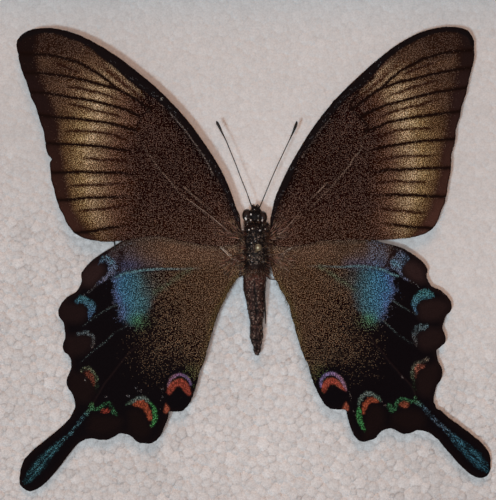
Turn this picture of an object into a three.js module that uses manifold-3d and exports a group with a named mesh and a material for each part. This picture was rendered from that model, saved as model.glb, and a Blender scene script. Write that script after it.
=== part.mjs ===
// A spread swallowtail butterfly pinned on a thick foam sheet in a plain wooden box frame.
// Millimetres, +Z up out of the frame's front. The origin is the centre of the frame's back.
import * as THREE from 'three';
import { mergeVertices } from 'three/addons/utils/BufferGeometryUtils.js';
import Module from 'manifold-3d';

// ---- frame ---------------------------------------------------------------------------------
const FRAME_HALF = 80;          // half of the outer width and height
const RAIL_WIDTH = 12;          // moulding width seen from the front
const FRAME_DEPTH = 45;         // back to front lip
const REBATE_WIDTH = 6;         // step at the back that takes the backing board
const LIP_ROUND = 1.5;          // eased edges of the front lip
const BACKING_THICK = 3;        // hardboard
const FOAM_THICK = 25;          // polystyrene sheet
const FIT_GAP = 0.3;            // clearance of the boards inside the rails
const FOAM_TOP = BACKING_THICK + FOAM_THICK;

// ---- butterfly heights, all above the foam's face --------------------------------------------
const BODY_X = 1.8;             // the body's middle line
const FOREWING_RISE = 4.0;      // forewing membrane at the body
const WING_STEP = 0.8;          // the hindwing lies this much lower
const WING_DROOP = 1.6;         // how far a wing sinks 50 mm out from the body
const WING_THICK = 0.3;
const WING_STRIP = 5;           // width of one strip of the curved membrane

// ---- pin -----------------------------------------------------------------------------------
const PIN_LENGTH = 38;
const PIN_RADIUS = 0.25;
const PIN_HEAD_RADIUS = 0.75;
const PIN_HEAD_AT = [2.19, 0.55, FOAM_TOP + 13.0];   // centre of the ball
const PIN_ENTRY = [1.64, -0.44, FOAM_TOP + 5.6];     // where the shaft goes into the thorax
const BORE_RADIUS = PIN_RADIUS + 0.3;

// ---- outlines seen from the front, anticlockwise -----------------------------------------------
const FOREWING_LEFT = [
  [-1.81, 7.55], [-2.60, 9.35], [-3.54, 12.15], [-4.86, 15.38], [-6.27, 18.22], [-8.69, 22.11],
  [-12.28, 27.21], [-15.04, 30.45], [-17.89, 33.47], [-20.27, 35.73], [-22.43, 37.57],
  [-28.11, 42.01], [-31.39, 44.16], [-34.92, 46.12], [-36.89, 47.03], [-39.47, 47.90],
  [-41.59, 48.39], [-43.33, 48.61], [-45.18, 48.56], [-46.81, 48.35], [-47.65, 48.14],
  [-48.75, 47.66], [-49.61, 46.99], [-50.13, 46.43], [-50.55, 45.67], [-50.66, 44.81],
  [-50.57, 43.94], [-50.24, 42.79], [-50.11, 41.49], [-49.62, 39.59], [-48.35, 36.45],
  [-47.48, 33.42], [-46.40, 31.27], [-45.61, 28.44], [-44.73, 25.98], [-44.22, 22.43],
  [-43.96, 21.37], [-43.70, 20.77], [-43.10, 20.15], [-42.96, 19.90], [-42.98, 19.72],
  [-43.29, 19.30], [-43.37, 18.99], [-43.12, 15.73], [-41.98, 11.29], [-41.23, 9.13],
  [-40.43, 7.70], [-39.69, 6.00], [-39.17, 5.16], [-37.92, 3.66], [-36.70, 2.93], [-35.59, 2.49],
  [-33.78, 2.08], [-32.05, 1.81], [-29.64, 1.81], [-25.03, 2.25], [-22.03, 2.80], [-20.04, 2.85],
  [-18.05, 2.63], [-12.91, 1.57], [-9.52, 1.02], [-7.03, 0.77], [-5.39, 0.83], [-1.09, 1.53]
];
const FOREWING_RIGHT = [
  [33.59, 2.51], [34.89, 2.57], [36.93, 2.96], [38.77, 3.62], [40.16, 4.48], [40.84, 5.20],
  [41.54, 6.43], [42.39, 8.90], [43.05, 10.28], [43.25, 11.46], [43.56, 12.62], [43.88, 15.00],
  [44.35, 16.91], [44.51, 20.84], [45.28, 23.68], [45.43, 24.98], [45.42, 25.85], [45.59, 26.81],
  [46.37, 29.07], [46.80, 31.54], [47.80, 34.42], [48.42, 37.73], [49.21, 40.45], [49.51, 42.06],
  [49.49, 45.11], [49.28, 46.29], [48.86, 47.05], [48.28, 47.84], [47.84, 48.17], [47.25, 48.43],
  [46.19, 48.70], [45.21, 48.79], [43.46, 48.85], [42.59, 48.78], [41.19, 48.57], [39.38, 48.14],
  [38.33, 47.84], [36.50, 47.12], [34.28, 45.94], [31.50, 44.19], [28.26, 41.60], [23.92, 37.76],
  [21.77, 35.74], [18.43, 32.27], [15.69, 28.86], [13.37, 25.54], [11.73, 22.96], [8.75, 17.74],
  [6.81, 13.58], [6.17, 12.07], [5.72, 10.72], [5.22, 8.26], [4.87, 7.11], [4.81, 1.09],
  [7.33, 0.59], [8.66, 0.53], [12.94, 1.11], [13.89, 1.34], [15.43, 1.85], [16.34, 2.01],
  [21.58, 2.14], [29.82, 2.18], [31.55, 2.27]
];
const HINDWING_LEFT = [
  [-30.74, -0.00], [-33.66, -1.91], [-34.81, -2.92], [-35.61, -3.82], [-36.19, -4.61],
  [-36.43, -5.10], [-36.51, -5.74], [-36.40, -6.49], [-36.44, -6.92], [-37.08, -8.42],
  [-37.86, -9.33], [-39.21, -10.04], [-40.13, -10.81], [-40.77, -11.56], [-41.43, -12.93],
  [-41.53, -13.46], [-41.44, -14.22], [-41.18, -14.82], [-40.63, -15.49], [-40.32, -16.06],
  [-40.01, -18.11], [-39.98, -19.20], [-40.47, -20.52], [-40.51, -21.50], [-40.16, -22.29],
  [-39.40, -22.90], [-39.14, -23.25], [-38.83, -23.82], [-38.72, -24.24], [-38.71, -25.77],
  [-39.58, -28.00], [-39.70, -29.19], [-39.35, -30.22], [-38.74, -30.99], [-38.19, -32.05],
  [-37.91, -33.10], [-37.84, -34.30], [-38.08, -35.02], [-38.71, -36.29], [-39.47, -37.36],
  [-41.11, -38.97], [-46.97, -43.71], [-48.44, -45.18], [-48.97, -45.87], [-49.38, -46.76],
  [-49.80, -48.23], [-50.03, -49.96], [-49.96, -50.94], [-49.85, -51.36], [-49.60, -51.71],
  [-48.78, -52.43], [-48.19, -52.70], [-47.44, -52.78], [-46.50, -52.51], [-45.48, -51.89],
  [-44.52, -51.15], [-43.14, -49.75], [-41.92, -48.35], [-37.66, -42.81], [-37.00, -42.23],
  [-35.57, -41.45], [-34.06, -41.24], [-32.46, -41.54], [-30.82, -41.53], [-29.32, -40.88],
  [-28.41, -40.29], [-27.67, -40.13], [-26.49, -40.34], [-25.98, -40.52], [-25.10, -41.16],
  [-24.42, -41.85], [-23.41, -42.25], [-21.89, -42.39], [-21.25, -42.30], [-20.38, -41.87],
  [-19.78, -41.40], [-19.29, -40.82], [-18.66, -39.80], [-18.42, -38.85], [-17.78, -37.59],
  [-17.39, -36.02], [-17.34, -35.36], [-16.96, -35.27], [-16.21, -35.37], [-15.45, -35.36],
  [-14.37, -35.20], [-13.39, -34.35], [-12.60, -33.18], [-11.65, -30.74], [-10.90, -28.01],
  [-10.62, -26.63], [-9.93, -25.28], [-9.46, -23.94], [-9.13, -22.79], [-9.05, -22.15],
  [-7.96, -18.28], [-7.65, -17.47], [-7.11, -15.47], [-6.34, -13.32], [-5.71, -11.93],
  [-4.94, -10.64], [-4.37, -9.23], [-3.40, -7.64], [-2.62, -6.60], [-1.98, -6.02], [-1.36, -3.61],
  [-1.01, -0.88], [-1.10, 0.31], [-1.48, 1.69], [-2.07, 2.58], [-2.90, 3.21], [-4.66, 3.95],
  [-6.58, 4.47], [-9.73, 4.89], [-13.69, 5.04], [-17.96, 4.83], [-21.54, 4.36], [-23.93, 3.79],
  [-25.93, 3.01]
];
const HINDWING_RIGHT = [
  [5.47, -5.58], [5.85, -6.35], [6.56, -7.28], [6.94, -8.40], [7.90, -9.85], [8.93, -12.01],
  [9.22, -12.95], [9.53, -14.67], [10.22, -16.48], [10.41, -17.87], [11.01, -19.63],
  [11.59, -21.74], [11.98, -22.51], [12.46, -23.85], [12.91, -24.59], [13.29, -25.61],
  [13.60, -26.88], [14.31, -29.06], [15.40, -31.44], [16.08, -32.69], [16.80, -33.78],
  [17.91, -34.66], [18.31, -34.80], [19.72, -34.93], [20.92, -34.87], [21.38, -35.08],
  [21.59, -35.45], [21.74, -36.41], [22.09, -37.78], [22.85, -39.83], [23.33, -40.69],
  [23.96, -41.44], [24.50, -41.80], [25.35, -41.97], [25.78, -41.92], [27.24, -41.49],
  [28.07, -40.98], [28.56, -40.27], [29.17, -39.66], [29.95, -39.27], [30.89, -39.03],
  [31.75, -39.13], [33.37, -40.03], [34.20, -40.28], [35.60, -40.05], [37.11, -39.44],
  [38.08, -39.49], [38.83, -39.65], [40.29, -40.39], [41.47, -41.35], [45.50, -46.10],
  [47.18, -47.82], [48.33, -48.83], [49.65, -49.60], [50.48, -49.86], [51.46, -49.80],
  [52.06, -49.56], [52.40, -49.30], [52.95, -48.36], [53.08, -47.61], [53.07, -45.97],
  [52.96, -45.10], [52.74, -44.38], [52.40, -43.70], [50.50, -41.59], [46.27, -38.31],
  [43.94, -36.70], [42.32, -35.23], [41.27, -34.69], [41.09, -34.43], [40.95, -33.82],
  [40.59, -33.29], [40.55, -32.98], [40.75, -31.70], [41.23, -29.91], [41.50, -29.33],
  [42.17, -28.48], [42.58, -26.79], [42.51, -26.25], [42.30, -25.63], [41.54, -24.06],
  [41.30, -22.90], [41.24, -21.93], [41.40, -21.69], [41.87, -21.45], [42.78, -20.69],
  [43.19, -20.06], [43.28, -19.52], [43.25, -19.09], [42.62, -17.35], [42.56, -16.71],
  [43.19, -14.64], [43.50, -14.20], [44.32, -13.34], [44.54, -12.73], [44.58, -12.19],
  [44.31, -11.14], [43.47, -10.00], [42.19, -8.84], [40.31, -7.99], [39.75, -7.33], [39.24, -6.37],
  [39.09, -5.85], [39.07, -5.31], [39.33, -4.61], [39.28, -4.20], [38.83, -3.33], [37.97, -2.34],
  [35.77, -0.72], [33.81, 0.41], [31.66, 1.09], [28.88, 1.77], [27.13, 2.52], [23.64, 3.66],
  [20.67, 4.35], [18.22, 4.68], [14.75, 4.84], [11.80, 4.69], [9.50, 4.34], [7.89, 3.86],
  [6.43, 3.06], [5.82, 2.54], [5.46, 2.09], [5.17, 1.50], [4.93, 0.76], [4.73, -0.80],
  [4.88, -2.69]
];

// Body stations along the length: y, middle x, half width, middle height, half height.
const HEAD_STATIONS = [
  [6.15, 1.75, 1.75, 3.8, 1.35], [6.7, 1.75, 1.95, 3.8, 1.6], [7.5, 1.75, 2.0, 3.8, 1.65],
  [8.3, 1.7, 1.7, 3.8, 1.45], [8.9, 1.7, 1.15, 3.75, 1.05], [9.2, 1.7, 0.5, 3.7, 0.55],
];
const EYE_AT = [[-0.15, 7.55, 3.9], [3.5, 7.4, 3.9]];
const EYE_SIZE = [0.95, 1.3, 1.35];
const PALP_AT = [[1.25, 9.1, 3.3], [2.15, 9.1, 3.3]];
const PALP_SIZE = [0.42, 0.75, 0.5];
const THORAX_STATIONS = [
  [6.02, 1.75, 1.5, 3.75, 1.25], [5.2, 1.75, 1.95, 3.75, 1.7], [4.0, 1.8, 2.2, 3.75, 2.0],
  [2.2, 1.8, 2.4, 3.75, 2.25], [0, 1.8, 2.45, 3.75, 2.35], [-2.2, 1.75, 2.45, 3.7, 2.3],
  [-3.9, 1.65, 2.4, 3.6, 2.15], [-4.8, 1.6, 2.3, 3.5, 2.0],
];
const ABDOMEN_STATIONS = [
  [-4.95, 1.5, 2.3, 3.4, 1.95], [-6.0, 1.48, 2.5, 3.3, 2.1], [-8.75, 1.42, 2.4, 3.1, 2.05],
  [-10.9, 1.64, 2.08, 2.95, 1.85], [-13.1, 1.77, 1.88, 2.8, 1.7], [-15.3, 1.84, 1.45, 2.65, 1.4],
  [-17.5, 1.86, 1.43, 2.55, 1.35], [-19.0, 1.86, 1.4, 2.5, 1.3], [-20.35, 1.92, 1.1, 2.45, 1.05],
  [-21.2, 1.96, 0.72, 2.4, 0.75], [-21.9, 2.02, 0.81, 2.4, 0.75], [-23.0, 1.95, 0.35, 2.4, 0.35],
];

// Antennae: x, y, height, radius from the head to the club's end.
const ANTENNA_LEFT = [
  [0.92, 9.52, 4.3, 0.13], [-0.33, 12.69, 4.35, 0.12], [-1.44, 15.43, 4.35, 0.11], [-2.71, 18.82, 4.3, 0.11],
  [-3.83, 21.55, 4.2, 0.11], [-4.81, 23.94, 4.05, 0.13], [-5.6, 25.5, 3.95, 0.2], [-6.2, 26.75, 3.85, 0.29],
  [-6.65, 27.65, 3.8, 0.3], [-6.9, 28.15, 3.78, 0.16],
];
const ANTENNA_RIGHT = [
  [2.55, 9.45, 4.3, 0.13], [3.98, 12.78, 4.35, 0.12], [5.25, 15.84, 4.35, 0.11], [6.63, 18.9, 4.3, 0.11],
  [7.88, 21.55, 4.2, 0.11], [9.01, 23.94, 4.05, 0.13], [9.7, 25.4, 3.95, 0.2], [10.2, 26.6, 3.85, 0.29],
  [10.55, 27.55, 3.8, 0.3], [10.7, 28.1, 3.78, 0.16],
];

// Legs, folded under the body: x, y, height, radius from the hip to the claw.
const FORE_LEG_LEFT = [
  [1.0, 4.4, 1.35, 0.22], [0.35, 4.0, 0.95, 0.26], [0.1, 5.4, 0.55, 0.2], [0.55, 7.2, 0.5, 0.15], [0.9, 8.5, 0.45, 0.1],
];
const FORE_LEG_RIGHT = [
  [2.5, 4.4, 1.35, 0.22], [3.2, 4.0, 0.95, 0.26], [3.45, 5.4, 0.55, 0.2], [3.0, 7.1, 0.5, 0.15], [2.6, 8.4, 0.45, 0.1],
];
const MID_LEG_LEFT = [
  [0.6, 0.4, 1.1, 0.22], [-0.4, -1.2, 0.85, 0.27], [-1.1, -3.6, 0.8, 0.22], [-1.5, -5.5, 0.8, 0.16],
  [-2.4, -6.0, 0.7, 0.1], [-4.4, -6.1, 0.45, 0.08],
];
const MID_LEG_RIGHT = [
  [3.0, 0.4, 1.1, 0.22], [4.0, -1.2, 0.85, 0.27], [4.4, -3.8, 0.8, 0.22], [4.5, -6.0, 0.8, 0.16],
  [5.4, -6.45, 0.7, 0.1], [7.9, -6.75, 0.45, 0.08],
];
const HIND_LEG_LEFT = [
  [0.8, -2.6, 1.05, 0.22], [0.0, -4.6, 0.75, 0.27], [-0.1, -8.4, 0.6, 0.22], [0.5, -12.2, 0.5, 0.15], [1.1, -15.6, 0.4, 0.1],
];
const HIND_LEG_RIGHT = [
  [2.7, -2.6, 1.05, 0.22], [3.2, -4.6, 0.75, 0.27], [3.5, -8.4, 0.75, 0.22], [3.75, -12.6, 0.8, 0.17], [3.86, -16.2, 0.75, 0.1],
];

// ---- colours ---------------------------------------------------------------------------------
const finish = (color, roughness, metalness = 0) => new THREE.MeshStandardMaterial({ color, roughness, metalness });
const WOOD = () => finish(0x6b4a2f, 0.5);
const HARDBOARD = () => finish(0x5e4230, 0.8);
const FOAM = () => finish(0xc9c1be, 0.75);
const BRASS = () => finish(0xc8a860, 0.3, 1);
const FUR = () => finish(0x1b1613, 0.85);
const HORN = () => finish(0x120d0b, 0.5);
const FOREWING = () => finish(0x4a3a22, 0.6);
const HINDWING = () => finish(0x241c1c, 0.6);

// ---- solids ----------------------------------------------------------------------------------
const wasm = await Module();
wasm.setup();

function closed(positions, index) {
  // A mesh from plain arrays, turned so that its faces point out.
  let six = 0;
  const p = (i) => [positions[3 * i], positions[3 * i + 1], positions[3 * i + 2]];
  for (let t = 0; t < index.length; t += 3) {
    const [a, b, c] = [p(index[t]), p(index[t + 1]), p(index[t + 2])];
    six += a[0] * (b[1] * c[2] - b[2] * c[1]) - a[1] * (b[0] * c[2] - b[2] * c[0]) + a[2] * (b[0] * c[1] - b[1] * c[0]);
  }
  const out = six > 0 ? index : index.flatMap((_, k) => (k % 3 === 0 ? [index[k], index[k + 2], index[k + 1]] : []));
  const g = new THREE.BufferGeometry();
  g.setAttribute('position', new THREE.Float32BufferAttribute(positions, 3));
  g.setIndex(out);
  return g;
}

function toSolid(geometry) {
  const g = geometry.clone();
  g.deleteAttribute('normal');
  g.deleteAttribute('uv');
  const m = mergeVertices(g, 1e-5);
  return new wasm.Manifold(new wasm.Mesh({
    numProp: 3,
    vertProperties: new Float32Array(m.attributes.position.array),
    triVerts: new Uint32Array(m.index.array),
  }));
}

function toGeometry(solid) {
  const m = solid.getMesh();
  const g = new THREE.BufferGeometry();
  g.setAttribute('position', new THREE.BufferAttribute(new Float32Array(m.vertProperties), 3));
  g.setIndex(new THREE.BufferAttribute(new Uint32Array(m.triVerts), 1));
  return g;
}

function stack(rings) {
  // Rings of equal point count joined into one closed skin with a fan at each end.
  const n = rings[0].length;
  const positions = rings.flat(2);
  const index = [];
  for (let r = 0; r + 1 < rings.length; r++) {
    for (let k = 0; k < n; k++) {
      const [a, b] = [r * n + k, r * n + (k + 1) % n];
      index.push(a, b, a + n, b, b + n, a + n);
    }
  }
  const last = (rings.length - 1) * n;
  for (let k = 1; k + 1 < n; k++) {
    index.push(0, k + 1, k);
    index.push(last, last + k, last + k + 1);
  }
  return closed(positions, index);
}

function loft(stations, sides) {
  return stack(stations.map(([y, x, w, z, h]) => Array.from({ length: sides }, (_, k) => {
    const t = (2 * Math.PI * k) / sides;
    return [x + w * Math.cos(t), y, FOAM_TOP + z + h * Math.sin(t)];
  })));
}

function limb(route, sides) {
  // A tapered tube along a route of points; every section stands across the local direction.
  const pts = route.map(([x, y, z]) => new THREE.Vector3(x, y, FOAM_TOP + z));
  return stack(route.map(([, , , radius], i) => {
    const along = new THREE.Vector3().subVectors(pts[Math.min(i + 1, pts.length - 1)], pts[Math.max(i - 1, 0)]).normalize();
    const across = new THREE.Vector3().crossVectors(along, new THREE.Vector3(0, 0, 1)).normalize();
    const up = new THREE.Vector3().crossVectors(across, along);
    return Array.from({ length: sides }, (_, k) => {
      const t = (2 * Math.PI * k) / sides;
      const v = pts[i].clone().addScaledVector(across, radius * Math.cos(t)).addScaledVector(up, radius * Math.sin(t));
      return [v.x, v.y, v.z];
    });
  }));
}

function rail(place) {
  // One mitred length of moulding. u runs from the outer face towards the opening.
  const section = [
    [0, 0], [REBATE_WIDTH, 0], [REBATE_WIDTH, BACKING_THICK], [RAIL_WIDTH, BACKING_THICK],
    [RAIL_WIDTH, FRAME_DEPTH - LIP_ROUND], [RAIL_WIDTH - 0.44, FRAME_DEPTH - 0.44], [RAIL_WIDTH - LIP_ROUND, FRAME_DEPTH],
    [LIP_ROUND, FRAME_DEPTH], [0.44, FRAME_DEPTH - 0.44], [0, FRAME_DEPTH - LIP_ROUND],
  ];
  const ends = [-1, 1].map((s) => section.map(([u, z]) => place(s * (FRAME_HALF - u), u - FRAME_HALF, z)));
  const n = section.length;
  const index = [];
  for (let k = 0; k < n; k++) {
    const b = (k + 1) % n;
    index.push(k, b, k + n, b, b + n, k + n);
  }
  const caps = THREE.ShapeUtils.triangulateShape(section.map(([u, z]) => new THREE.Vector2(u, z)), []);
  for (const [a, b, c] of caps) index.push(a, c, b, a + n, b + n, c + n);
  return closed(ends.flat(2), index);
}

const membraneHeight = (x, rise) => FOAM_TOP + rise - WING_DROOP * Math.pow(Math.abs(x - BODY_X) / 50, 1.5);

function wing(outline, rise, side) {
  // The outline cut straight down through a thin curved sheet that bends along the wing's span.
  const shape = new THREE.Shape(outline.map(([x, y]) => new THREE.Vector2(x, y)));
  const prism = new THREE.ExtrudeGeometry(shape, { depth: 12, bevelEnabled: false });
  prism.translate(0, 0, FOAM_TOP - 2);
  const top = [], bottom = [];
  for (let k = 0; k <= 13; k++) {
    const x = BODY_X + side * (k * WING_STRIP - 4);
    const z = membraneHeight(x, rise);
    top.push([x, z + WING_THICK / 2]);
    bottom.unshift([x, z - WING_THICK / 2]);
  }
  const ring = top.concat(bottom);
  const n = ring.length;
  const positions = [70, -70].flatMap((y) => ring.flatMap(([x, z]) => [x, y, z]));
  const index = [];
  for (let k = 0; k < n; k++) {
    const b = (k + 1) % n;
    index.push(k, b, k + n, b, b + n, k + n);
  }
  for (let k = 0; k + 1 < top.length; k++) {
    const [a, b, c, d] = [k, k + 1, n - 2 - k, n - 1 - k];
    index.push(a, d, b, b, d, c, a + n, b + n, d + n, b + n, c + n, d + n);
  }
  return toGeometry(toSolid(prism).intersect(toSolid(closed(positions, index))));
}

function ball([x, y, z], [rx, ry, rz], across = 14, rows = 9) {
  const g = new THREE.SphereGeometry(1, across, rows);
  g.scale(rx, ry, rz);
  g.translate(x, y, FOAM_TOP + z);
  return g;
}

// The pin's line, from its point up to its ball head.
const pinTop = new THREE.Vector3(...PIN_HEAD_AT);
const pinLine = new THREE.Vector3().subVectors(pinTop, new THREE.Vector3(...PIN_ENTRY)).normalize();
const pinTurn = new THREE.Quaternion().setFromUnitVectors(new THREE.Vector3(0, 1, 0), pinLine);
const pinPoint = pinTop.clone().addScaledVector(pinLine, -(PIN_LENGTH - PIN_HEAD_RADIUS));

function bore(from, to) {
  // A straight clearance hole on the pin's line, between two distances from its point.
  const g = new THREE.CylinderGeometry(BORE_RADIUS, BORE_RADIUS, to - from, 16);
  g.translate(0, (from + to) / 2, 0);
  g.applyQuaternion(pinTurn);
  g.translate(pinPoint.x, pinPoint.y, pinPoint.z);
  return toSolid(g);
}

const model = new THREE.Group();
function add(name, geometry, material, parent = model) {
  const mesh = new THREE.Mesh(geometry, material);
  mesh.name = name;
  parent.add(mesh);
  return mesh;
}

// Frame: four mitred mouldings round the boards.
add('frame_rail_bottom', rail((a, b, z) => [a, b, z]), WOOD());
add('frame_rail_top', rail((a, b, z) => [-a, -b, z]), WOOD());
add('frame_rail_left', rail((a, b, z) => [b, -a, z]), WOOD());
add('frame_rail_right', rail((a, b, z) => [-b, a, z]), WOOD());

const backingSide = 2 * (FRAME_HALF - REBATE_WIDTH - FIT_GAP);
const backing = new THREE.BoxGeometry(backingSide, backingSide, BACKING_THICK);
backing.translate(0, 0, BACKING_THICK / 2);
add('backing_board', backing, HARDBOARD());

const foamSide = 2 * (FRAME_HALF - RAIL_WIDTH - FIT_GAP);
const foam = new THREE.BoxGeometry(foamSide, foamSide, FOAM_THICK);
foam.translate(0, 0, BACKING_THICK + FOAM_THICK / 2);
add('foam_board', toGeometry(toSolid(foam).subtract(bore(-0.3, 40))), FOAM());

// Pin: pointed shaft and ball head in one turned piece.
const pinProfile = [[0, 0], [PIN_RADIUS * 0.35, 0.5], [PIN_RADIUS, 2.2]];
const ballMiddle = PIN_LENGTH - PIN_HEAD_RADIUS;
for (let k = 0; k <= 8; k++) {
  const start = Math.asin(PIN_RADIUS / PIN_HEAD_RADIUS);
  const t = start + (Math.PI - start) * (k / 8);
  pinProfile.push(k === 8 ? [0, PIN_LENGTH] : [PIN_HEAD_RADIUS * Math.sin(t), ballMiddle - PIN_HEAD_RADIUS * Math.cos(t)]);
}
const pinGroup = new THREE.Group();
pinGroup.position.copy(pinPoint);
pinGroup.quaternion.copy(pinTurn);
model.add(pinGroup);
add('insect_pin', new THREE.LatheGeometry(pinProfile.map(([r, y]) => new THREE.Vector2(r, y)), 14), BRASS(), pinGroup);

// Body.
let headSolid = toSolid(loft(HEAD_STATIONS, 18));
for (const at of EYE_AT) headSolid = headSolid.add(toSolid(ball(at, EYE_SIZE)));
for (const at of PALP_AT) headSolid = headSolid.add(toSolid(ball(at, PALP_SIZE, 8, 6)));
add('head', toGeometry(headSolid), HORN());
add('thorax', toGeometry(toSolid(loft(THORAX_STATIONS, 20)).subtract(bore(10, 37))), FUR());
add('abdomen', loft(ABDOMEN_STATIONS, 18), FUR());

// Wings.
add('forewing_left', wing(FOREWING_LEFT, FOREWING_RISE, -1), FOREWING());
add('forewing_right', wing(FOREWING_RIGHT, FOREWING_RISE, 1), FOREWING());
add('hindwing_left', wing(HINDWING_LEFT, FOREWING_RISE - WING_STEP, -1), HINDWING());
add('hindwing_right', wing(HINDWING_RIGHT, FOREWING_RISE - WING_STEP, 1), HINDWING());

// Antennae and legs.
add('antenna_left', limb(ANTENNA_LEFT, 8), HORN());
add('antenna_right', limb(ANTENNA_RIGHT, 8), HORN());
add('fore_leg_left', limb(FORE_LEG_LEFT, 8), HORN());
add('fore_leg_right', limb(FORE_LEG_RIGHT, 8), HORN());
add('mid_leg_left', limb(MID_LEG_LEFT, 8), HORN());
add('mid_leg_right', limb(MID_LEG_RIGHT, 8), HORN());
add('hind_leg_left', limb(HIND_LEG_LEFT, 8), HORN());
add('hind_leg_right', limb(HIND_LEG_RIGHT, 8), HORN());

export default model;
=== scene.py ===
# A spread swallowtail butterfly pinned on a foam sheet in a plain wooden box frame.
# Wing patterns are computed from vein lines, margins and spots drawn as curves, on a chart whose
# unit is 0.2188 mm, with x to the right and y down and the chart's middle at (248, 250).
import math
import bpy
import numpy as np
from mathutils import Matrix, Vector, geometry, noise as mnoise


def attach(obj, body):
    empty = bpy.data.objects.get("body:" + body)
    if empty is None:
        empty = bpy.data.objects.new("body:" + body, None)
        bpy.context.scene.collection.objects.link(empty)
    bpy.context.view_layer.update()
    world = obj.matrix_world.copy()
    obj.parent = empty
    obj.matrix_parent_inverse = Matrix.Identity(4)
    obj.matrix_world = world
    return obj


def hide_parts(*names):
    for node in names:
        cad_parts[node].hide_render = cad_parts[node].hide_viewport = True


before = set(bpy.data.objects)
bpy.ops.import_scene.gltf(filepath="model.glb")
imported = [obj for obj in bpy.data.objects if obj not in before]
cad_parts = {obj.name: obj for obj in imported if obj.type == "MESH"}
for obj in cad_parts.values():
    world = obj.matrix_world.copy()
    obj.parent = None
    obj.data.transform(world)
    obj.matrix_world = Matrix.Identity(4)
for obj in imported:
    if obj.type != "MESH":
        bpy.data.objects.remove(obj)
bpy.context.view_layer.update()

RNG = np.random.default_rng(20611)

UNIT = 0.2188                       # mm in one chart unit
FOAM_TOP = 28.0                     # mm
BODY_X = 1.8
ZREF = FOAM_TOP + 3.0               # the chart's plane
CAM_Z = ZREF + 450.0
MM = 0.001


def chart_to_mm(p, z=None):
    """Chart points to mm; points that lie off the chart's plane are kept on the same line of sight."""
    p = np.asarray(p, float)
    k = 1.0 if z is None else (CAM_Z - np.asarray(z)) / (CAM_Z - ZREF)
    return (p[..., 0] - 248.0) * UNIT * k, (250.0 - p[..., 1]) * UNIT * k


# ------------------------------------------------------------------------------------------------
# chart tools
# ------------------------------------------------------------------------------------------------
def spline(pts, step=1.0):
    p = np.array(pts, float)
    if len(p) < 3:
        return p
    q = np.vstack([2 * p[0] - p[1], p, 2 * p[-1] - p[-2]])
    out = []
    for i in range(1, len(q) - 2):
        a, b, c, d = q[i - 1], q[i], q[i + 1], q[i + 2]
        n = max(2, int(np.hypot(*(c - b)) / step))
        t = np.linspace(0, 1, n, endpoint=False)[:, None]
        out.append(0.5 * (2 * b + (c - a) * t + (2 * a - 5 * b + 4 * c - d) * t ** 2 + (3 * b - a - 3 * c + d) * t ** 3))
    out.append(p[-1:])
    return np.vstack(out)


def near(P, line, reach):
    """Distance to a polyline and how far along it (0 to 1), for points within reach; others get 1e3."""
    line = np.asarray(line, float)
    d = np.full(len(P), 1e3)
    s = np.zeros(len(P))
    lo, hi = line.min(0) - reach, line.max(0) + reach
    pick = np.nonzero(((P >= lo) & (P <= hi)).all(1))[0]
    if not len(pick):
        return d, s
    Q = P[pick]
    seg = np.hypot(*np.diff(line, axis=0).T)
    total = seg.sum()
    run = np.r_[0, np.cumsum(seg)]
    best = np.full(len(Q), 1e3)
    where = np.zeros(len(Q))
    for i in range(len(line) - 1):
        a, v = line[i], line[i + 1] - line[i]
        L = seg[i]
        if L < 1e-9:
            continue
        t = np.clip(((Q - a) @ v) / (L * L), 0, 1)
        r = np.hypot(*(Q - a - t[:, None] * v).T)
        m = r < best
        best[m] = r[m]
        where[m] = (run[i] + t[m] * L) / total
    d[pick] = best
    s[pick] = where
    return d, s


def stroke(P, pts, width, soft=0.6, smooth=True, taper=None):
    """1 on a line of the given half width, falling off over soft. taper is half widths along it."""
    line = spline(pts) if smooth else np.array(pts, float)
    w0 = width if taper is None else max(taper)
    d, s = near(P, line, w0 + 4 * soft)
    w = width if taper is None else np.interp(s, np.linspace(0, 1, len(taper)), taper)
    return np.exp(-np.clip((d - w) / soft, 0, None) ** 2) * (d < 900)


def inside(P, poly):
    poly = np.asarray(poly, float)
    r = np.zeros(len(P), bool)
    x, y = P[:, 0], P[:, 1]
    for (x0, y0), (x1, y1) in zip(poly, np.roll(poly, -1, 0)):
        if y0 == y1:
            continue
        c = ((y0 > y) != (y1 > y)) & (x < (x1 - x0) * (y - y0) / (y1 - y0) + x0)
        r ^= c
    return r


def patch(P, pts, soft=1.2, smooth=True):
    """1 inside a closed outline, 0 outside, with an edge of the given softness."""
    pts = np.array(pts, float)
    loop = np.vstack([pts, pts[:1]])
    if smooth:
        loop = spline(loop)
    d, _ = near(P, loop, 4 * soft + 2)
    ins = inside(P, loop[:-1])
    sd = np.where(ins, np.minimum(d, 50), -np.minimum(d, 50))
    return np.clip(0.5 + sd / (2 * soft), 0, 1)


def ramp(x, a, b):
    t = np.clip((x - a) / (b - a), 0, 1)
    return t * t * (3 - 2 * t)


def table(y, rows, k):
    r = np.array(rows, float)
    return np.interp(y, r[:, 0], r[:, k])


def blotch(P, size, seed):
    """Smooth value noise on the chart, about -1 to 1."""
    g = np.random.default_rng(seed).uniform(-1, 1, (96, 96))
    u = P / size
    i = np.floor(u).astype(int)
    f = u - i
    f = f * f * (3 - 2 * f)
    a, b = i[:, 0] % 96, i[:, 1] % 96
    a1, b1 = (a + 1) % 96, (b + 1) % 96
    return (g[a, b] * (1 - f[:, 0]) * (1 - f[:, 1]) + g[a1, b] * f[:, 0] * (1 - f[:, 1])
            + g[a, b1] * (1 - f[:, 0]) * f[:, 1] + g[a1, b1] * f[:, 0] * f[:, 1])


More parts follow.
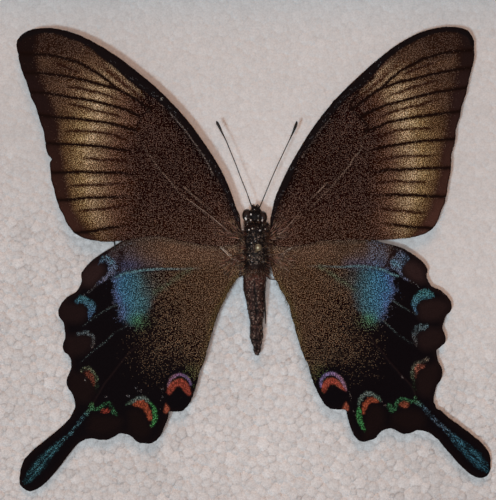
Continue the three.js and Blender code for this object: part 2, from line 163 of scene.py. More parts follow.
class Paint:
    """Ground colour, and a dusting of coloured scales over it with a density."""

    def __init__(self, n, ground):
        self.ground = np.tile(np.array(ground, float), (n, 1))
        self.scale = np.zeros((n, 3))
        self.dens = np.zeros(n)

    def under(self, w, colour):
        self.ground += (np.asarray(colour, float) - self.ground) * w[:, None]

    def dust(self, w, colour):
        w = np.clip(w, 0, 1)
        colour = np.asarray(colour, float)
        keep = self.dens * (1 - w)
        tot = keep + w + 1e-9
        self.scale = (self.scale * keep[:, None] + colour * w[:, None]) / tot[:, None]
        self.dens = keep + w

    def wipe(self, w):
        self.dens = self.dens * (1 - np.clip(w, 0, 1))


# Wing outlines on the chart.
FOREWING_LEFT = """
239.7,215.5 239.2,214.1 238.6,212.7 237.9,211.4 237.3,210.0 236.7,208.6 236.1,207.3 235.6,205.9 235.1,204.4
234.7,203.0 234.2,201.6 233.7,200.1 233.2,198.7 232.8,197.3 232.3,195.9 231.8,194.4 231.3,193.1 230.7,191.6
230.2,190.2 229.7,188.8 229.1,187.4 228.6,186.0 228.0,184.7 227.4,183.3 226.8,181.9 226.2,180.5 225.6,179.2
224.9,177.8 224.2,176.5 223.6,175.1 222.9,173.8 222.2,172.4 221.6,171.1 220.9,169.8 220.2,168.4 219.5,167.1
218.8,165.8 218.0,164.5 217.2,163.2 216.4,161.9 215.7,160.6 214.9,159.4 214.1,158.1 213.3,156.9 212.5,155.6
211.7,154.3 210.9,153.0 210.1,151.7 209.3,150.5 208.5,149.2 207.6,148.0 206.7,146.8 205.9,145.6 205.0,144.3
204.2,143.1 203.3,141.8 202.5,140.6 201.6,139.4 200.8,138.1 199.9,136.9 199.1,135.6 198.2,134.4 197.3,133.2
196.4,132.0 195.5,130.8 194.7,129.6 193.9,128.3 193.0,127.1 192.1,125.9 191.1,124.7 190.1,123.6 189.2,122.5
188.2,121.3 187.3,120.1 186.3,119.0 185.4,117.8 184.4,116.7 183.4,115.6 182.4,114.4 181.4,113.3 180.4,112.2
179.4,111.0 178.4,109.9 177.4,108.8 176.4,107.7 175.3,106.6 174.3,105.6 173.3,104.5 172.3,103.4 171.2,102.3
170.1,101.2 169.1,100.2 168.1,99.0 167.1,97.9 166.0,96.9 164.9,95.9 163.8,94.8 162.8,93.8 161.7,92.7 160.6,91.7
159.5,90.6 158.4,89.6 157.4,88.6 156.3,87.5 155.2,86.5 154.0,85.5 152.9,84.5 151.7,83.6 150.6,82.6 149.4,81.7
148.3,80.7 147.2,79.7 146.0,78.7 144.8,77.8 143.7,76.9 142.5,75.9 141.3,75.0 140.1,74.1 139.0,73.1 137.8,72.2
136.6,71.2 135.5,70.3 134.3,69.4 133.1,68.5 131.9,67.5 130.7,66.6 129.5,65.7 128.3,64.8 127.2,63.8 126.0,62.9
124.8,62.0 123.6,61.1 122.4,60.2 121.2,59.3 120.0,58.4 118.8,57.5 117.5,56.7 116.3,55.9 115.0,55.1 113.8,54.2
112.5,53.5 111.2,52.7 110.0,51.8 108.7,51.0 107.5,50.1 106.3,49.3 105.0,48.5 103.7,47.7 102.4,46.9 101.1,46.2
99.8,45.5 98.4,44.9 97.1,44.2 95.8,43.5 94.5,42.6 93.2,41.9 91.9,41.1 90.6,40.4 89.3,39.6 87.9,39.0 86.5,38.5
85.2,37.9 83.8,37.2 82.5,36.6 81.1,35.9 79.8,35.2 78.4,34.7 77.0,34.2 75.5,33.7 74.1,33.3 72.7,32.8 71.2,32.4
69.8,31.8 68.4,31.4 67.0,30.9 65.5,30.6 64.1,30.2 62.6,29.9 61.1,29.7 59.7,29.3 58.2,28.9 56.7,28.7 55.2,28.6
53.7,28.4 52.3,28.1 50.8,27.9 49.3,27.8 47.8,27.8 46.3,27.9 44.8,27.9 43.3,28.0 41.8,28.0 40.3,28.2 38.8,28.4
37.3,28.7 35.8,28.8 34.3,29.0 32.9,29.2 31.4,29.6 30.0,30.1 28.6,30.6 27.2,31.2 25.8,31.8 24.5,32.6 23.3,33.5
22.2,34.5 21.1,35.4 20.0,36.5 19.0,37.6 18.2,38.9 17.4,40.2 16.9,41.6 16.6,43.0 16.5,44.5 16.5,46.0 16.6,47.5
16.9,49.0 17.2,50.5 17.7,51.9 18.2,53.3 18.4,54.8 18.5,56.3 18.5,57.8 18.8,59.3 19.1,60.7 19.5,62.2 19.9,63.6
20.2,65.1 20.6,66.5 20.9,68.0 21.3,69.5 21.9,70.8 22.5,72.2 23.1,73.6 23.5,75.0 24.0,76.5 24.5,77.9 25.2,79.2
25.8,80.6 26.4,81.9 27.0,83.3 27.4,84.8 27.8,86.2 28.1,87.7 28.5,89.1 29.1,90.5 29.6,91.9 30.0,93.4 30.3,94.8
30.7,96.3 31.1,97.7 31.8,99.1 32.5,100.4 33.2,101.7 34.0,103.0 34.7,104.3 35.4,105.7 35.9,107.1 36.4,108.5
36.8,109.9 37.1,111.4 37.4,112.9 37.8,114.3 38.4,115.7 38.8,117.1 39.2,118.6 39.6,120.1 40.1,121.5 40.6,122.9
41.1,124.3 41.7,125.7 42.2,127.1 42.7,128.5 43.1,129.9 43.6,131.4 43.9,132.8 43.9,134.3 44.1,135.8 44.3,137.3
44.5,138.8 44.8,140.3 45.2,141.7 45.5,143.2 45.6,144.7 45.7,146.2 45.9,147.7 46.2,149.1 46.6,150.6 47.0,152.0
47.5,153.5 48.1,154.8 49.0,156.0 50.1,157.0 51.2,158.1 51.7,159.5 50.9,160.7 50.1,162.0 49.8,163.4 49.8,164.9
49.9,166.4 50.0,167.9 50.2,169.4 50.5,170.9 50.6,172.4 50.7,173.9 50.8,175.4 50.8,176.9 51.0,178.4 51.2,179.9
51.7,181.3 52.1,182.7 52.5,184.2 52.9,185.6 53.4,187.1 53.8,188.5 54.1,190.0 54.5,191.4 54.8,192.9 55.2,194.3
55.5,195.8 55.9,197.3 56.2,198.7 56.7,200.1 57.2,201.5 57.7,202.9 58.2,204.4 58.6,205.8 59.1,207.2 59.7,208.6
60.4,210.0 61.1,211.3 61.9,212.5 62.7,213.8 63.4,215.1 64.0,216.5 64.6,217.9 65.2,219.3 65.7,220.7 66.3,222.1
67.0,223.4 67.8,224.7 68.6,225.9 69.5,227.1 70.5,228.3 71.3,229.5 72.3,230.7 73.2,231.8 74.3,232.9 75.5,233.8
76.8,234.6 78.1,235.3 79.4,236.1 80.7,236.8 82.1,237.4 83.5,238.0 84.9,238.5 86.3,238.9 87.8,239.3 89.2,239.6
90.7,239.9 92.2,240.2 93.6,240.5 95.1,240.7 96.6,240.9 98.1,241.1 99.6,241.3 101.1,241.6 102.5,241.7 104.0,241.8
105.5,241.9 107.0,241.9 108.5,241.9 110.0,241.9 111.5,241.8 113.0,241.7 114.5,241.6 116.0,241.4 117.5,241.2
119.0,241.1 120.5,241.0 122.0,240.9 123.5,240.7 125.0,240.6 126.5,240.5 128.0,240.3 129.5,240.2 131.0,240.0
132.5,239.8 133.9,239.7 135.4,239.4 136.9,239.1 138.4,238.8 139.8,238.4 141.3,238.1 142.8,237.9 144.3,237.6
145.7,237.4 147.2,237.2 148.7,237.1 150.2,237.0 151.7,236.9 153.2,236.9 154.7,236.9 156.2,237.0 157.7,237.0
159.2,237.1 160.7,237.3 162.2,237.4 163.7,237.7 165.2,237.9 166.6,238.2 168.1,238.4 169.6,238.7 171.1,239.0
172.5,239.3 174.0,239.6 175.5,240.0 176.9,240.3 178.4,240.7 179.9,241.0 181.3,241.3 182.8,241.6 184.3,241.9
185.7,242.2 187.2,242.5 188.7,242.8 190.2,243.0 191.6,243.3 193.1,243.6 194.6,243.8 196.1,244.1 197.6,244.3
199.0,244.6 200.5,244.8 202.0,245.0 203.5,245.2 205.0,245.4 206.5,245.6 208.0,245.8 209.5,245.9 211.0,246.1
212.4,246.2 213.9,246.4 215.4,246.5 216.9,246.5 218.4,246.5 219.9,246.5 221.4,246.4 222.9,246.3 224.4,246.1
225.9,245.9 227.4,245.7 228.9,245.5 230.4,245.3 231.8,245.0 233.3,244.8 234.8,244.5 236.3,244.3 237.8,244.0
239.2,243.7 240.7,243.4 242.2,243.1 242.9,242.3 242.7,240.8 242.6,239.3 242.4,237.9 242.2,236.4 242.0,234.9
241.9,233.4 241.7,231.9 241.5,230.4 241.3,228.9 241.1,227.4 241.0,225.9 240.8,224.4 240.6,223.0 240.4,221.5
240.3,220.0 240.1,218.5 239.9,217.0
"""
FOREWING_RIGHT = """
401.5,238.5 403.0,238.5 404.5,238.5 406.0,238.4 407.5,238.2 409.0,238.0 410.4,237.6 411.9,237.4 413.4,237.1
414.9,236.9 416.3,236.6 417.7,236.1 419.2,235.6 420.6,235.1 422.0,234.7 423.4,234.2 424.8,233.6 426.2,233.0
427.5,232.2 428.8,231.5 430.0,230.7 431.2,229.8 432.4,228.8 433.4,227.7 434.4,226.6 435.2,225.3 435.9,224.0
436.6,222.7 437.4,221.4 438.1,220.1 438.6,218.7 439.1,217.3 439.6,215.9 440.1,214.4 440.5,213.0 440.9,211.6
441.4,210.1 442.0,208.7 442.6,207.4 443.4,206.1 444.1,204.8 444.6,203.4 445.0,201.9 445.3,200.5 445.4,199.0
445.7,197.5 446.2,196.1 446.6,194.6 446.9,193.2 447.2,191.7 447.3,190.2 447.4,188.7 447.6,187.2 447.8,185.7
448.1,184.3 448.3,182.8 448.6,181.3 448.9,179.8 449.2,178.4 449.6,176.9 450.0,175.5 450.4,174.0 450.7,172.6
450.9,171.1 450.9,169.6 451.0,168.1 451.1,166.6 451.2,165.1 451.2,163.6 451.1,162.1 451.2,160.6 451.2,159.1
451.2,157.6 451.3,156.1 451.4,154.6 451.7,153.1 452.1,151.7 452.6,150.2 453.1,148.8 453.5,147.4 454.0,146.0
454.3,144.5 454.7,143.1 455.0,141.6 455.2,140.1 455.3,138.6 455.5,137.1 455.7,135.6 455.6,134.1 455.6,132.6
455.7,131.2 456.0,129.7 456.3,128.2 456.6,126.7 457.1,125.3 457.5,123.9 457.9,122.4 458.4,121.0 459.0,119.6
459.5,118.3 460.0,116.8 460.3,115.4 460.4,113.9 460.6,112.4 460.9,110.9 461.2,109.4 461.4,108.0 461.7,106.5
462.1,105.1 462.6,103.6 463.2,102.2 463.7,100.8 464.2,99.4 464.6,98.0 465.1,96.6 465.6,95.2 466.1,93.8 466.5,92.3
466.8,90.8 466.9,89.3 467.2,87.9 467.6,86.4 468.0,85.0 468.3,83.5 468.4,82.0 468.7,80.5 469.0,79.1 469.3,77.6
469.7,76.2 470.1,74.7 470.6,73.3 471.1,71.9 471.4,70.4 471.7,68.9 472.1,67.5 472.6,66.1 473.0,64.7 473.3,63.2
473.5,61.7 473.8,60.2 474.1,58.8 474.3,57.3 474.4,55.8 474.5,54.3 474.4,52.8 474.2,51.3 474.1,49.8 474.2,48.3
474.2,46.8 474.2,45.3 474.2,43.8 474.1,42.3 473.9,40.8 473.5,39.4 473.0,38.0 472.3,36.6 471.6,35.4 470.7,34.1
469.9,32.9 469.0,31.7 467.9,30.7 466.6,29.8 465.3,29.2 463.9,28.6 462.4,28.2 461.0,27.8 459.5,27.5 458.0,27.3
456.5,27.2 455.0,27.0 453.6,26.9 452.1,26.8 450.6,26.8 449.1,26.8 447.6,26.7 446.1,26.7 444.6,26.9 443.1,27.0
441.6,27.2 440.1,27.5 438.6,27.7 437.1,27.9 435.7,28.2 434.2,28.5 432.7,28.8 431.3,29.2 429.8,29.5 428.4,29.9
426.9,30.3 425.5,30.7 424.0,31.1 422.6,31.6 421.2,32.1 419.8,32.6 418.4,33.2 417.0,33.7 415.6,34.3 414.3,34.9
412.9,35.6 411.6,36.3 410.3,37.0 409.0,37.7 407.6,38.4 406.3,39.1 405.0,39.8 403.7,40.6 402.4,41.4 401.2,42.2
399.9,42.9 398.6,43.7 397.3,44.5 396.0,45.3 394.8,46.1 393.5,46.9 392.3,47.8 391.1,48.7 389.9,49.6 388.8,50.6
387.6,51.5 386.4,52.4 385.2,53.3 384.1,54.3 382.9,55.3 381.8,56.2 380.6,57.1 379.4,58.1 378.2,59.0 377.1,60.0
375.9,60.9 374.8,61.9 373.7,62.9 372.5,63.9 371.4,64.8 370.2,65.8 369.1,66.8 368.0,67.8 366.8,68.8 365.7,69.8
364.6,70.8 363.5,71.8 362.4,72.8 361.3,73.8 360.2,74.8 359.1,75.8 358.0,76.8 356.9,77.8 355.8,78.8 354.7,79.9
353.6,80.9 352.5,82.0 351.4,83.0 350.3,84.0 349.2,85.0 348.1,86.1 347.1,87.1 346.0,88.2 345.0,89.3 343.9,90.3
342.9,91.4 341.9,92.5 340.8,93.6 339.7,94.6 338.7,95.7 337.6,96.8 336.6,97.9 335.6,98.9 334.5,100.0 333.5,101.1
332.5,102.2 331.5,103.4 330.6,104.6 329.7,105.7 328.7,106.9 327.7,108.0 326.8,109.2 325.9,110.4 324.9,111.5
324.0,112.7 323.1,113.9 322.1,115.0 321.2,116.2 320.3,117.4 319.4,118.6 318.5,119.8 317.6,121.0 316.8,122.3
315.9,123.5 315.0,124.7 314.1,125.9 313.3,127.2 312.5,128.4 311.6,129.6 310.7,130.9 309.9,132.1 309.0,133.3
308.2,134.6 307.4,135.9 306.6,137.1 305.8,138.4 305.0,139.7 304.2,140.9 303.4,142.2 302.6,143.5 301.8,144.7
301.1,146.0 300.3,147.3 299.6,148.6 298.8,149.9 298.0,151.2 297.3,152.5 296.5,153.8 295.8,155.1 295.0,156.4
294.3,157.7 293.5,159.0 292.8,160.3 292.1,161.6 291.3,162.9 290.6,164.2 289.8,165.5 289.1,166.8 288.4,168.2
287.7,169.5 287.1,170.8 286.4,172.2 285.7,173.5 285.1,174.9 284.4,176.2 283.8,177.6 283.2,178.9 282.6,180.3
282.0,181.7 281.3,183.0 280.7,184.4 280.1,185.8 279.5,187.1 278.9,188.5 278.3,189.9 277.7,191.3 277.1,192.7
276.5,194.0 276.0,195.4 275.5,196.8 275.0,198.3 274.6,199.7 274.1,201.1 273.7,202.6 273.4,204.0 273.1,205.5
272.9,207.0 272.6,208.5 272.3,209.9 272.1,211.4 271.7,212.9 271.2,214.3 270.8,215.7 270.4,217.2 270.2,218.7
270.2,220.2 270.2,221.7 270.2,223.1 270.2,224.6 270.2,226.1 270.2,227.6 270.1,229.1 270.1,230.6 270.1,232.1
270.1,233.6 270.1,235.1 270.1,236.6 270.1,238.1 270.1,239.6 270.0,241.1 270.0,242.6 270.0,244.1 270.6,245.1
272.1,245.4 273.6,245.7 275.0,246.0 276.5,246.3 278.0,246.7 279.4,246.9 280.9,247.2 282.4,247.4 283.9,247.5
285.4,247.6 286.9,247.6 288.4,247.5 289.9,247.4 291.4,247.3 292.9,247.1 294.3,246.9 295.8,246.6 297.3,246.4
298.8,246.2 300.3,246.0 301.8,245.8 303.2,245.6 304.7,245.3 306.2,245.1 307.7,244.8 309.2,244.5 310.6,244.1
312.0,243.7 313.5,243.2 314.9,242.7 316.3,242.2 317.7,241.8 319.2,241.4 320.6,241.1 322.1,240.9 323.6,240.8
325.1,240.7 326.6,240.7 328.1,240.7 329.6,240.6 331.1,240.6 332.6,240.5 334.1,240.5 335.6,240.4 337.1,240.4
338.6,240.4 340.1,240.3 341.6,240.3 343.1,240.3 344.6,240.3 346.1,240.2 347.6,240.2 349.1,240.2 350.6,240.2
352.1,240.2 353.6,240.2 355.1,240.2 356.6,240.2 358.1,240.2 359.6,240.2 361.1,240.2 362.6,240.2 364.1,240.2
365.6,240.2 367.1,240.2 368.6,240.2 370.1,240.2 371.6,240.2 373.1,240.2 374.6,240.2 376.1,240.2 377.6,240.2
379.1,240.2 380.6,240.1 382.1,240.1 383.6,240.1 385.1,240.0 386.6,240.0 388.1,239.9 389.6,239.8 391.1,239.7
392.6,239.6 394.1,239.4 395.5,239.3 397.0,239.1 398.5,238.9 400.0,238.7
"""
HINDWING_LEFT = """
107.5,250.0 106.2,250.8 104.9,251.5 103.6,252.3 102.4,253.1 101.1,254.0 99.8,254.7 98.6,255.6 97.5,256.6 96.2,257.3
94.9,258.1 93.7,259.1 92.6,260.0 91.4,261.0 90.3,262.0 89.2,263.0 88.2,264.1 87.2,265.2 86.2,266.4 85.2,267.5
84.3,268.7 83.4,269.9 82.6,271.1 81.8,272.4 81.4,273.9 81.2,275.4 81.2,276.9 81.4,278.3 81.6,279.8 81.5,281.3
81.1,282.8 80.6,284.1 80.0,285.5 79.4,286.9 78.7,288.2 77.8,289.5 76.9,290.7 75.9,291.8 74.8,292.8 73.5,293.6
72.2,294.3 70.8,294.9 69.5,295.5 68.2,296.3 67.0,297.2 65.9,298.2 64.8,299.2 63.8,300.3 62.7,301.4 61.8,302.6
61.1,303.9 60.4,305.2 59.7,306.6 59.1,308.0 58.6,309.4 58.2,310.8 58.2,312.3 58.3,313.8 58.7,315.3 59.2,316.7
59.9,318.0 60.9,319.2 61.9,320.3 62.8,321.5 63.5,322.8 64.0,324.2 64.2,325.7 64.4,327.2 64.5,328.7 64.7,330.2
64.9,331.7 65.2,333.1 65.3,334.6 65.4,336.1 65.3,337.6 64.9,339.1 64.3,340.4 63.7,341.8 63.2,343.2 62.9,344.7
62.7,346.2 62.8,347.7 63.1,349.1 63.7,350.5 64.5,351.8 65.5,352.9 66.7,353.7 67.9,354.7 68.9,355.8 69.6,357.1
70.4,358.4 70.9,359.8 71.1,361.3 71.1,362.8 71.1,364.3 71.2,365.8 71.2,367.3 70.8,368.8 70.3,370.2 69.8,371.6
69.2,373.0 68.6,374.3 68.0,375.7 67.4,377.1 67.0,378.5 66.7,380.0 66.5,381.5 66.5,383.0 66.8,384.5 67.2,385.9
67.8,387.3 68.5,388.6 69.4,389.8 70.4,390.9 71.2,392.2 71.9,393.5 72.7,394.8 73.3,396.2 73.8,397.6 74.3,399.0
74.6,400.5 74.8,402.0 75.0,403.4 75.1,404.9 75.1,406.4 74.8,407.9 74.3,409.3 73.7,410.7 73.0,412.0 72.3,413.4
71.6,414.7 71.0,416.1 70.1,417.3 69.3,418.6 68.4,419.8 67.4,420.9 66.3,421.9 65.2,423.0 64.2,424.0 63.2,425.1
62.1,426.2 61.0,427.2 59.9,428.2 58.7,429.1 57.5,430.0 56.4,431.0 55.3,432.0 54.2,433.0 53.0,434.0 51.8,434.9
50.6,435.8 49.4,436.7 48.2,437.5 47.0,438.5 45.9,439.5 44.8,440.5 43.7,441.5 42.5,442.5 41.3,443.4 40.1,444.3
38.9,445.2 37.7,446.1 36.6,447.0 35.4,448.0 34.3,449.0 33.1,450.0 32.0,451.0 31.0,452.0 29.9,453.1 28.9,454.2
27.8,455.3 26.8,456.3 25.8,457.5 24.8,458.6 24.0,459.9 23.4,461.2 22.8,462.6 22.2,464.0 21.8,465.4 21.3,466.9
20.9,468.3 20.5,469.8 20.3,471.2 20.2,472.7 20.1,474.2 19.8,475.7 19.5,477.2 19.4,478.7 19.5,480.2 19.6,481.7
19.7,483.2 20.1,484.6 20.9,485.9 22.0,486.9 23.1,487.9 24.2,489.0 25.4,489.8 26.7,490.5 28.2,491.0 29.6,491.3
31.1,491.2 32.6,490.9 34.0,490.5 35.5,490.0 36.8,489.4 38.1,488.5 39.3,487.7 40.6,486.9 41.8,486.0 42.9,485.1
44.1,484.1 45.2,483.1 46.3,482.0 47.3,480.9 48.4,479.9 49.4,478.8 50.5,477.8 51.5,476.6 52.5,475.5 53.4,474.3
54.4,473.2 55.4,472.1 56.4,471.0 57.3,469.8 58.2,468.6 59.1,467.4 60.1,466.2 61.0,465.1 62.0,463.9 62.9,462.7
63.7,461.4 64.6,460.2 65.5,459.1 66.4,457.8 67.2,456.6 68.2,455.4 69.1,454.2 70.0,453.1 71.0,451.9 71.9,450.8
72.8,449.5 73.7,448.3 74.7,447.2 75.6,446.0 76.6,444.9 77.7,443.9 78.9,443.0 80.2,442.2 81.5,441.5 82.8,440.7
84.1,440.0 85.5,439.4 87.0,439.0 88.5,438.8 89.9,438.6 91.4,438.5 92.9,438.5 94.4,438.9 95.9,439.2 97.3,439.5
98.8,439.8 100.3,439.9 101.8,439.9 103.3,439.8 104.8,439.9 106.3,439.9 107.8,439.6 109.2,439.1 110.6,438.5
111.9,437.8 113.3,437.2 114.6,436.5 115.9,435.7 117.0,434.8 118.3,434.0 119.8,433.6 121.3,433.4 122.8,433.5
124.2,433.8 125.7,434.1 127.2,434.4 128.6,434.9 129.9,435.6 131.2,436.4 132.4,437.3 133.5,438.3 134.5,439.4
135.5,440.5 136.7,441.5 138.0,442.1 139.4,442.7 140.8,443.1 142.3,443.2 143.8,443.3 145.3,443.4 146.8,443.6
148.3,443.7 149.8,443.6 151.3,443.2 152.7,442.7 153.9,441.9 155.2,441.2 156.4,440.3 157.6,439.3 158.6,438.2
159.5,437.0 160.4,435.8 161.1,434.5 161.9,433.2 162.7,431.9 163.1,430.5 163.4,429.0 163.8,427.6 164.4,426.2
165.1,424.8 165.8,423.5 166.6,422.2 166.9,420.8 167.3,419.3 167.8,417.9 168.1,416.4 168.4,415.0 168.6,413.5
168.5,412.0 169.7,411.2 171.2,411.2 172.7,411.5 174.1,411.7 175.6,411.6 177.1,411.6 178.6,411.5 180.1,411.3
181.6,411.1 183.0,410.5 184.1,409.6 185.2,408.5 186.3,407.5 187.3,406.4 188.2,405.2 189.0,403.9 189.8,402.7
190.6,401.3 191.1,399.9 191.7,398.5 192.3,397.2 192.8,395.8 193.2,394.3 193.8,393.0 194.4,391.6 194.9,390.1
195.2,388.7 195.6,387.2 196.0,385.8 196.4,384.3 196.9,382.9 197.2,381.5 197.5,380.0 198.0,378.6 198.4,377.1
198.7,375.6 199.1,374.2 199.3,372.7 199.7,371.3 200.4,370.0 201.1,368.6 201.8,367.3 202.4,365.9 203.0,364.5
203.4,363.1 204.0,361.7 204.5,360.3 204.9,358.9 205.3,357.4 205.7,356.0 206.2,354.5 206.4,353.1 206.5,351.6
207.0,350.2 207.5,348.7 207.9,347.3 208.2,345.8 208.7,344.4 209.1,343.0 209.5,341.5 210.0,340.1 210.3,338.6
210.7,337.2 211.2,335.7 211.4,334.3 211.9,332.8 212.5,331.5 213.0,330.1 213.3,328.6 213.8,327.2 214.2,325.7
214.6,324.3 214.9,322.8 215.3,321.4 215.8,319.9 216.4,318.6 216.8,317.1 217.3,315.7 217.9,314.3 218.4,312.9
218.8,311.5 219.4,310.1 220.0,308.7 220.6,307.4 221.2,306.0 221.9,304.6 222.7,303.4 223.5,302.1 224.1,300.7
224.9,299.5 225.6,298.2 226.1,296.7 226.6,295.3 227.1,293.9 227.8,292.6 228.6,291.3 229.3,290.0 230.1,288.7
230.9,287.5 231.7,286.2 232.5,284.9 233.4,283.7 234.3,282.5 235.2,281.3 236.1,280.1 237.1,279.0 238.2,278.0
239.1,276.9 239.5,275.5 239.9,274.0 240.3,272.6 240.7,271.1 241.1,269.7 241.5,268.2 241.7,266.7 242.0,265.3
242.3,263.8 242.5,262.3 242.7,260.8 242.9,259.3 243.0,257.8 243.2,256.3 243.3,254.8 243.4,253.4 243.4,251.9
243.3,250.4 243.0,248.9 242.7,247.4 242.4,245.9 242.0,244.5 241.5,243.1 241.0,241.7 240.2,240.4 239.4,239.1
238.4,238.0 237.3,237.0 236.1,236.1 234.8,235.3 233.4,234.7 232.1,234.0 230.7,233.4 229.3,232.9 227.9,232.4
226.5,231.9 225.0,231.4 223.6,231.0 222.2,230.6 220.7,230.2 219.3,229.8 217.8,229.5 216.3,229.2 214.8,229.0
213.4,228.7 211.9,228.5 210.4,228.3 208.9,228.2 207.4,228.0 205.9,227.9 204.4,227.7 202.9,227.6 201.4,227.5
199.9,227.4 198.4,227.3 196.9,227.2 195.4,227.2 193.9,227.1 192.4,227.1 190.9,227.0 189.4,227.0 187.9,227.0
186.4,227.0 184.9,227.0 183.4,227.0 181.9,227.0 180.4,227.1 178.9,227.1 177.4,227.2 175.9,227.2 174.4,227.3
172.9,227.4 171.4,227.5 169.9,227.6 168.4,227.7 166.9,227.8 165.4,228.0 163.9,228.1 162.4,228.2 161.0,228.4
159.5,228.6 158.0,228.8 156.5,228.9 155.0,229.2 153.5,229.4 152.0,229.6 150.6,229.9 149.1,230.1 147.6,230.4
146.1,230.7 144.7,231.1 143.2,231.4 141.8,231.8 140.3,232.2 138.9,232.6 137.4,233.1 136.0,233.6 134.6,234.1
133.2,234.6 131.8,235.2 130.4,235.8 129.1,236.4 127.8,237.1 126.5,237.9 125.2,238.7 124.0,239.6 122.8,240.4
121.5,241.3 120.3,242.2 119.0,243.0 117.8,243.8 116.5,244.6 115.2,245.3 113.9,246.1 112.6,246.9 111.3,247.7
110.1,248.5 108.8,249.2
"""
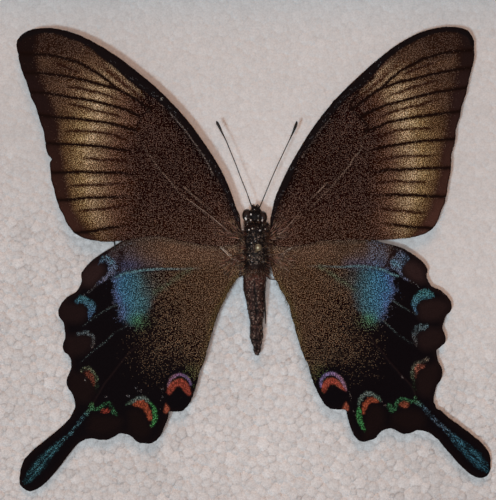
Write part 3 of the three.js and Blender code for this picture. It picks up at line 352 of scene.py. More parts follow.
HINDWING_RIGHT = """
273.0,275.5 273.8,276.7 274.4,278.2 275.0,279.5 276.1,280.6 277.0,281.7 277.8,283.0 278.4,284.4 278.7,285.8
279.2,287.3 279.8,288.6 280.6,289.9 281.5,291.1 282.4,292.3 283.2,293.6 284.0,294.8 284.7,296.2 285.2,297.6
285.7,299.0 286.4,300.3 287.2,301.6 287.9,302.9 288.6,304.3 289.1,305.7 289.5,307.1 290.0,308.5 290.3,310.0
290.5,311.5 290.7,313.0 291.0,314.5 291.3,315.9 291.7,317.4 292.2,318.8 292.8,320.1 293.2,321.6 293.7,323.0
294.4,324.3 294.8,325.8 295.0,327.3 295.1,328.8 295.3,330.2 295.6,331.7 296.1,333.1 296.6,334.5 297.1,336.0
297.5,337.4 298.0,338.8 298.5,340.2 298.9,341.7 299.2,343.1 299.6,344.6 300.0,346.0 300.5,347.5 300.9,348.9
301.4,350.3 302.1,351.6 302.8,353.0 303.2,354.4 303.7,355.8 304.2,357.2 304.8,358.6 305.5,360.0 306.3,361.2
307.0,362.5 307.5,363.9 308.1,365.3 308.6,366.7 309.0,368.2 309.4,369.6 309.7,371.1 310.0,372.5 310.5,374.0
311.0,375.4 311.4,376.8 311.8,378.3 312.4,379.7 312.9,381.1 313.3,382.5 313.8,383.9 314.4,385.3 314.9,386.7
315.7,388.0 316.4,389.3 317.0,390.7 317.6,392.1 318.2,393.4 318.9,394.8 319.6,396.1 320.4,397.4 321.1,398.7
321.9,400.0 322.7,401.3 323.5,402.5 324.3,403.8 325.3,404.9 326.4,405.9 327.6,406.8 328.8,407.7 330.1,408.5
331.5,409.0 333.0,409.2 334.5,409.3 336.0,409.4 337.4,409.6 338.9,409.6 340.4,409.5 341.9,409.4 343.4,409.3
344.9,409.7 346.0,410.6 346.7,412.0 346.8,413.5 347.0,415.0 347.3,416.4 347.7,417.9 348.1,419.3 348.6,420.8
348.9,422.2 349.3,423.7 349.9,425.1 350.4,426.5 350.9,427.9 351.4,429.3 351.9,430.7 352.5,432.1 353.1,433.5
353.8,434.8 354.6,436.0 355.5,437.2 356.5,438.4 357.5,439.4 358.7,440.4 360.0,441.1 361.5,441.5 362.9,441.8
364.4,441.8 365.9,441.6 367.3,441.1 368.7,440.5 370.2,440.2 371.7,439.9 373.1,439.4 374.4,438.7 375.6,437.9
376.7,436.8 377.5,435.5 378.3,434.3 379.3,433.2 380.3,432.1 381.5,431.1 382.8,430.4 384.2,429.8 385.6,429.3
387.1,428.9 388.5,428.5 390.0,428.3 391.5,428.4 392.9,428.8 394.3,429.4 395.6,430.2 396.9,431.0 398.2,431.7
399.5,432.4 400.8,433.1 402.2,433.6 403.7,434.0 405.2,434.1 406.7,433.8 408.1,433.6 409.6,433.3 411.1,432.9
412.5,432.4 413.8,431.7 415.1,431.0 416.5,430.5 418.0,430.2 419.5,430.2 421.0,430.4 422.5,430.5 423.9,430.8
425.4,431.2 426.8,431.7 428.1,432.4 429.5,433.1 430.8,433.8 432.1,434.6 433.3,435.5 434.4,436.5 435.5,437.5
436.8,438.3 437.9,439.3 438.9,440.5 439.8,441.6 440.8,442.8 441.7,443.9 442.6,445.1 443.6,446.3 444.5,447.5
445.4,448.6 446.4,449.8 447.4,450.9 448.4,452.1 449.4,453.2 450.4,454.3 451.4,455.4 452.4,456.5 453.4,457.6
454.3,458.8 455.3,460.0 456.3,461.1 457.3,462.1 458.4,463.2 459.4,464.3 460.4,465.4 461.5,466.5 462.6,467.5
463.6,468.6 464.7,469.6 465.9,470.6 467.0,471.6 468.1,472.6 469.3,473.5 470.6,474.3 471.9,475.0 473.2,475.8
474.5,476.5 475.9,477.1 477.3,477.6 478.8,477.9 480.3,478.0 481.7,477.9 483.2,477.6 484.6,477.1 486.0,476.5
487.2,475.6 488.2,474.5 489.0,473.2 489.6,471.8 490.2,470.4 490.5,469.0 490.6,467.5 490.5,466.0 490.5,464.5
490.5,463.0 490.6,461.5 490.6,460.0 490.4,458.5 490.2,457.0 489.9,455.5 489.5,454.1 489.0,452.7 488.4,451.3
487.7,450.0 486.8,448.8 485.8,447.7 484.8,446.5 483.8,445.4 482.8,444.3 481.8,443.1 480.8,442.0 479.8,441.0
478.7,440.0 477.4,439.1 476.2,438.3 475.0,437.4 473.8,436.4 472.7,435.4 471.5,434.5 470.4,433.5 469.2,432.6
468.0,431.7 466.8,430.8 465.6,429.9 464.3,429.1 463.1,428.2 462.0,427.3 460.9,426.2 459.7,425.3 458.5,424.4
457.2,423.7 455.9,422.9 454.6,422.1 453.5,421.1 452.3,420.2 451.0,419.4 449.8,418.5 448.6,417.6 447.5,416.6
446.4,415.6 445.3,414.6 444.2,413.6 443.1,412.5 442.0,411.5 440.8,410.6 439.4,410.0 438.0,409.5 436.8,408.7
435.8,407.5 435.5,406.0 435.2,404.6 434.3,403.4 433.5,402.1 433.4,400.6 433.7,399.2 433.9,397.7 434.1,396.2
434.3,394.7 434.7,393.3 435.0,391.8 435.4,390.3 435.8,388.9 436.2,387.5 436.7,386.0 437.3,384.7 438.2,383.5
439.2,382.4 440.2,381.2 440.9,379.9 441.3,378.5 441.7,377.0 442.1,375.6 442.4,374.1 442.6,372.6 442.5,371.1
442.2,369.7 441.7,368.2 441.2,366.8 440.5,365.5 439.8,364.2 439.1,362.8 438.4,361.5 437.9,360.1 437.6,358.6
437.4,357.1 437.0,355.7 436.7,354.2 436.6,352.7 436.4,351.2 436.6,349.8 437.8,348.8 439.1,348.2 440.2,347.2
441.3,346.2 442.6,345.3 443.7,344.4 444.7,343.2 445.3,341.8 445.7,340.4 445.8,338.9 445.7,337.4 445.3,336.0
444.9,334.5 444.4,333.1 443.8,331.7 443.2,330.4 442.7,328.9 442.5,327.5 442.6,326.0 442.9,324.5 443.3,323.0
443.9,321.7 444.4,320.3 444.8,318.8 445.2,317.4 445.9,316.1 446.8,314.9 447.9,313.8 449.1,312.9 450.1,311.8
450.8,310.5 451.3,309.1 451.7,307.6 451.8,306.1 451.6,304.6 451.3,303.2 450.9,301.7 450.2,300.4 449.4,299.1
448.5,297.9 447.6,296.7 446.6,295.6 445.5,294.6 444.3,293.7 443.2,292.6 442.3,291.5 441.1,290.5 439.8,289.8
438.4,289.1 437.0,288.6 435.6,288.2 434.2,287.6 432.9,286.9 431.7,286.1 430.7,284.9 429.8,283.7 429.1,282.4
428.4,281.1 427.7,279.7 427.0,278.4 426.7,276.9 426.5,275.4 426.6,273.9 427.2,272.5 427.7,271.2 427.7,269.7
427.2,268.3 426.5,266.9 425.7,265.6 424.9,264.4 423.9,263.3 422.9,262.1 421.9,261.1 420.8,260.0 419.6,259.1
418.4,258.2 417.2,257.3 416.0,256.5 414.8,255.5 413.6,254.7 412.3,253.9 411.1,253.0 409.8,252.2 408.5,251.4
407.2,250.6 406.0,249.9 404.7,249.1 403.3,248.5 401.9,247.9 400.5,247.4 399.1,246.9 397.6,246.5 396.2,246.0
394.8,245.6 393.3,245.2 391.9,244.8 390.4,244.4 389.0,244.0 387.5,243.7 386.0,243.4 384.6,243.1 383.1,242.7
381.7,242.4 380.2,242.0 378.8,241.5 377.4,240.9 376.1,240.2 374.7,239.6 373.3,239.0 371.9,238.5 370.5,238.0
369.1,237.5 367.7,237.0 366.3,236.5 364.9,236.0 363.4,235.5 362.0,235.0 360.6,234.6 359.1,234.2 357.7,233.7
356.3,233.3 354.8,232.9 353.3,232.6 351.9,232.2 350.4,231.9 349.0,231.5 347.5,231.2 346.1,230.8 344.6,230.5
343.1,230.2 341.6,230.0 340.2,229.7 338.7,229.5 337.2,229.3 335.7,229.1 334.2,228.9 332.7,228.8 331.2,228.6
329.7,228.5 328.2,228.4 326.7,228.3 325.2,228.2 323.7,228.1 322.2,228.0 320.7,228.0 319.2,227.9 317.7,227.9
316.2,227.9 314.7,227.9 313.2,227.9 311.7,227.9 310.2,228.0 308.7,228.1 307.2,228.1 305.7,228.2 304.3,228.4
302.8,228.5 301.3,228.6 299.8,228.8 298.3,229.0 296.8,229.2 295.3,229.4 293.8,229.7 292.4,230.0 290.9,230.3
289.4,230.6 288.0,231.0 286.5,231.4 285.1,231.9 283.7,232.5 282.4,233.1 281.0,233.7 279.7,234.5 278.4,235.3
277.2,236.1 276.0,237.1 274.9,238.1 273.9,239.2 273.0,240.4 272.3,241.7 271.6,243.1 271.1,244.5 270.7,245.9
270.3,247.4 270.0,248.8 269.8,250.3 269.7,251.8 269.6,253.3 269.6,254.8 269.7,256.3 269.8,257.8 269.9,259.3
270.1,260.8 270.3,262.3 270.5,263.8 270.8,265.2 271.1,266.7 271.4,268.2 271.8,269.6 272.1,271.1 272.4,272.6
272.7,274.0
"""

def outline(text):
    return np.array([[float(v) for v in t.split(",")] for t in text.split()])


# ------------------------------------------------------------------------------------------------
# forewings
# ------------------------------------------------------------------------------------------------
FORE = {
    "left": dict(
        veins=[
            [(18, 54), (40, 54.5), (50, 55), (60, 57), (70, 60), (80, 63), (90, 69), (100, 75), (108, 81), (114, 86), (120, 90.5)],
            [(22, 73), (40, 73), (50, 74), (60, 75.5), (70, 77), (80, 79), (90, 81.5), (100, 84.5), (108, 86.5), (115, 88.5),
             (120, 90.5), (130, 96), (140, 102), (146, 107), (150, 109)],
            [(29, 92), (45, 93), (55, 94.5), (70, 97), (85, 99.5), (100, 102.5), (110, 105), (120, 108), (130, 111.5), (140, 116.5)],
            [(37, 115), (50, 116.5), (60, 117.5), (75, 118.5), (90, 120.5), (105, 122.5), (115, 124.5), (125, 127.5), (134, 130)],
            [(44, 143), (60, 144), (75, 144.5), (90, 145.5), (105, 147), (115, 149), (125, 150), (135, 151), (142, 147)],
            [(49, 172.5), (65, 172.5), (75, 172), (85, 171.8), (95, 172.5), (110, 172.5), (120, 172.5), (130, 174), (146, 172)],
            [(55, 200), (70, 199.8), (80, 198.5), (90, 197.5), (100, 197.5), (110, 197), (120, 197), (140, 196)],
            [(74, 233), (85, 232), (94, 231), (100, 229.5), (105, 228.5), (115, 227), (132, 225)],
        ],
        vein_fade=[0, 0, 0, 0, 0.75, 0.7, 0.65, 0.6],
        folds=[
            [(50, 62), (60, 65), (70, 69), (80, 72)],
            [(58, 85), (70, 87), (80, 88.5), (90, 91), (100, 93), (110, 96.5), (118, 99)],
            [(60, 103), (75, 105), (85, 107.5), (95, 110.5), (105, 112.5), (115, 115), (125, 118.5)],
            [(58, 131), (70, 131), (85, 131), (100, 132.5), (110, 134), (120, 137), (128, 140)],
            [(78, 158), (92, 158.6), (100, 160), (115, 160), (130, 162)],
            [(62, 187), (75, 186), (90, 185), (100, 185), (110, 184), (130, 183)],
            [(72, 212), (80, 211), (95, 209.5), (105, 209), (115, 207), (130, 205)],
        ],
        streaks=[[(104, 61.5), (112, 67.5), (120, 75), (128, 82.5), (137, 90), (146, 97)], [(92, 60), (100, 65), (108, 71), (116, 77.5), (124, 84.5), (134, 92.5), (144, 100)],
                 [(96, 68.5), (104, 74), (112, 80), (119, 85.5), (128, 91.5), (138, 98.5)]],
        cell=[(150, 109), (145, 113), (142, 116), (141, 120), (138, 125), (136, 129), (137, 133)],
        radial=[(151, 109), (150, 106), (149, 101), (146, 96), (142, 90), (135, 84), (128, 79)],
        cubitus=[(138, 133), (142, 143), (147, 152), (155, 163), (160, 170), (170, 181), (180, 193), (190, 201), (200, 209),
                 (210, 217), (220, 225), (230, 233), (240, 240)],
        cubitus2=[(184, 187), (195, 197), (205, 206), (215, 214)],
        pale=[(170, 113), (180, 124), (190, 137), (200, 151), (207, 162), (213, 175)],
        band_out=[(14, 40), (20, 33), (30, 29), (40, 27), (50, 27), (60, 28), (70, 30), (80, 34), (90, 39), (100, 44.5), (110, 51),
                  (120, 58), (130, 65), (140, 71), (150, 79), (160, 88), (170, 99), (180, 110), (190, 122), (200, 135), (210, 149),
                  (220, 167), (230, 188), (238, 211), (241.5, 222), (243.5, 232), (245, 241)],
        band_in=[(20, 42), (24, 38), (30, 36), (40, 33.5), (50, 33.5), (60, 35), (70, 39), (80, 42), (85, 46), (90, 48), (100, 57),
                 (110, 64), (120, 73), (130, 81), (140, 88), (150, 96), (160, 103), (170, 113), (180, 126), (190, 140), (200, 153),
                 (210, 167), (218, 180), (225, 194), (231, 209), (235.5, 221), (238.5, 231), (241, 241)],
        # chart y, where the gold starts at the margin, where it is brightest, where it ends, and how strong
        gold=[(38, 35, 80, 122, .04), (45, 34, 88, 126, .06), (53, 33, 98, 130, .13), (60, 33, 101, 132, .28), (68, 34, 102, 138, .41), (75, 36, 105, 145, .61), (90, 41, 104, 148, 1.24),
              (105, 48, 100, 145, 1.47), (120, 53, 98, 153, 1.50), (135, 55, 94, 141, 1.25), (150, 57, 89, 138, 1.09), (165, 59, 88, 138, 1.07),
              (180, 62, 92, 143, 1.12), (195, 65, 89, 144, 1.10), (210, 69, 92, 140, .98), (222, 75, 97, 140, .74), (232, 84, 101, 138, .50), (240, 93, 104, 130, .28)],
        sign=1.0),
    "right": dict(
        veins=[
            [(474, 50), (456, 51.5), (444, 53), (433, 56), (420.4, 60), (411, 65.4), (402, 70), (395, 75.4), (390.4, 79), (386, 84), (381, 88)],
            [(471, 67.6), (453.5, 70), (440, 72.7), (430, 74.6), (420, 77.3), (411, 79.6), (399.6, 82), (390.4, 85.4), (382.7, 87.7),
             (376.5, 91), (369.6, 95.8), (362.5, 101.3), (357.5, 105), (351.7, 109.2)],
            [(468, 87.6), (453.5, 89.6), (440, 91.5), (430, 93.5), (420, 96.2), (410, 98.5), (399.6, 101.5), (389.6, 104.2), (380.4, 107.3),
             (372.7, 110.4), (365, 114), (360.8, 116.3)],
            [(462, 110.8), (448, 112.7), (439.6, 113.5), (430, 115), (420, 116.5), (410, 118), (399.6, 120), (389.6, 122), (383.5, 124),
             (379.6, 126.5), (372.7, 129), (365, 131)],
            [(454, 139), (440, 140), (430, 140.6), (420, 141.5), (409, 142.7), (400, 144.2), (392, 145.4), (386, 146.5), (380, 147.7),
             (373, 150), (363, 153)],
            [(452, 168), (430, 168), (420, 168.5), (409, 169), (400, 170), (390, 169.6), (383, 170.4), (377, 172), (360, 171)],
            [(448, 197), (432, 196.2), (423, 195.8), (413.8, 195), (403, 195), (393.8, 194.6), (386, 195), (368, 195)],
            [(436, 228.5), (423, 227.7), (415, 227.3), (405, 226.2), (397, 225), (380, 223)],
        ],
        vein_fade=[0, 0, 0, 0, 0.75, 0.7, 0.65, 0.6],
        folds=[
            [(440, 61), (430, 64), (419, 68), (409, 72), (402, 75.4)],
            [(444, 79), (430, 82), (420, 85.4), (411, 87.7), (402, 91.5), (394, 93.8), (386.5, 97)],
            [(446, 97.7), (430, 101.5), (419, 105.8), (411, 106.5), (405, 108.5), (399.6, 110), (390, 112.7), (382, 116), (375, 118.5)],
            [(440, 128), (426.5, 128.5), (415, 128.8), (405, 129.6), (396, 130.8), (388, 133), (380, 137), (373, 140)],
            [(440, 156), (432, 156), (409, 156), (400, 156.5), (394, 157.7), (383, 159.6), (373, 159)],
            [(432, 182), (417, 182), (405, 182.3), (400, 181), (390, 181.5), (381.5, 182.3), (371, 183)],
            [(430, 213), (417, 212.7), (405, 211), (397, 210.4), (390, 209.6), (378, 208)],
        ],
        streaks=[[(398, 57), (390, 63.5), (382, 71), (374, 80), (366, 88), (357, 96)], [(410, 58), (402, 62.5), (394, 68), (386, 75.5), (378, 83), (368, 91), (358, 99)],
                 [(406, 65), (398, 70), (390, 76.5), (383, 83), (374, 89.5), (364, 97)]],
        cell=[(351.7, 109), (354, 112.5), (359, 115.8), (363, 120), (366, 123), (367.5, 129), (366.7, 132.5), (365.8, 135)],
        radial=[(350.5, 110), (351, 108), (351, 104), (353, 100), (356, 95), (361, 88), (367, 83), (374, 77)],
        cubitus=[(365.8, 135), (360, 150), (354, 158), (347.5, 168), (339, 178), (330, 188), (321, 197.5), (310, 209), (296.7, 218),
                 (286, 228), (275, 240)],
        cubitus2=[(327, 182.5), (320, 190), (312, 198)],
        pale=[(330, 119), (320, 131), (310, 145), (302, 158)],
        band_out=[(476, 46), (474, 36), (466, 29), (452, 26), (440, 26), (430, 28), (420, 31), (410, 36), (400, 41), (385, 51), (372, 61), (360, 76), (350, 84), (340, 92),
                  (330, 103), (320, 115), (310, 129), (300, 146), (290, 164), (280, 185), (275, 195), (271, 211), (268, 222), (266, 232), (265, 241)],
        band_in=[(471, 46), (468, 38), (460, 33.5), (450, 32), (440, 32.5), (430, 35), (420, 39), (410, 44), (400, 50), (385, 62), (372, 77), (360, 88), (350, 96), (340, 106),
                 (330, 118), (320, 130), (310, 145), (300, 158), (290, 182), (281, 200), (277, 211), (274.5, 221), (272.5, 231), (271, 241)],
        gold=[(38, 462, 410, 370, .05), (45, 463, 408, 368, .09), (53, 463, 404, 366, .14), (60, 463, 400, 362, .18), (68, 462, 396, 357, .48), (75, 460, 394, 353, .84), (90, 457, 393, 350, 1.12),
              (100, 455, 398, 354, 1.31), (108, 454, 400, 358, 1.20), (125, 452, 403, 364, 1.54), (136, 450, 405, 374, 1.24), (150, 447, 409, 368, 1.12), (162, 445, 411, 367, 1.16), (176, 444, 413, 367, 1.27), (188, 440, 409, 367, 1.23),
              (204, 435, 409, 366, 1.06), (220, 430, 405, 364, 1.02), (232, 421, 403, 366, .80), (240, 413, 402, 370, .44)],
        sign=-1.0),
}
BLACK = (0.0092, 0.0062, 0.0066)


def blend(t, stops):
    """Colours between stops of (t, colour), one row a point."""
    k = [q[0] for q in stops]
    return np.stack([np.interp(t, k, [q[1][i] for q in stops]) for i in range(3)], 1)


def jitter(P, size, amount, seed):
    """Points shifted a little at random, so that an edge drawn with them comes out ragged."""
    return P + amount * np.c_[blotch(P, size, seed), blotch(P, size, seed + 50)]


def forewing_paint(P, edge, side):
    f = FORE[side]
    n = len(P)
    x, y = P[:, 0], P[:, 1]
    lift = np.zeros(n)
    J = jitter(P, 1.4, 0.5, 61)
    # how far out along the wing, from the body
    out = np.hypot(x - 256, y - 232)
    # veins and folds
    vein = np.zeros(n)
    for line, fade in zip(f["veins"], f["vein_fade"]):
        d, s = near(J, spline(line), 9)
        k = np.ones(n) if fade == 0 else 1 - 0.85 * ramp(s, fade, 1.0)
        vein = np.maximum(vein, k * np.exp(-(d / 1.55) ** 4))
        vein = np.maximum(vein, 0.45 * k * np.exp(-(d / 2.6) ** 2))
        lift += 0.07 * k * np.exp(-(d / 2.6) ** 2)
    fold = np.zeros(n)
    for line in f["folds"]:
        d, s = near(J, spline(line), 12)
        k = ramp(s, 0, 0.25) * (1 - 0.8 * ramp(s, 0.85, 1.0))
        fold = np.maximum(fold, k * (0.86 * np.exp(-(d / 1.15) ** 2) + 0.22 * np.exp(-(d / 3.4) ** 2)))
        lift -= 0.05 * k * np.exp(-(d / 3.0) ** 2)
    for key, w, a in (("cell", 1.15, 0.95), ("radial", 1.3, 0.9)):
        d, s = near(J, spline(f[key]), 9)
        vein = np.maximum(vein, a * np.exp(-(d / w) ** 2))
        lift += 0.05 * np.exp(-(d / 2.4) ** 2)
    # gold band between its outer start and its inner end
    start, top, stop, amp = (table(y, f["gold"], k) for k in (1, 2, 3, 4))
    outer = (x - top) * f["sign"] < 0
    u = np.where(outer, np.clip((x - start) / (top - start), 0, 1), 1)
    v = np.clip((x - top) / (stop - top), 0, 1)
    # towards the tip it comes up later and drops sooner
    tipward = ramp(y, 140, 108) if side == "left" else ramp(y, 150, 118)
    foot = 0.16 - 0.08 * tipward + (0.55 if side == "left" else 0.75) * np.exp(-((y - 61) / 7.0) ** 2) + 0.05 * np.exp(-((y - 84) / 8.0) ** 2)
    rise = foot * ramp(u, 0.0, 0.16) + (1 - foot) * np.clip((u - 0.05) / 0.88, 0, 1) ** (1.25 + 0.65 * tipward)
    tail = 0.25 - 0.12 * tipward
    gold = np.where(outer, rise, tail * (1 - v) + (1 - tail) * (1 - v) ** (2.2 + 0.2 * tipward)) * amp
    # long streaks that run with the veins
    lean = 0.22 * f["sign"]
    along = np.c_[x * 0.10, y - lean * (x - 248) * ramp(y, 150, 60)]
    gold *= 1 + 0.10 * blotch(P, 9, 5) + 0.20 * blotch(along, 2.2, 15)
    gold = gold + 0.045 * ramp(y, 205, 225) * ramp(np.abs(x - 256), 150, 90)
    g = np.clip(gold, 0, 1.6) * (1 - 0.97 * np.clip(vein, 0, 1)) * (1 - 0.86 * fold)
    pt = Paint(n, (0, 0, 0))
    pt.ground = blend(g, [(0, (0.0185, 0.0060, 0.0028)), (0.30, (0.052, 0.0205, 0.0085)), (1.0, (0.158, 0.084, 0.036)), (1.6, (0.250, 0.150, 0.075))])
    pt.scale = blend(g, [(0, (0.186, 0.118, 0.094)), (0.30, (0.33, 0.218, 0.145)), (1.0, (0.64, 0.500, 0.325)), (1.6, (0.87, 0.72, 0.52))])
    # yellower on the outer side, redder on the inner side
    yellow = np.where(outer, ramp(u, 0.06, 0.25) * ramp(u, 1.05, 0.6), 0) * ramp(y, 96, 122)
    ruddy = np.where(outer, 0, ramp(v, 0.15, 0.5) * ramp(v, 1.0, 0.72))
    for layer in (pt.ground, pt.scale):
        layer[:, 2] *= 1 - 0.19 * yellow
        layer[:, 1] *= 1 - 0.075 * ruddy
    pt.dens = 0.160 + 0.26 * np.clip(g, 0, 1) + 0.02 * blotch(P, 14, 6)
    # smooth dark margin
    rim = np.where(outer, np.clip(1 - ((x - start) * f["sign"] + 2.5 + 2.0 * blotch(P, 5, 64)) / 11.0, 0, 1), 0)
    rim = rim * rim * (3 - 2 * rim)
    low, high = ramp(y, 95, 190)[:, None], ramp(y, 90, 55)[:, None]
    dim = np.array((0.0205, 0.0100, 0.0092)) * (1 - high) + np.array((0.0130, 0.0068, 0.0062)) * high
    lower = (1.0 if side == "left" else 1.55) * (1 + 0.38 * ramp(y, 188, 218))[:, None]
    pt.under(0.92 * rim * (1 - vein), (dim * (1 - low) + np.array((0.040, 0.0172, 0.0128)) * low) * lower)
    pt.wipe(0.97 * rim)
    pt.scale = pt.scale * (1 - 0.35 * rim[:, None])
    # two gold streaks with a red-brown one between them, behind the front edge
    for line, k in zip(f["streaks"], (0.30, -0.85, 0.30)):
        d, s = near(J, spline(line), 10)
        w = np.exp(-(d / 1.9) ** 2) * np.sin(np.pi * np.clip(s, 0, 1)) ** (0.6 if side == "left" else 1.1) * (1 - vein)
        if k < 0:
            pt.wipe(-k * w)
            pt.under(-k * w, (0.040, 0.0130, 0.0085))
        else:
            pt.under(0.75 * w, (0.125, 0.068, 0.030))
            pt.dust(k * w, (0.58, 0.455, 0.30))
    # close to the margin the scales stand out less
    calm = np.where(outer, 0.78 + 0.30 * ramp(u, 0.10, 0.60), 1.07 + 0.13 * ramp(v, 0.3, 0.9))[:, None]
    calm = np.minimum(calm, 0.85 + 0.40 * ramp(y, 50, 85)[:, None])
    dm = np.clip(pt.dens, 0, 1)[:, None]
    mean = pt.ground * (1 - dm) + pt.scale * dm
    pt.ground = np.maximum(mean + (pt.ground - mean) * calm, 0.0015)
    pt.scale = mean + (pt.scale - mean) * calm
    # darker inside the cell
    cell = np.exp(-(((np.abs(x - 256) - 76) / 30.0) ** 2 + ((y - 164) / 32.0) ** 2))[:, None]
    pt.ground = pt.ground * (1 - 0.17 * cell)
    pt.scale = pt.scale * (1 - 0.18 * cell)
    # a little warmer and lighter at the base
    base = ramp(out, 58, 20)
    pt.under(0.65 * base, (0.034, 0.0118, 0.0076))
    pt.dens += 0.05 * base
    pt.scale = pt.scale * (1 - 0.7 * base[:, None]) + np.array((0.33, 0.200, 0.150)) * (1.0 if side == "left" else 0.80) * 0.7 * base[:, None]
    # dark lines
    pt.wipe(0.80 * fold)
    pt.under(0.72 * fold, (0.030, 0.0112, 0.0078))
    pt.wipe(0.95 * vein)
    pt.under(0.90 * vein, (0.0100, 0.0048, 0.0038))
    # black costal band with grey glints
    bo, bi = spline(f["band_out"]), spline(f["band_in"])
    band = patch(jitter(P, 1.5, 0.35, 66), np.vstack([bo, bi[::-1]]), soft=0.9, smooth=False)
    pt.wipe(1.0 * band)
    pt.under(0.97 * band, BLACK)
    # towards the band the scales thin out and turn greyer
    d, s = near(P, bi, 15)
    shade = (np.exp(-(d / 6.5) ** 2) * (1 - band) * ramp(y, 78, 122))
    pt.wipe(0.30 * shade)
    pt.ground = pt.ground * (1 - 0.50 * shade[:, None])
    pt.scale = pt.scale * (1 - 0.45 * shade[:, None]) + np.array((0.085, 0.072, 0.078)) * 0.45 * shade[:, None]
    for off, wide, k in ((2.6, 0.45, 0.24), (4.6, 0.4, 0.12)):
        glint = np.exp(-((d - off) / wide) ** 2) * band * np.clip(0.25 + 1.1 * blotch(P, 3, 8), 0, 1) * ramp(s, 0.22, 0.36)
        pt.dust(k * glint, (0.15, 0.15, 0.165))
    lift += 0.10 * band
    # raised veins drawn as a pale line, partly a painted highlight along the crest, with a dark line of painted shade
    # beside them
    for key, w, a in (("cubitus", 0.40, 0.50), ("cubitus2", 0.32, 0.32), ("pale", 0.32, 0.42)):
        line = spline(f[key])
        d, s = near(P, line, 7)
        grow = 1.0
        if key == "cubitus":
            grow = np.interp(s, (0, 0.12, 0.22, 0.36, 0.5, 0.85, 1), (0.1, 0.12, 0.5, 0.42, 0.22, 1, 1) if side == "left" else (0.12, 0.42, 0.52, 0.42, 0.30, 0.6, 0.75))
        elif key == "pale":
            grow = 0.75 if side == "left" else 0.30
        pt.wipe(0.8 * grow * np.exp(-((d - 1.6) / 0.8) ** 2))
        pt.under(0.5 * grow * np.exp(-((d - 1.6) / 0.8) ** 2), (0.0125, 0.0060, 0.0048))
        faint = grow * (1 - 0.8 * ramp(out, 70, 55))
        grey = np.array((0.80, 0.92, 1.08)) if key == "pale" else np.ones(3)
        pt.under(0.55 * faint * np.exp(-(d / (w + 0.30)) ** 2), np.array((0.125, 0.080, 0.062)) * grey)
        pt.dust(a * faint * np.exp(-(d / (w + 0.30)) ** 2), np.array((0.40, 0.30, 0.24)) * grey)
        lift += 0.08 * np.exp(-(d / 1.8) ** 2)
    # outermost rim, a little darker
    pt.under(0.6 * (1 - np.clip(edge / 2.0, 0, 1)), (0.0105, 0.0060, 0.0058))
    if side == "left":
        for (sx, sy), r, hue in (((162, 99), 0.8, (0.62, 0.56, 0.52)), ((83, 49.5), 0.5, (0.40, 0.27, 0.16))):
            pt.dust(0.85 * np.exp(-((x - sx) ** 2 + (y - sy) ** 2) / r), hue)
    return pt, lift


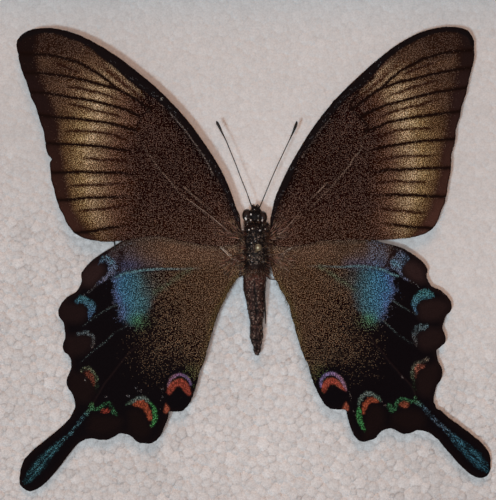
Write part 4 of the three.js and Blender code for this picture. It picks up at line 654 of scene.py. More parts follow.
# ------------------------------------------------------------------------------------------------
# hindwings
# ------------------------------------------------------------------------------------------------
HIND = {
    "left": dict(
        disc=[(126, 240), (150, 225), (245, 225), (246, 270), (236, 280), (224, 301), (215, 320), (207, 348), (200, 372), (192, 384), (186, 374), (176, 371), (166, 377),
              (155, 381), (147, 383), (140, 378), (132, 370), (128, 360), (129, 345), (132, 335), (133, 327), (126, 322), (121, 314), (117, 302), (115, 290), (115, 280), (118, 271), (113, 252)],
        costal=[(118, 244), (150, 225), (240, 226), (232, 258), (205, 262), (170, 263), (140, 264), (118, 268), (113, 256)],
        blue=[(118, 275), (113, 280), (115, 285), (114, 292), (115, 300), (120, 307), (119, 312), (120, 318), (125, 322), (131, 324), (138, 322),
              (146, 313), (152, 301), (157, 290), (166, 280), (160, 272), (140, 271)],
        blue_core=(127, 296), blue_r=38, violet_edge=[(116, 276), (113, 283), (114, 292), (116, 301), (120, 310), (122, 318)],
        green_at=(139, 322), green_r=(9, 7),
        rs=[(116, 277), (125, 273.5), (135, 271.5), (145, 270), (160, 269), (180, 269), (202, 268)],
        haze=[(112, 254), (124, 248), (150, 252), (160, 262), (150, 269), (126, 272), (114, 270)],
        fork=[(190, 270), (178, 277), (166, 285), (154, 293)],
        pale=[[(117, 305), (110, 308), (98, 315), (83, 326)], [(127, 326), (119, 330), (112, 335), (105, 342), (97, 348), (90, 354), (80, 363)]],
        brown=[[(140, 345), (130, 352), (120, 364), (110, 377), (105, 383), (98, 395), (92, 405)]],
        pale2=[[(164, 385), (162, 395), (160, 408)], [(155, 420), (150, 428), (147, 434)]],
        tail=[(92, 404), (90, 409), (85, 415), (80, 421), (75, 428), (70, 434), (62, 441), (52, 451), (42, 462), (33, 473), (26, 482)],
        tail_w=[2.6, 2.6, 2.0, 1.9, 2.3, 3.2, 4.6, 6.0, 6.6, 6.0, 3.2],
        lobes=[[(98, 262), (86, 266), (80, 275), (82, 284), (92, 286), (102, 276), (104, 268)],
               [(60, 300), (60, 318), (68, 322), (80, 322), (87, 314), (84, 306), (76, 304)],
               [(65, 336), (66, 352), (74, 356), (86, 352), (92, 344), (90, 337), (80, 335)],
               [(70, 372), (68, 388), (76, 400), (88, 402), (95, 390), (94, 380), (86, 374)],
               [(92, 416), (88, 430), (100, 434), (116, 430), (122, 420), (112, 416), (104, 416)],
               [(128, 410), (130, 430), (140, 438), (150, 432), (146, 418), (140, 410)]],
        l1=[(102, 256.5), (107, 255.5), (111, 257), (114, 260), (117, 266), (115.5, 272), (110, 277), (103, 282), (96, 286.5), (98, 281), (105, 276), (108, 271),
            (108, 266), (104, 262), (98, 264.5)],
        l1_teal=[(102, 258), (109, 258), (112, 262)], l1_line=[(97, 285), (91, 290), (84, 295)],
        l2=[(75, 301.5), (78, 297.5), (82, 295.5), (88, 298), (94, 302), (96, 307), (95, 311), (92, 315), (90, 320), (88, 318), (88, 312), (87, 307), (82, 303), (77, 304)],
        l3=[(75, 336), (78, 332.5), (82, 330.5), (87, 330.5), (92, 332.5), (95.5, 337), (95, 343), (92, 349), (91, 345), (92, 340), (90, 336.5), (86, 334.5), (81, 335)],
        l4_rim=[(82, 370), (86, 368), (90, 369), (93.6, 372), (96, 377.5), (96.8, 384), (97.4, 392)],
        l4_red=[(83.5, 373), (87, 370.5), (91, 371.5), (94.4, 376), (95.8, 383), (94, 386), (91.4, 381.5), (88, 378)],
        l4_speck=(85, 380),
        l5_rim=[(93, 408), (97, 409), (101, 407.5), (105, 404.5), (109, 403.5), (112, 407.5), (114, 412.5), (117, 414.5)],
        l5_red=(105.5, 411), l5_r=(4.6, 2.4),
        l6_rim=[(127, 404.5), (132, 401.6), (137, 399), (142, 397.8), (146.5, 399.8), (150, 404)],
        l6_orange=[(132.5, 404.2), (136, 400.8), (140.3, 399.6), (145.6, 401.8), (150, 408), (152, 415), (151, 421), (148, 419.5), (145.5, 414), (142.5, 409.3), (138, 406.8), (134, 406.6)],
        l6_green=[(151, 403), (153.5, 408), (155.3, 415), (154.5, 421), (152, 426)], l6_gw=[0.8, 1.4, 1.8, 1.8, 0.8],
        l7_halo=[(166, 384), (169, 378.5), (175, 373), (182, 371), (189, 375.5), (193, 384)],
        l7_rim=[(168, 386), (169.5, 381.5), (173, 377), (178, 374.7), (183, 375), (188, 378.8), (191, 385)],
        l7_orange=[(166.5, 392), (168, 387), (171, 383), (175.5, 380), (181, 378.6), (186, 381.5), (189.5, 387), (191, 394), (188, 395.5), (184.5, 392), (182, 388.3),
                   (179, 386.3), (176, 387.3), (173, 391.3), (169.5, 395)],
        l7_eye=(178, 400), l7_er=(13, 11),
        notch=[(165.5, 403), (169, 407), (169.5, 410), (166.5, 413.5), (163.6, 412), (164.5, 407)],
        inner=[(238, 276), (224, 301), (215, 320), (207, 348), (199, 376), (192, 394)],
        base_pale=[(221, 247), (229, 254), (236, 260)]),
    "right": dict(
        disc=[(374, 240), (350, 226), (268, 226), (268, 270), (275, 280), (286, 300), (293, 320), (300, 346), (308, 366), (316, 382), (324, 371), (332, 368), (341, 373),
              (346, 378), (352, 380), (358, 378), (366, 376), (376, 373), (379, 366), (381, 356), (381, 345), (381, 336), (378, 327), (383, 320), (388, 309), (391, 298), (393, 288), (391, 278),
              (388, 270), (392, 252)],
        costal=[(388, 246), (350, 226), (272, 226), (280, 256), (300, 261), (335, 261), (360, 262), (386, 264), (391, 254)],
        blue=[(391, 273), (393, 278), (391, 282), (395, 288), (394, 294), (390, 299), (388.5, 306), (386, 312), (381, 319), (375, 322.5), (368, 321),
              (360, 311), (355, 300), (351, 289), (342, 280), (350, 270), (368, 268)],
        blue_core=(380, 294), blue_r=38, violet_edge=[(391, 275), (393, 284), (395, 290), (391, 300), (388, 310), (382, 318)],
        green_at=(368, 321), green_r=(9, 7),
        rs=[(398, 276), (391, 274), (386, 271), (380, 269), (370, 267), (360, 266), (350, 266.5), (340, 267), (320, 266), (308, 266)],
        haze=[(392, 254), (380, 245), (360, 252), (346, 262), (360, 267), (382, 268), (390, 262)],
        fork=[(320, 267), (330, 273), (338, 278.5), (346, 283.5), (354, 289)],
        pale=[[(389, 299), (395, 302), (401, 306), (408, 310), (417, 315)], [(381, 319), (388, 325), (393, 330), (398, 335), (405, 339), (412, 343)]],
        brown=[[(370, 336), (375, 344), (382, 352), (388, 360), (395, 368), (402, 376), (408, 382), (413, 389), (416, 398)]],
        pale2=[[(348, 388), (350, 394), (351, 404)], [(353, 409), (355, 416), (358, 421)]],
        tail=[(415, 398), (418, 403), (424, 408), (430, 415), (437, 422), (443, 427), (450, 434), (460, 444), (470, 453), (480, 462.5), (487, 470)],
        tail_w=[2.4, 2.6, 2.1, 2.2, 2.6, 3.3, 4.6, 6.2, 7.0, 6.6, 3.4],
        lobes=[[(402, 262), (414, 262), (424, 270), (424, 282), (412, 280), (404, 272)],
               [(418, 304), (430, 299), (446, 302), (446, 312), (436, 320), (420, 318)],
               [(418, 334), (432, 328), (444, 334), (440, 345), (426, 350), (418, 344)],
               [(416, 376), (426, 366), (438, 364), (438, 378), (430, 396), (418, 392)],
               [(392, 416), (404, 410), (420, 412), (424, 424), (408, 430), (394, 424)],
               [(366, 414), (372, 406), (380, 406), (384, 420), (376, 434), (364, 438)]],
        l1=[(396.5, 252), (401, 250.8), (406, 253.5), (409.5, 259), (406.5, 263), (402.5, 268), (402, 272), (404.5, 277), (410, 281), (407, 281), (401, 276), (397, 271.5), (393.5, 269.5),
            (391, 266), (390.3, 262), (393.5, 258), (396, 255)],
        l1_teal=[(392.5, 262), (395, 264.5), (398, 266)], l1_line=[(409, 280.5), (416, 284.5), (420, 288), (423, 291)],
        l2=[(434.5, 297), (433, 293.5), (429.5, 290.3), (425, 288.8), (420, 290.8), (415, 295), (412, 300), (411.5, 304), (413.5, 309), (416.5, 315), (418, 313), (416.5, 308), (418, 304),
            (421, 300.5), (427, 299)],
        l3=[(429, 325.5), (425, 323.5), (420, 323.5), (415.5, 326), (412.7, 330), (412, 335), (413.8, 341), (416, 346.5), (417.8, 344), (417, 338), (417.5, 334), (420, 331.5), (425, 330)],
        l4_rim=[(428, 359), (424, 361), (419.5, 361.8), (415.3, 364.2), (412.8, 368.4), (412.3, 374), (413.2, 380), (414.8, 389)],
        l4_red=[(425, 365.5), (421, 363.3), (417, 364), (414.3, 368), (413.5, 374), (416, 377.5), (417.5, 373), (420, 369.5), (424, 368)],
        l4_speck=(423, 375),
        l5_rim=[(389, 406), (393, 411), (396, 405), (398.5, 401), (402, 399), (406, 399.8), (411, 401.3), (416, 401.5)],
        l5_red=(404.5, 404.8), l5_r=(5.0, 3.2),
        l6_rim=[(359, 407), (360, 400), (363, 396), (367, 393.8), (371.5, 393.8), (376, 396.6), (381, 400)],
        l6_orange=[(362, 410), (362.8, 404), (366, 399.5), (370, 397.3), (375, 398.3), (379.5, 401), (376, 403), (372.3, 402.2), (369, 404.5), (366.5, 408.5), (364.5, 414), (362.6, 413.5)],
        l6_green=[(359, 409), (359, 415), (360, 420), (362, 425), (364.5, 430)], l6_gw=[1.5, 2.7, 2.2, 1.8, 0.7],
        l7_halo=[(318.5, 386), (318.8, 378), (323, 372.5), (332, 368.8), (339, 371.5), (345, 379.5), (348.5, 389)],
        l7_rim=[(321, 387), (321, 380.5), (325, 375.5), (330, 373.5), (335, 374.3), (339.5, 377.5), (343, 382.5), (346, 390)],
        l7_orange=[(321.5, 390), (322, 385), (325, 380.3), (329, 378), (334, 378), (339, 381.3), (343.3, 386.5), (346.5, 391.5), (343, 389.8), (338, 386.8), (334, 384.3), (330, 384.8),
                   (327.3, 388.3), (325, 392.8), (323, 392.3)],
        l7_eye=(335, 397.5), l7_er=(13, 11.5),
        notch=[(346, 401.5), (348.7, 406), (348.5, 410.3), (345.3, 411), (342.3, 409), (343.8, 405)],
        inner=[(275, 280), (286, 300), (293, 320), (300, 346), (309, 370), (318, 392)],
        base_pale=[(292, 247), (284, 254), (278, 260)]),
}


def hindwing_paint(P, edge, side):
    f = HIND[side]
    n = len(P)
    x, y = P[:, 0], P[:, 1]
    pt = Paint(n, (0.0060, 0.0040, 0.0052))
    lift = np.zeros(n)
    J = jitter(P, 1.5, 0.85, 71)
    jx, jy = J[:, 0], J[:, 1]
    out = np.hypot(x - 256, y - 250)
    # marginal lobes are browner than the black field, the front ones most
    tones = (1.70, 0.98, 0.92, 0.70, 0.66, 0.60) if side == "left" else (1.80, 1.22, 1.08, 0.85, 0.66, 0.66)
    for lobe, k in zip(f["lobes"], tones):
        pt.under(0.9 * patch(P, lobe, 4.0), np.array((0.0195, 0.0102, 0.0098)) * k)
    down = ramp(y, 300, 400)[:, None]
    pt.under(0.6 * (1 - np.clip(edge / 6.0, 0, 1)), np.array((0.0190, 0.0100, 0.0094)) * (1 - 0.40 * down))
    # gold-dusted inner field, thinning out towards its limit
    k0 = 12 if side == "left" else 13
    limit = np.array(f["disc"][k0:], float)
    dl, _ = near(P, limit, 80)
    ins = inside(P, f["disc"])
    dl = np.where(ins, np.minimum(dl, 80), -np.minimum(dl, 80))
    fade = ramp(dl + 5 * blotch(P, 9, 31), -10, 81 if side == "left" else 84)
    pt.under(0.30 * fade + 0.70 * fade ** 2, (0.0315, 0.0132, 0.0066))
    dens = (0.035 * ramp(dl, -10, 10) + 0.225 * fade ** 0.85) * (1 + 0.12 * blotch(P, 12, 3))
    if side == "right":
        dens = dens * (1 + 0.40 * np.exp(-((x - 332) / 15.0) ** 2 - ((y - 353) / 15.0) ** 2))
    pt.dust(np.where(dl > -30, dens, 0), np.array((0.285, 0.189, 0.120)))
    pt.scale = pt.scale * (0.58 + 0.42 * ramp(fade, 0.0, 0.55) - 0.17 * ramp(fade, 0.5, 0.9))[:, None]
    # warmer towards the body
    warm = ramp(out, 75, 25)
    pt.under(0.6 * warm * fade, (0.055, 0.0255, 0.0145))
    # smoother tan strip along the front edge
    c = patch(P, f["costal"], 7.0)
    part = 1.0 if side == "left" else 0.87
    pt.under(0.9 * c, np.array((0.072, 0.0335, 0.0190)) * part)
    pt.scale = pt.scale * (1 - 0.8 * c[:, None]) + np.array((0.300, 0.200, 0.142)) * part * 0.8 * c[:, None]
    pt.dens = pt.dens * (1 - c) + 0.28 * c
    # violet haze above the main vein, then the blue patch
    hz = patch(P, f["haze"], 7.0)
    strip = np.maximum(c, hz)
    if side == "left":
        hz = hz * (1 - 0.75 * ramp(x, 130, 147))
    lowb = np.exp(-((y - 266) / 7.0) ** 2) * hz
    pt.under(0.42 * hz, (0.034, 0.024, 0.034))
    pt.dust(0.16 * hz, (0.165, 0.155, 0.215))
    pt.under(0.45 * lowb, (0.024, 0.030, 0.062))
    pt.dust(0.22 * lowb, (0.120, 0.150, 0.330))
    # the strip darkens outwards; on the right it turns blue as well
    dusk = (np.clip((168 - x) / 46, 0, 1) if side == "left" else 0.42 * ramp(x, 322, 342)) * strip
    pt.ground = pt.ground * (1 - dusk[:, None] * np.array((0.50, 0.42, 0.25 if side == "left" else 0.40)))
    pt.scale = pt.scale * (1 - dusk[:, None] * np.array((0.50, 0.42, 0.25 if side == "left" else 0.40)))
    if side == "right":
        pt.dust(0.20 * strip * ramp(x, 363, 375) * ramp(x, 391, 384), (0.10, 0.20, 0.36))
    b = patch(jitter(P, 2.2, 2.6, 75), f["blue"], 3.0)
    cx, cy = f["blue_core"]
    r = np.hypot(x - cx, (y - cy) * 0.9)
    core = np.clip(1.30 - (r / f["blue_r"]) ** 1.7, 0.10, 1)
    # fades on the side of the body, sooner at the front
    bodyward = (x - cx) if side == "left" else (cx - x)
    first = np.interp(y, [272, 285, 300, 316], [-5, 0, 6, 12] if side == "left" else [4, 6, 8, 12])
    core *= 1 - 0.92 * ramp(bodyward + 4 * blotch(P, 5, 77), first - 3, first + 31)
    t = ramp(bodyward, -10, 20)[:, None]
    hue = np.array((0.088, 0.262, 0.450)) * (1 - t) + np.array((0.100, 0.270, 0.330)) * t
    dv, _ = near(P, spline(f["violet_edge"]), 16)
    vi = np.clip(np.exp(-(dv / 5.0) ** 2) * 0.7 + 0.5 * np.clip(blotch(P, 6, 78), 0, 1) * ramp(bodyward, 6, -8), 0, 0.85)[:, None]
    hue = hue * (1 - vi) + np.array((0.150, 0.205, 0.46)) * vi
    gx, gy = f["green_at"]
    g = np.exp(-(((x - gx) / f["green_r"][0]) ** 2 + ((y - gy) / f["green_r"][1]) ** 2))
    hue = hue * (1 - 0.85 * g[:, None]) + np.array((0.11, 0.37, 0.18)) * 0.85 * g[:, None]
    if side == "right":
        hue = hue * np.array((0.98, 1.02, 1.12))
    w = np.clip(b * core, 0, 1) * (1 - 0.20 * ramp(y, 299, 314))
    wet = np.clip(1.1 * w, 0, 1)[:, None]
    pt.ground = pt.ground * (1 - wet) + hue * 0.19 * wet
    pt.scale = pt.scale * (1 - np.sqrt(w)[:, None]) + hue * 1.12 * np.sqrt(w)[:, None]
    pt.dens = pt.dens * (1 - w) + 0.42 * w
    pt.dust(0.16 * g * ramp(dl, -3, 5), (0.12, 0.33, 0.17))
    # the scales stand out from the ground, most of all in the inner field
    part = np.maximum.reduce([ramp(fade, 0.25, 0.80) * (1 - w) * (1 - c), 0.75 * c, 0.55 * w])[:, None]
    dm = np.clip(pt.dens, 1e-4, 1)[:, None]
    mean = pt.ground * (1 - dm) + pt.scale * dm
    thin = dm * (1 - 0.10 * part)
    pt.scale = (mean - pt.ground * (1 - thin)) / thin
    pt.dens = thin[:, 0]
    raised = 1 + 0.24 * part
    pt.ground = np.maximum(mean + (pt.ground - mean) * raised, 0.0015)
    pt.scale = np.maximum(mean + (pt.scale - mean) * raised, 0.0015)
    # a few stray blue scales outside the patch
    stray = patch(P, f["blue"], 9.0) * (1 - b)
    pt.dust(0.035 * stray, (0.13, 0.19, 0.36))
    # teal main vein and its faint fork
    d, s = near(P, spline(f["rs"]), 8)
    k = (1 - ramp(s, 0.30, 1.0)) * 0.70 + 0.05
    pt.wipe(0.6 * k * np.exp(-((d - 2.0) / 0.8) ** 2))
    pt.under(0.7 * k * np.exp(-(d / 0.9) ** 2), (0.050, 0.110, 0.130))
    pt.dust(k * np.exp(-(d / 0.95) ** 2), (0.125, 0.265, 0.310))
    lift += 0.08 * np.exp(-(d / 2.2) ** 2)
    d, s = near(P, spline(f["fork"]), 8)
    pt.dust(0.26 * np.exp(-(d / 2.6) ** 2) * np.clip(0.7 + 0.6 * blotch(P, 4, 9), 0, 1), (0.11, 0.22, 0.14))
    # thin veins across the black
    for line in f["pale"]:
        d, s = near(P, spline(line), 7)
        k = (0.62 - 0.40 * s) * np.clip(0.75 + 0.7 * blotch(P, 4, 11), 0.15, 1)
        pt.under(0.60 * k * np.exp(-(d / 0.75) ** 2), (0.042, 0.062, 0.066))
        pt.dust(0.6 * k * np.exp(-(d / 0.65) ** 2), (0.125, 0.165, 0.170))
        lift += 0.07 * np.exp(-(d / 1.9) ** 2)
    for line in f["brown"]:
        d, s = near(P, spline(line), 7)
        pt.wipe(0.5 * np.exp(-(d / 1.4) ** 2))
        pt.under(0.60 * np.exp(-(d / 0.8) ** 2), (0.022, 0.0125, 0.0125))
        lift += 0.09 * np.exp(-(d / 1.9) ** 2)
    for line in f["pale2"]:
        d, s = near(P, spline(line), 6)
        pt.dust(0.30 * np.exp(-(d / 0.7) ** 2) * np.clip(0.3 + blotch(P, 2.2, 12), 0, 1), (0.16, 0.13, 0.12))

    def mark(w, colour, dens=0.50, deep=0.22):
        """A spot of close-set scales: the ground takes part of the colour and the scales the rest."""
        c = np.broadcast_to(np.asarray(colour, float), (n, 3))
        w = np.clip(w, 0, 1)
        pt.ground += (c * deep - pt.ground) * w[:, None]
        pt.scale += (c * (1 - deep * (1 - dens)) / dens - pt.scale) * w[:, None]
        pt.dens += (dens - pt.dens) * w

    # streak of teal and blue down the tail: a dotted line that widens into a brush with a dark middle
    line = spline(f["tail"])
    d, s = near(J, line, 16)
    w = np.interp(s, np.linspace(0, 1, len(f["tail_w"])), f["tail_w"])
    q = d / np.maximum(w, 0.1)
    m = np.clip(1.25 - q ** 1.6, 0, 1) * (d < 900)
    across, along = ((x + y), (x - y)) if side == "left" else ((x - y), (x + y))
    streak = np.clip(0.55 + 0.95 * blotch(np.c_[across, along * 0.20], 1.5, 13), 0.0, 1)
    tone = ramp(s, 0.0, 0.16)[:, None]
    hue = np.array((0.046, 0.165, 0.072)) * (1 - tone) + np.array((0.030, 0.100, 0.132)) * tone
    if side == "right":
        grey = np.exp(-((s - 0.30) / 0.20) ** 2)[:, None] * 0.7
        hue = hue * (1 - grey) + np.array((0.070, 0.100, 0.130)) * grey
        hue = hue * np.array((1.0, 1.06, 1.22))
    bright = np.interp(s, [0, 0.15, 0.32, 0.60, 0.78, 1.0], [1.3, 1.9, 2.05, 1.9, 1.6, 1.05])[:, None]
    wide = ramp(s, 0.42, 0.58)
    mark(m * (1 - wide) * 0.95 * np.clip(0.80 + 0.5 * blotch(P, 2.0, 17), 0.25, 1), hue * 0.74 * bright + np.array((0.026, 0.014, 0.007)), 0.33, 0.10)
    mark(m * wide * (0.35 + 0.65 * streak), hue * bright * np.array((0.95, 0.88, 0.84)), 0.36, 0.17)
    mid = np.exp(-(near(P, line, 16)[0] / 0.70) ** 2) * ramp(s, 0.10, 0.20)
    pt.wipe(0.85 * mid)
    pt.under(0.75 * mid, (0.0068, 0.0095, 0.0120))
    lift += 0.10 * np.exp(-(d / 2.2) ** 2)

    # lunules; a dark gap parts the first from the haze
    gap = stroke(J, [(121.5, 252), (119.5, 262), (117.5, 270)] if side == "left" else [(396, 249), (391.5, 257), (387.5, 265)], 1.5, 1.6)
    pt.wipe(0.75 * gap)
    pt.under(0.70 * gap, (0.0165, 0.0088, 0.0090))
    m1 = patch(J, f["l1"], 0.9) * np.clip(0.80 + 0.6 * blotch(P, 2.0, 85), 0.2, 1)
    top = np.exp(-((y - 262) / 9.0) ** 2)[:, None]
    mark(0.95 * m1, np.array((0.128, 0.140, 0.222)) * (1 - top) + np.array((0.118, 0.184, 0.288)) * top, 0.38, 0.16)
    d, _ = near(J, spline(f["l1_teal"]), 8)
    mark(0.60 * np.exp(-(d / 2.6) ** 2) * m1, (0.076, 0.185, 0.222), 0.38, 0.16)
    d, _ = near(P, spline(f["l1_line"]), 6)
    pt.dust(0.34 * np.exp(-(d / 0.7) ** 2) * np.clip(0.6 + 0.6 * blotch(P, 2.4, 81), 0, 1), (0.17, 0.17, 0.18))
    m2 = patch(J, f["l2"], 0.9)
    lean = np.clip((y - 293) / 22, 0, 1)[:, None]
    mark(0.97 * m2, np.array((0.050, 0.155, 0.180)) * (1 - lean) + np.array((0.058, 0.112, 0.212)) * lean, 0.43, 0.17)
    m3 = patch(J, f["l3"], 0.8)
    lean = np.clip((y - 328) / 18, 0, 1)[:, None]
    mark(0.88 * m3 * np.clip((0.84 if side == "left" else 0.88) + 0.75 * blotch(P, 2.2, 82), 0, 1), np.array((0.078, 0.116, 0.136)) * (1 - lean) + np.array((0.118, 0.102, 0.102)) * lean, 0.40, 0.14)
    m4 = patch(J, f["l4_red"], 0.9)
    mark(0.95 * m4 * np.clip(0.82 + 0.6 * blotch(P, 2.0, 84), 0.25, 1), (0.152, 0.045, 0.030) if side == "left" else (0.310, 0.105, 0.072), 0.58, 0.24)
    d, s = near(J, spline(f["l4_rim"]), 8)
    k = (1 - 0.55 * ramp(s, 0.55, 1.0)) * np.clip(0.80 + 0.7 * blotch(P, 2.0, 83), 0.1, 1)
    lean = s[:, None]
    pale = np.array((0.185, 0.200, 0.135)) if side == "left" else np.array((0.215, 0.180, 0.150))
    thick = 0.95 if side == "left" else 1.1
    mark(0.85 * k * np.exp(-(np.clip(d - thick, 0, None) / 0.9) ** 2), pale * (1 - lean) + np.array((0.050, 0.100, 0.056)) * lean, 0.40, 0.15)
    sx, sy = f["l4_speck"]
    pt.dust((0.7 if side == "left" else 0.0) * np.exp(-((x - sx) ** 2 + (y - sy) ** 2) / 0.5), (0.34, 0.31, 0.30))
    d, s = near(J, spline(f["l5_rim"]), 10)
    thick = np.interp(s, [0, 0.15, 0.4, 0.6, 0.8, 1.0], [2.2, 1.6, 1.3, 1.5, 1.5, 0.7])
    mark(0.92 * np.exp(-(np.clip(d - thick, 0, None) / 0.8) ** 2) * np.clip(0.75 + 0.7 * blotch(P, 2.0, 14), 0.15, 1), (0.042, 0.138, 0.066), 0.46, 0.16)
    (ex, ey), (rx, ry) = f["l5_red"], f["l5_r"]
    mark(0.95 * np.clip(1.6 - (((jx - ex) / rx) ** 2 + ((jy - ey) / ry) ** 2), 0, 1), (0.215, 0.038, 0.027) if side == "left" else (0.215, 0.060, 0.034), 0.62, 0.25)
    o6 = patch(J, f["l6_orange"], 0.8)
    d, s = near(J, spline(f["l6_rim"]), 9)
    pt.under(0.9 * np.exp(-((d - 4.0) / 2.2) ** 2), (0.0055, 0.0038, 0.0050))
    taper = np.sin(np.pi * np.clip(s, 0.02, 0.98)) ** 0.6
    ends = np.clip(np.abs(s - 0.5) * 2 - 0.35, 0, 1)[:, None]
    mark(0.95 * np.exp(-(np.clip(d - 1.55 * taper, 0, None) / 0.8) ** 2), np.array((0.118, 0.150, 0.142)) * (1 - ends) + np.array((0.055, 0.130, 0.070)) * ends, 0.50, 0.25)
    gl, s2 = near(J, spline(f["l6_green"]), 8)
    gw = np.interp(s2, np.linspace(0, 1, len(f["l6_gw"])), f["l6_gw"])
    mark(0.93 * np.exp(-(np.clip(gl - gw, 0, None) / 0.7) ** 2), (0.044, 0.185, 0.060), 0.50, 0.18)
    mark(0.98 * np.clip(1.35 * o6 - (0.35 if side == "left" else 0.2), 0, 1), (0.290, 0.066, 0.034), 0.80, 0.45)
    # eyespot at the wing's inner corner
    (ex, ey), (rx, ry) = f["l7_eye"], f["l7_er"]
    eye = np.clip(1.6 - 1.2 * np.hypot((x - ex) / rx, (y - ey) / ry), 0, 1)
    d, _ = near(P, spline(f["l7_halo"]), 9)
    dark = np.maximum(eye, np.exp(-(d / 3.0) ** 2))
    pt.wipe(0.98 * dark)
    pt.under(dark, (0.0056, 0.0040, 0.0054))
    d, s = near(jitter(P, 1.3, 0.4, 91), spline(f["l7_rim"]), 9)
    arc = np.sin(np.pi * np.clip(s, 0.01, 0.99)) ** 0.5
    inward = np.clip((x - ex) / rx, -1, 1)[:, None] if side == "left" else np.clip((ex - x) / rx, -1, 1)[:, None]
    turn = np.clip(0.5 + 0.7 * inward, 0, 1)
    near_in, far_in = ((0.275, 0.140, 0.220), (0.168, 0.108, 0.245)) if side == "left" else ((0.325, 0.185, 0.285), (0.185, 0.145, 0.330))
    wide = (0.1 + 0.80 * arc) if side == "left" else (0.2 + 0.95 * arc)
    mark(0.97 * np.exp(-(np.clip(d - wide, 0, None) / 0.7) ** 2), np.array(near_in) * (1 - turn) + np.array(far_in) * turn, 0.70, 0.42)
    o7 = patch(jitter(P, 1.3, 0.4, 92), f["l7_orange"], 0.7)
    mark(0.98 * o7, np.array((0.325, 0.066, 0.044)) * (0.92 if side == "left" else 1.0) * (0.94 + 0.14 * np.clip((390 - y) / 10, 0, 1))[:, None], 0.85, 0.60)
    nt = patch(P, f["notch"], 0.8)
    mark(0.97 * nt, (0.30, 0.080, 0.048), 0.80, 0.5)
    # pale streak at the base and olive hair-scales along the inner edge
    d, s = near(P, spline(f["base_pale"]), 8)
    k = 1.0 if side == "left" else 0.55
    pt.wipe(0.8 * k * np.exp(-((d - 1.5) / 0.8) ** 2))
    pt.under(0.65 * k * np.exp(-((d - 1.5) / 0.8) ** 2), (0.016, 0.0075, 0.0058))
    pt.under(0.75 * k * np.exp(-(d / 0.6) ** 2), (0.24, 0.185, 0.145))
    pt.dust(0.6 * k * np.exp(-(d / 0.6) ** 2), (0.50, 0.42, 0.35))
    d, s = near(P, spline(f["inner"]), 14)
    pt.dust(0.15 * np.exp(-(d / 5.0) ** 2) * (1 - ramp(s, 0.5, 0.85)), (0.26, 0.205, 0.075))
    olive = np.exp(-(((x - (194 if side == "left" else 318)) / 9.0) ** 2 + ((y - 372) / 8.0) ** 2))
    pt.dust(0.12 * olive, (0.13, 0.20, 0.065))
    base = ramp(out, 44, 16)
    pt.under(0.5 * base, (0.052, 0.022, 0.0145))
    pt.dust(0.20 * base, (0.33, 0.225, 0.155))
    # bluish line along the front edge
    front = [(104, 257), (112, 251.5), (121, 247), (132, 243)] if side == "left" else [(398, 250), (392, 246.5), (384, 243.5), (376, 241)]
    d, s = near(P, spline(front), 6)
    pt.dust(0.30 * np.exp(-(d / 0.8) ** 2) * np.clip(0.5 + blotch(P, 2.6, 95), 0, 1), (0.16, 0.19, 0.22))
    # stray pale scales on the black
    if side == "left":
        for sx, sy in ((127, 396), (129.5, 395.6), (136, 388), (139, 391), (141.5, 390.5), (106, 396.5), (163, 389), (162.6, 397)):
            pt.dust(0.6 * np.exp(-((x - sx) ** 2 + (y - sy) ** 2) / 0.5), (0.24, 0.23, 0.25))
    else:
        for sx, sy in ((402.6, 376.8), (381.5, 402), (385, 405)):
            pt.dust(0.6 * np.exp(-((x - sx) ** 2 + (y - sy) ** 2) / 0.5), (0.26, 0.21, 0.20))
    return pt, lift


# ------------------------------------------------------------------------------------------------
# mesh helpers
# ------------------------------------------------------------------------------------------------
def make_mesh(name, verts_mm, faces, smooth=True):
    me = bpy.data.meshes.new(name)
    v = np.asarray(verts_mm, float) * MM
    if isinstance(faces, np.ndarray) and faces.ndim == 2:
        me.vertices.add(len(v))
        me.vertices.foreach_set("co", v.astype(np.float32).ravel())
        k = faces.shape[1]
        me.loops.add(faces.size)
        me.loops.foreach_set("vertex_index", faces.astype(np.int32).ravel())
        me.polygons.add(len(faces))
        me.polygons.foreach_set("loop_start", np.arange(0, faces.size, k, dtype=np.int32))
        me.update(calc_edges=True)
    else:
        me.from_pydata([tuple(p) for p in v], [], [tuple(int(i) for i in f) for f in faces])
        me.update()
    me.polygons.foreach_set("use_smooth", np.full(len(me.polygons), smooth))
    me.validate()
    ob = bpy.data.objects.new(name, me)
    bpy.context.scene.collection.objects.link(ob)
    return ob


def colour_attribute(me, name, rgba):
    a = me.attributes.new(name, "FLOAT_COLOR", "POINT")
    a.data.foreach_set("color", np.asarray(rgba, np.float32).ravel())


def settle(ob, material, replaces=None):
    ob.data.materials.clear()
    ob.data.materials.append(material)
    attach(ob, "root")
    if replaces:
        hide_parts(replaces)


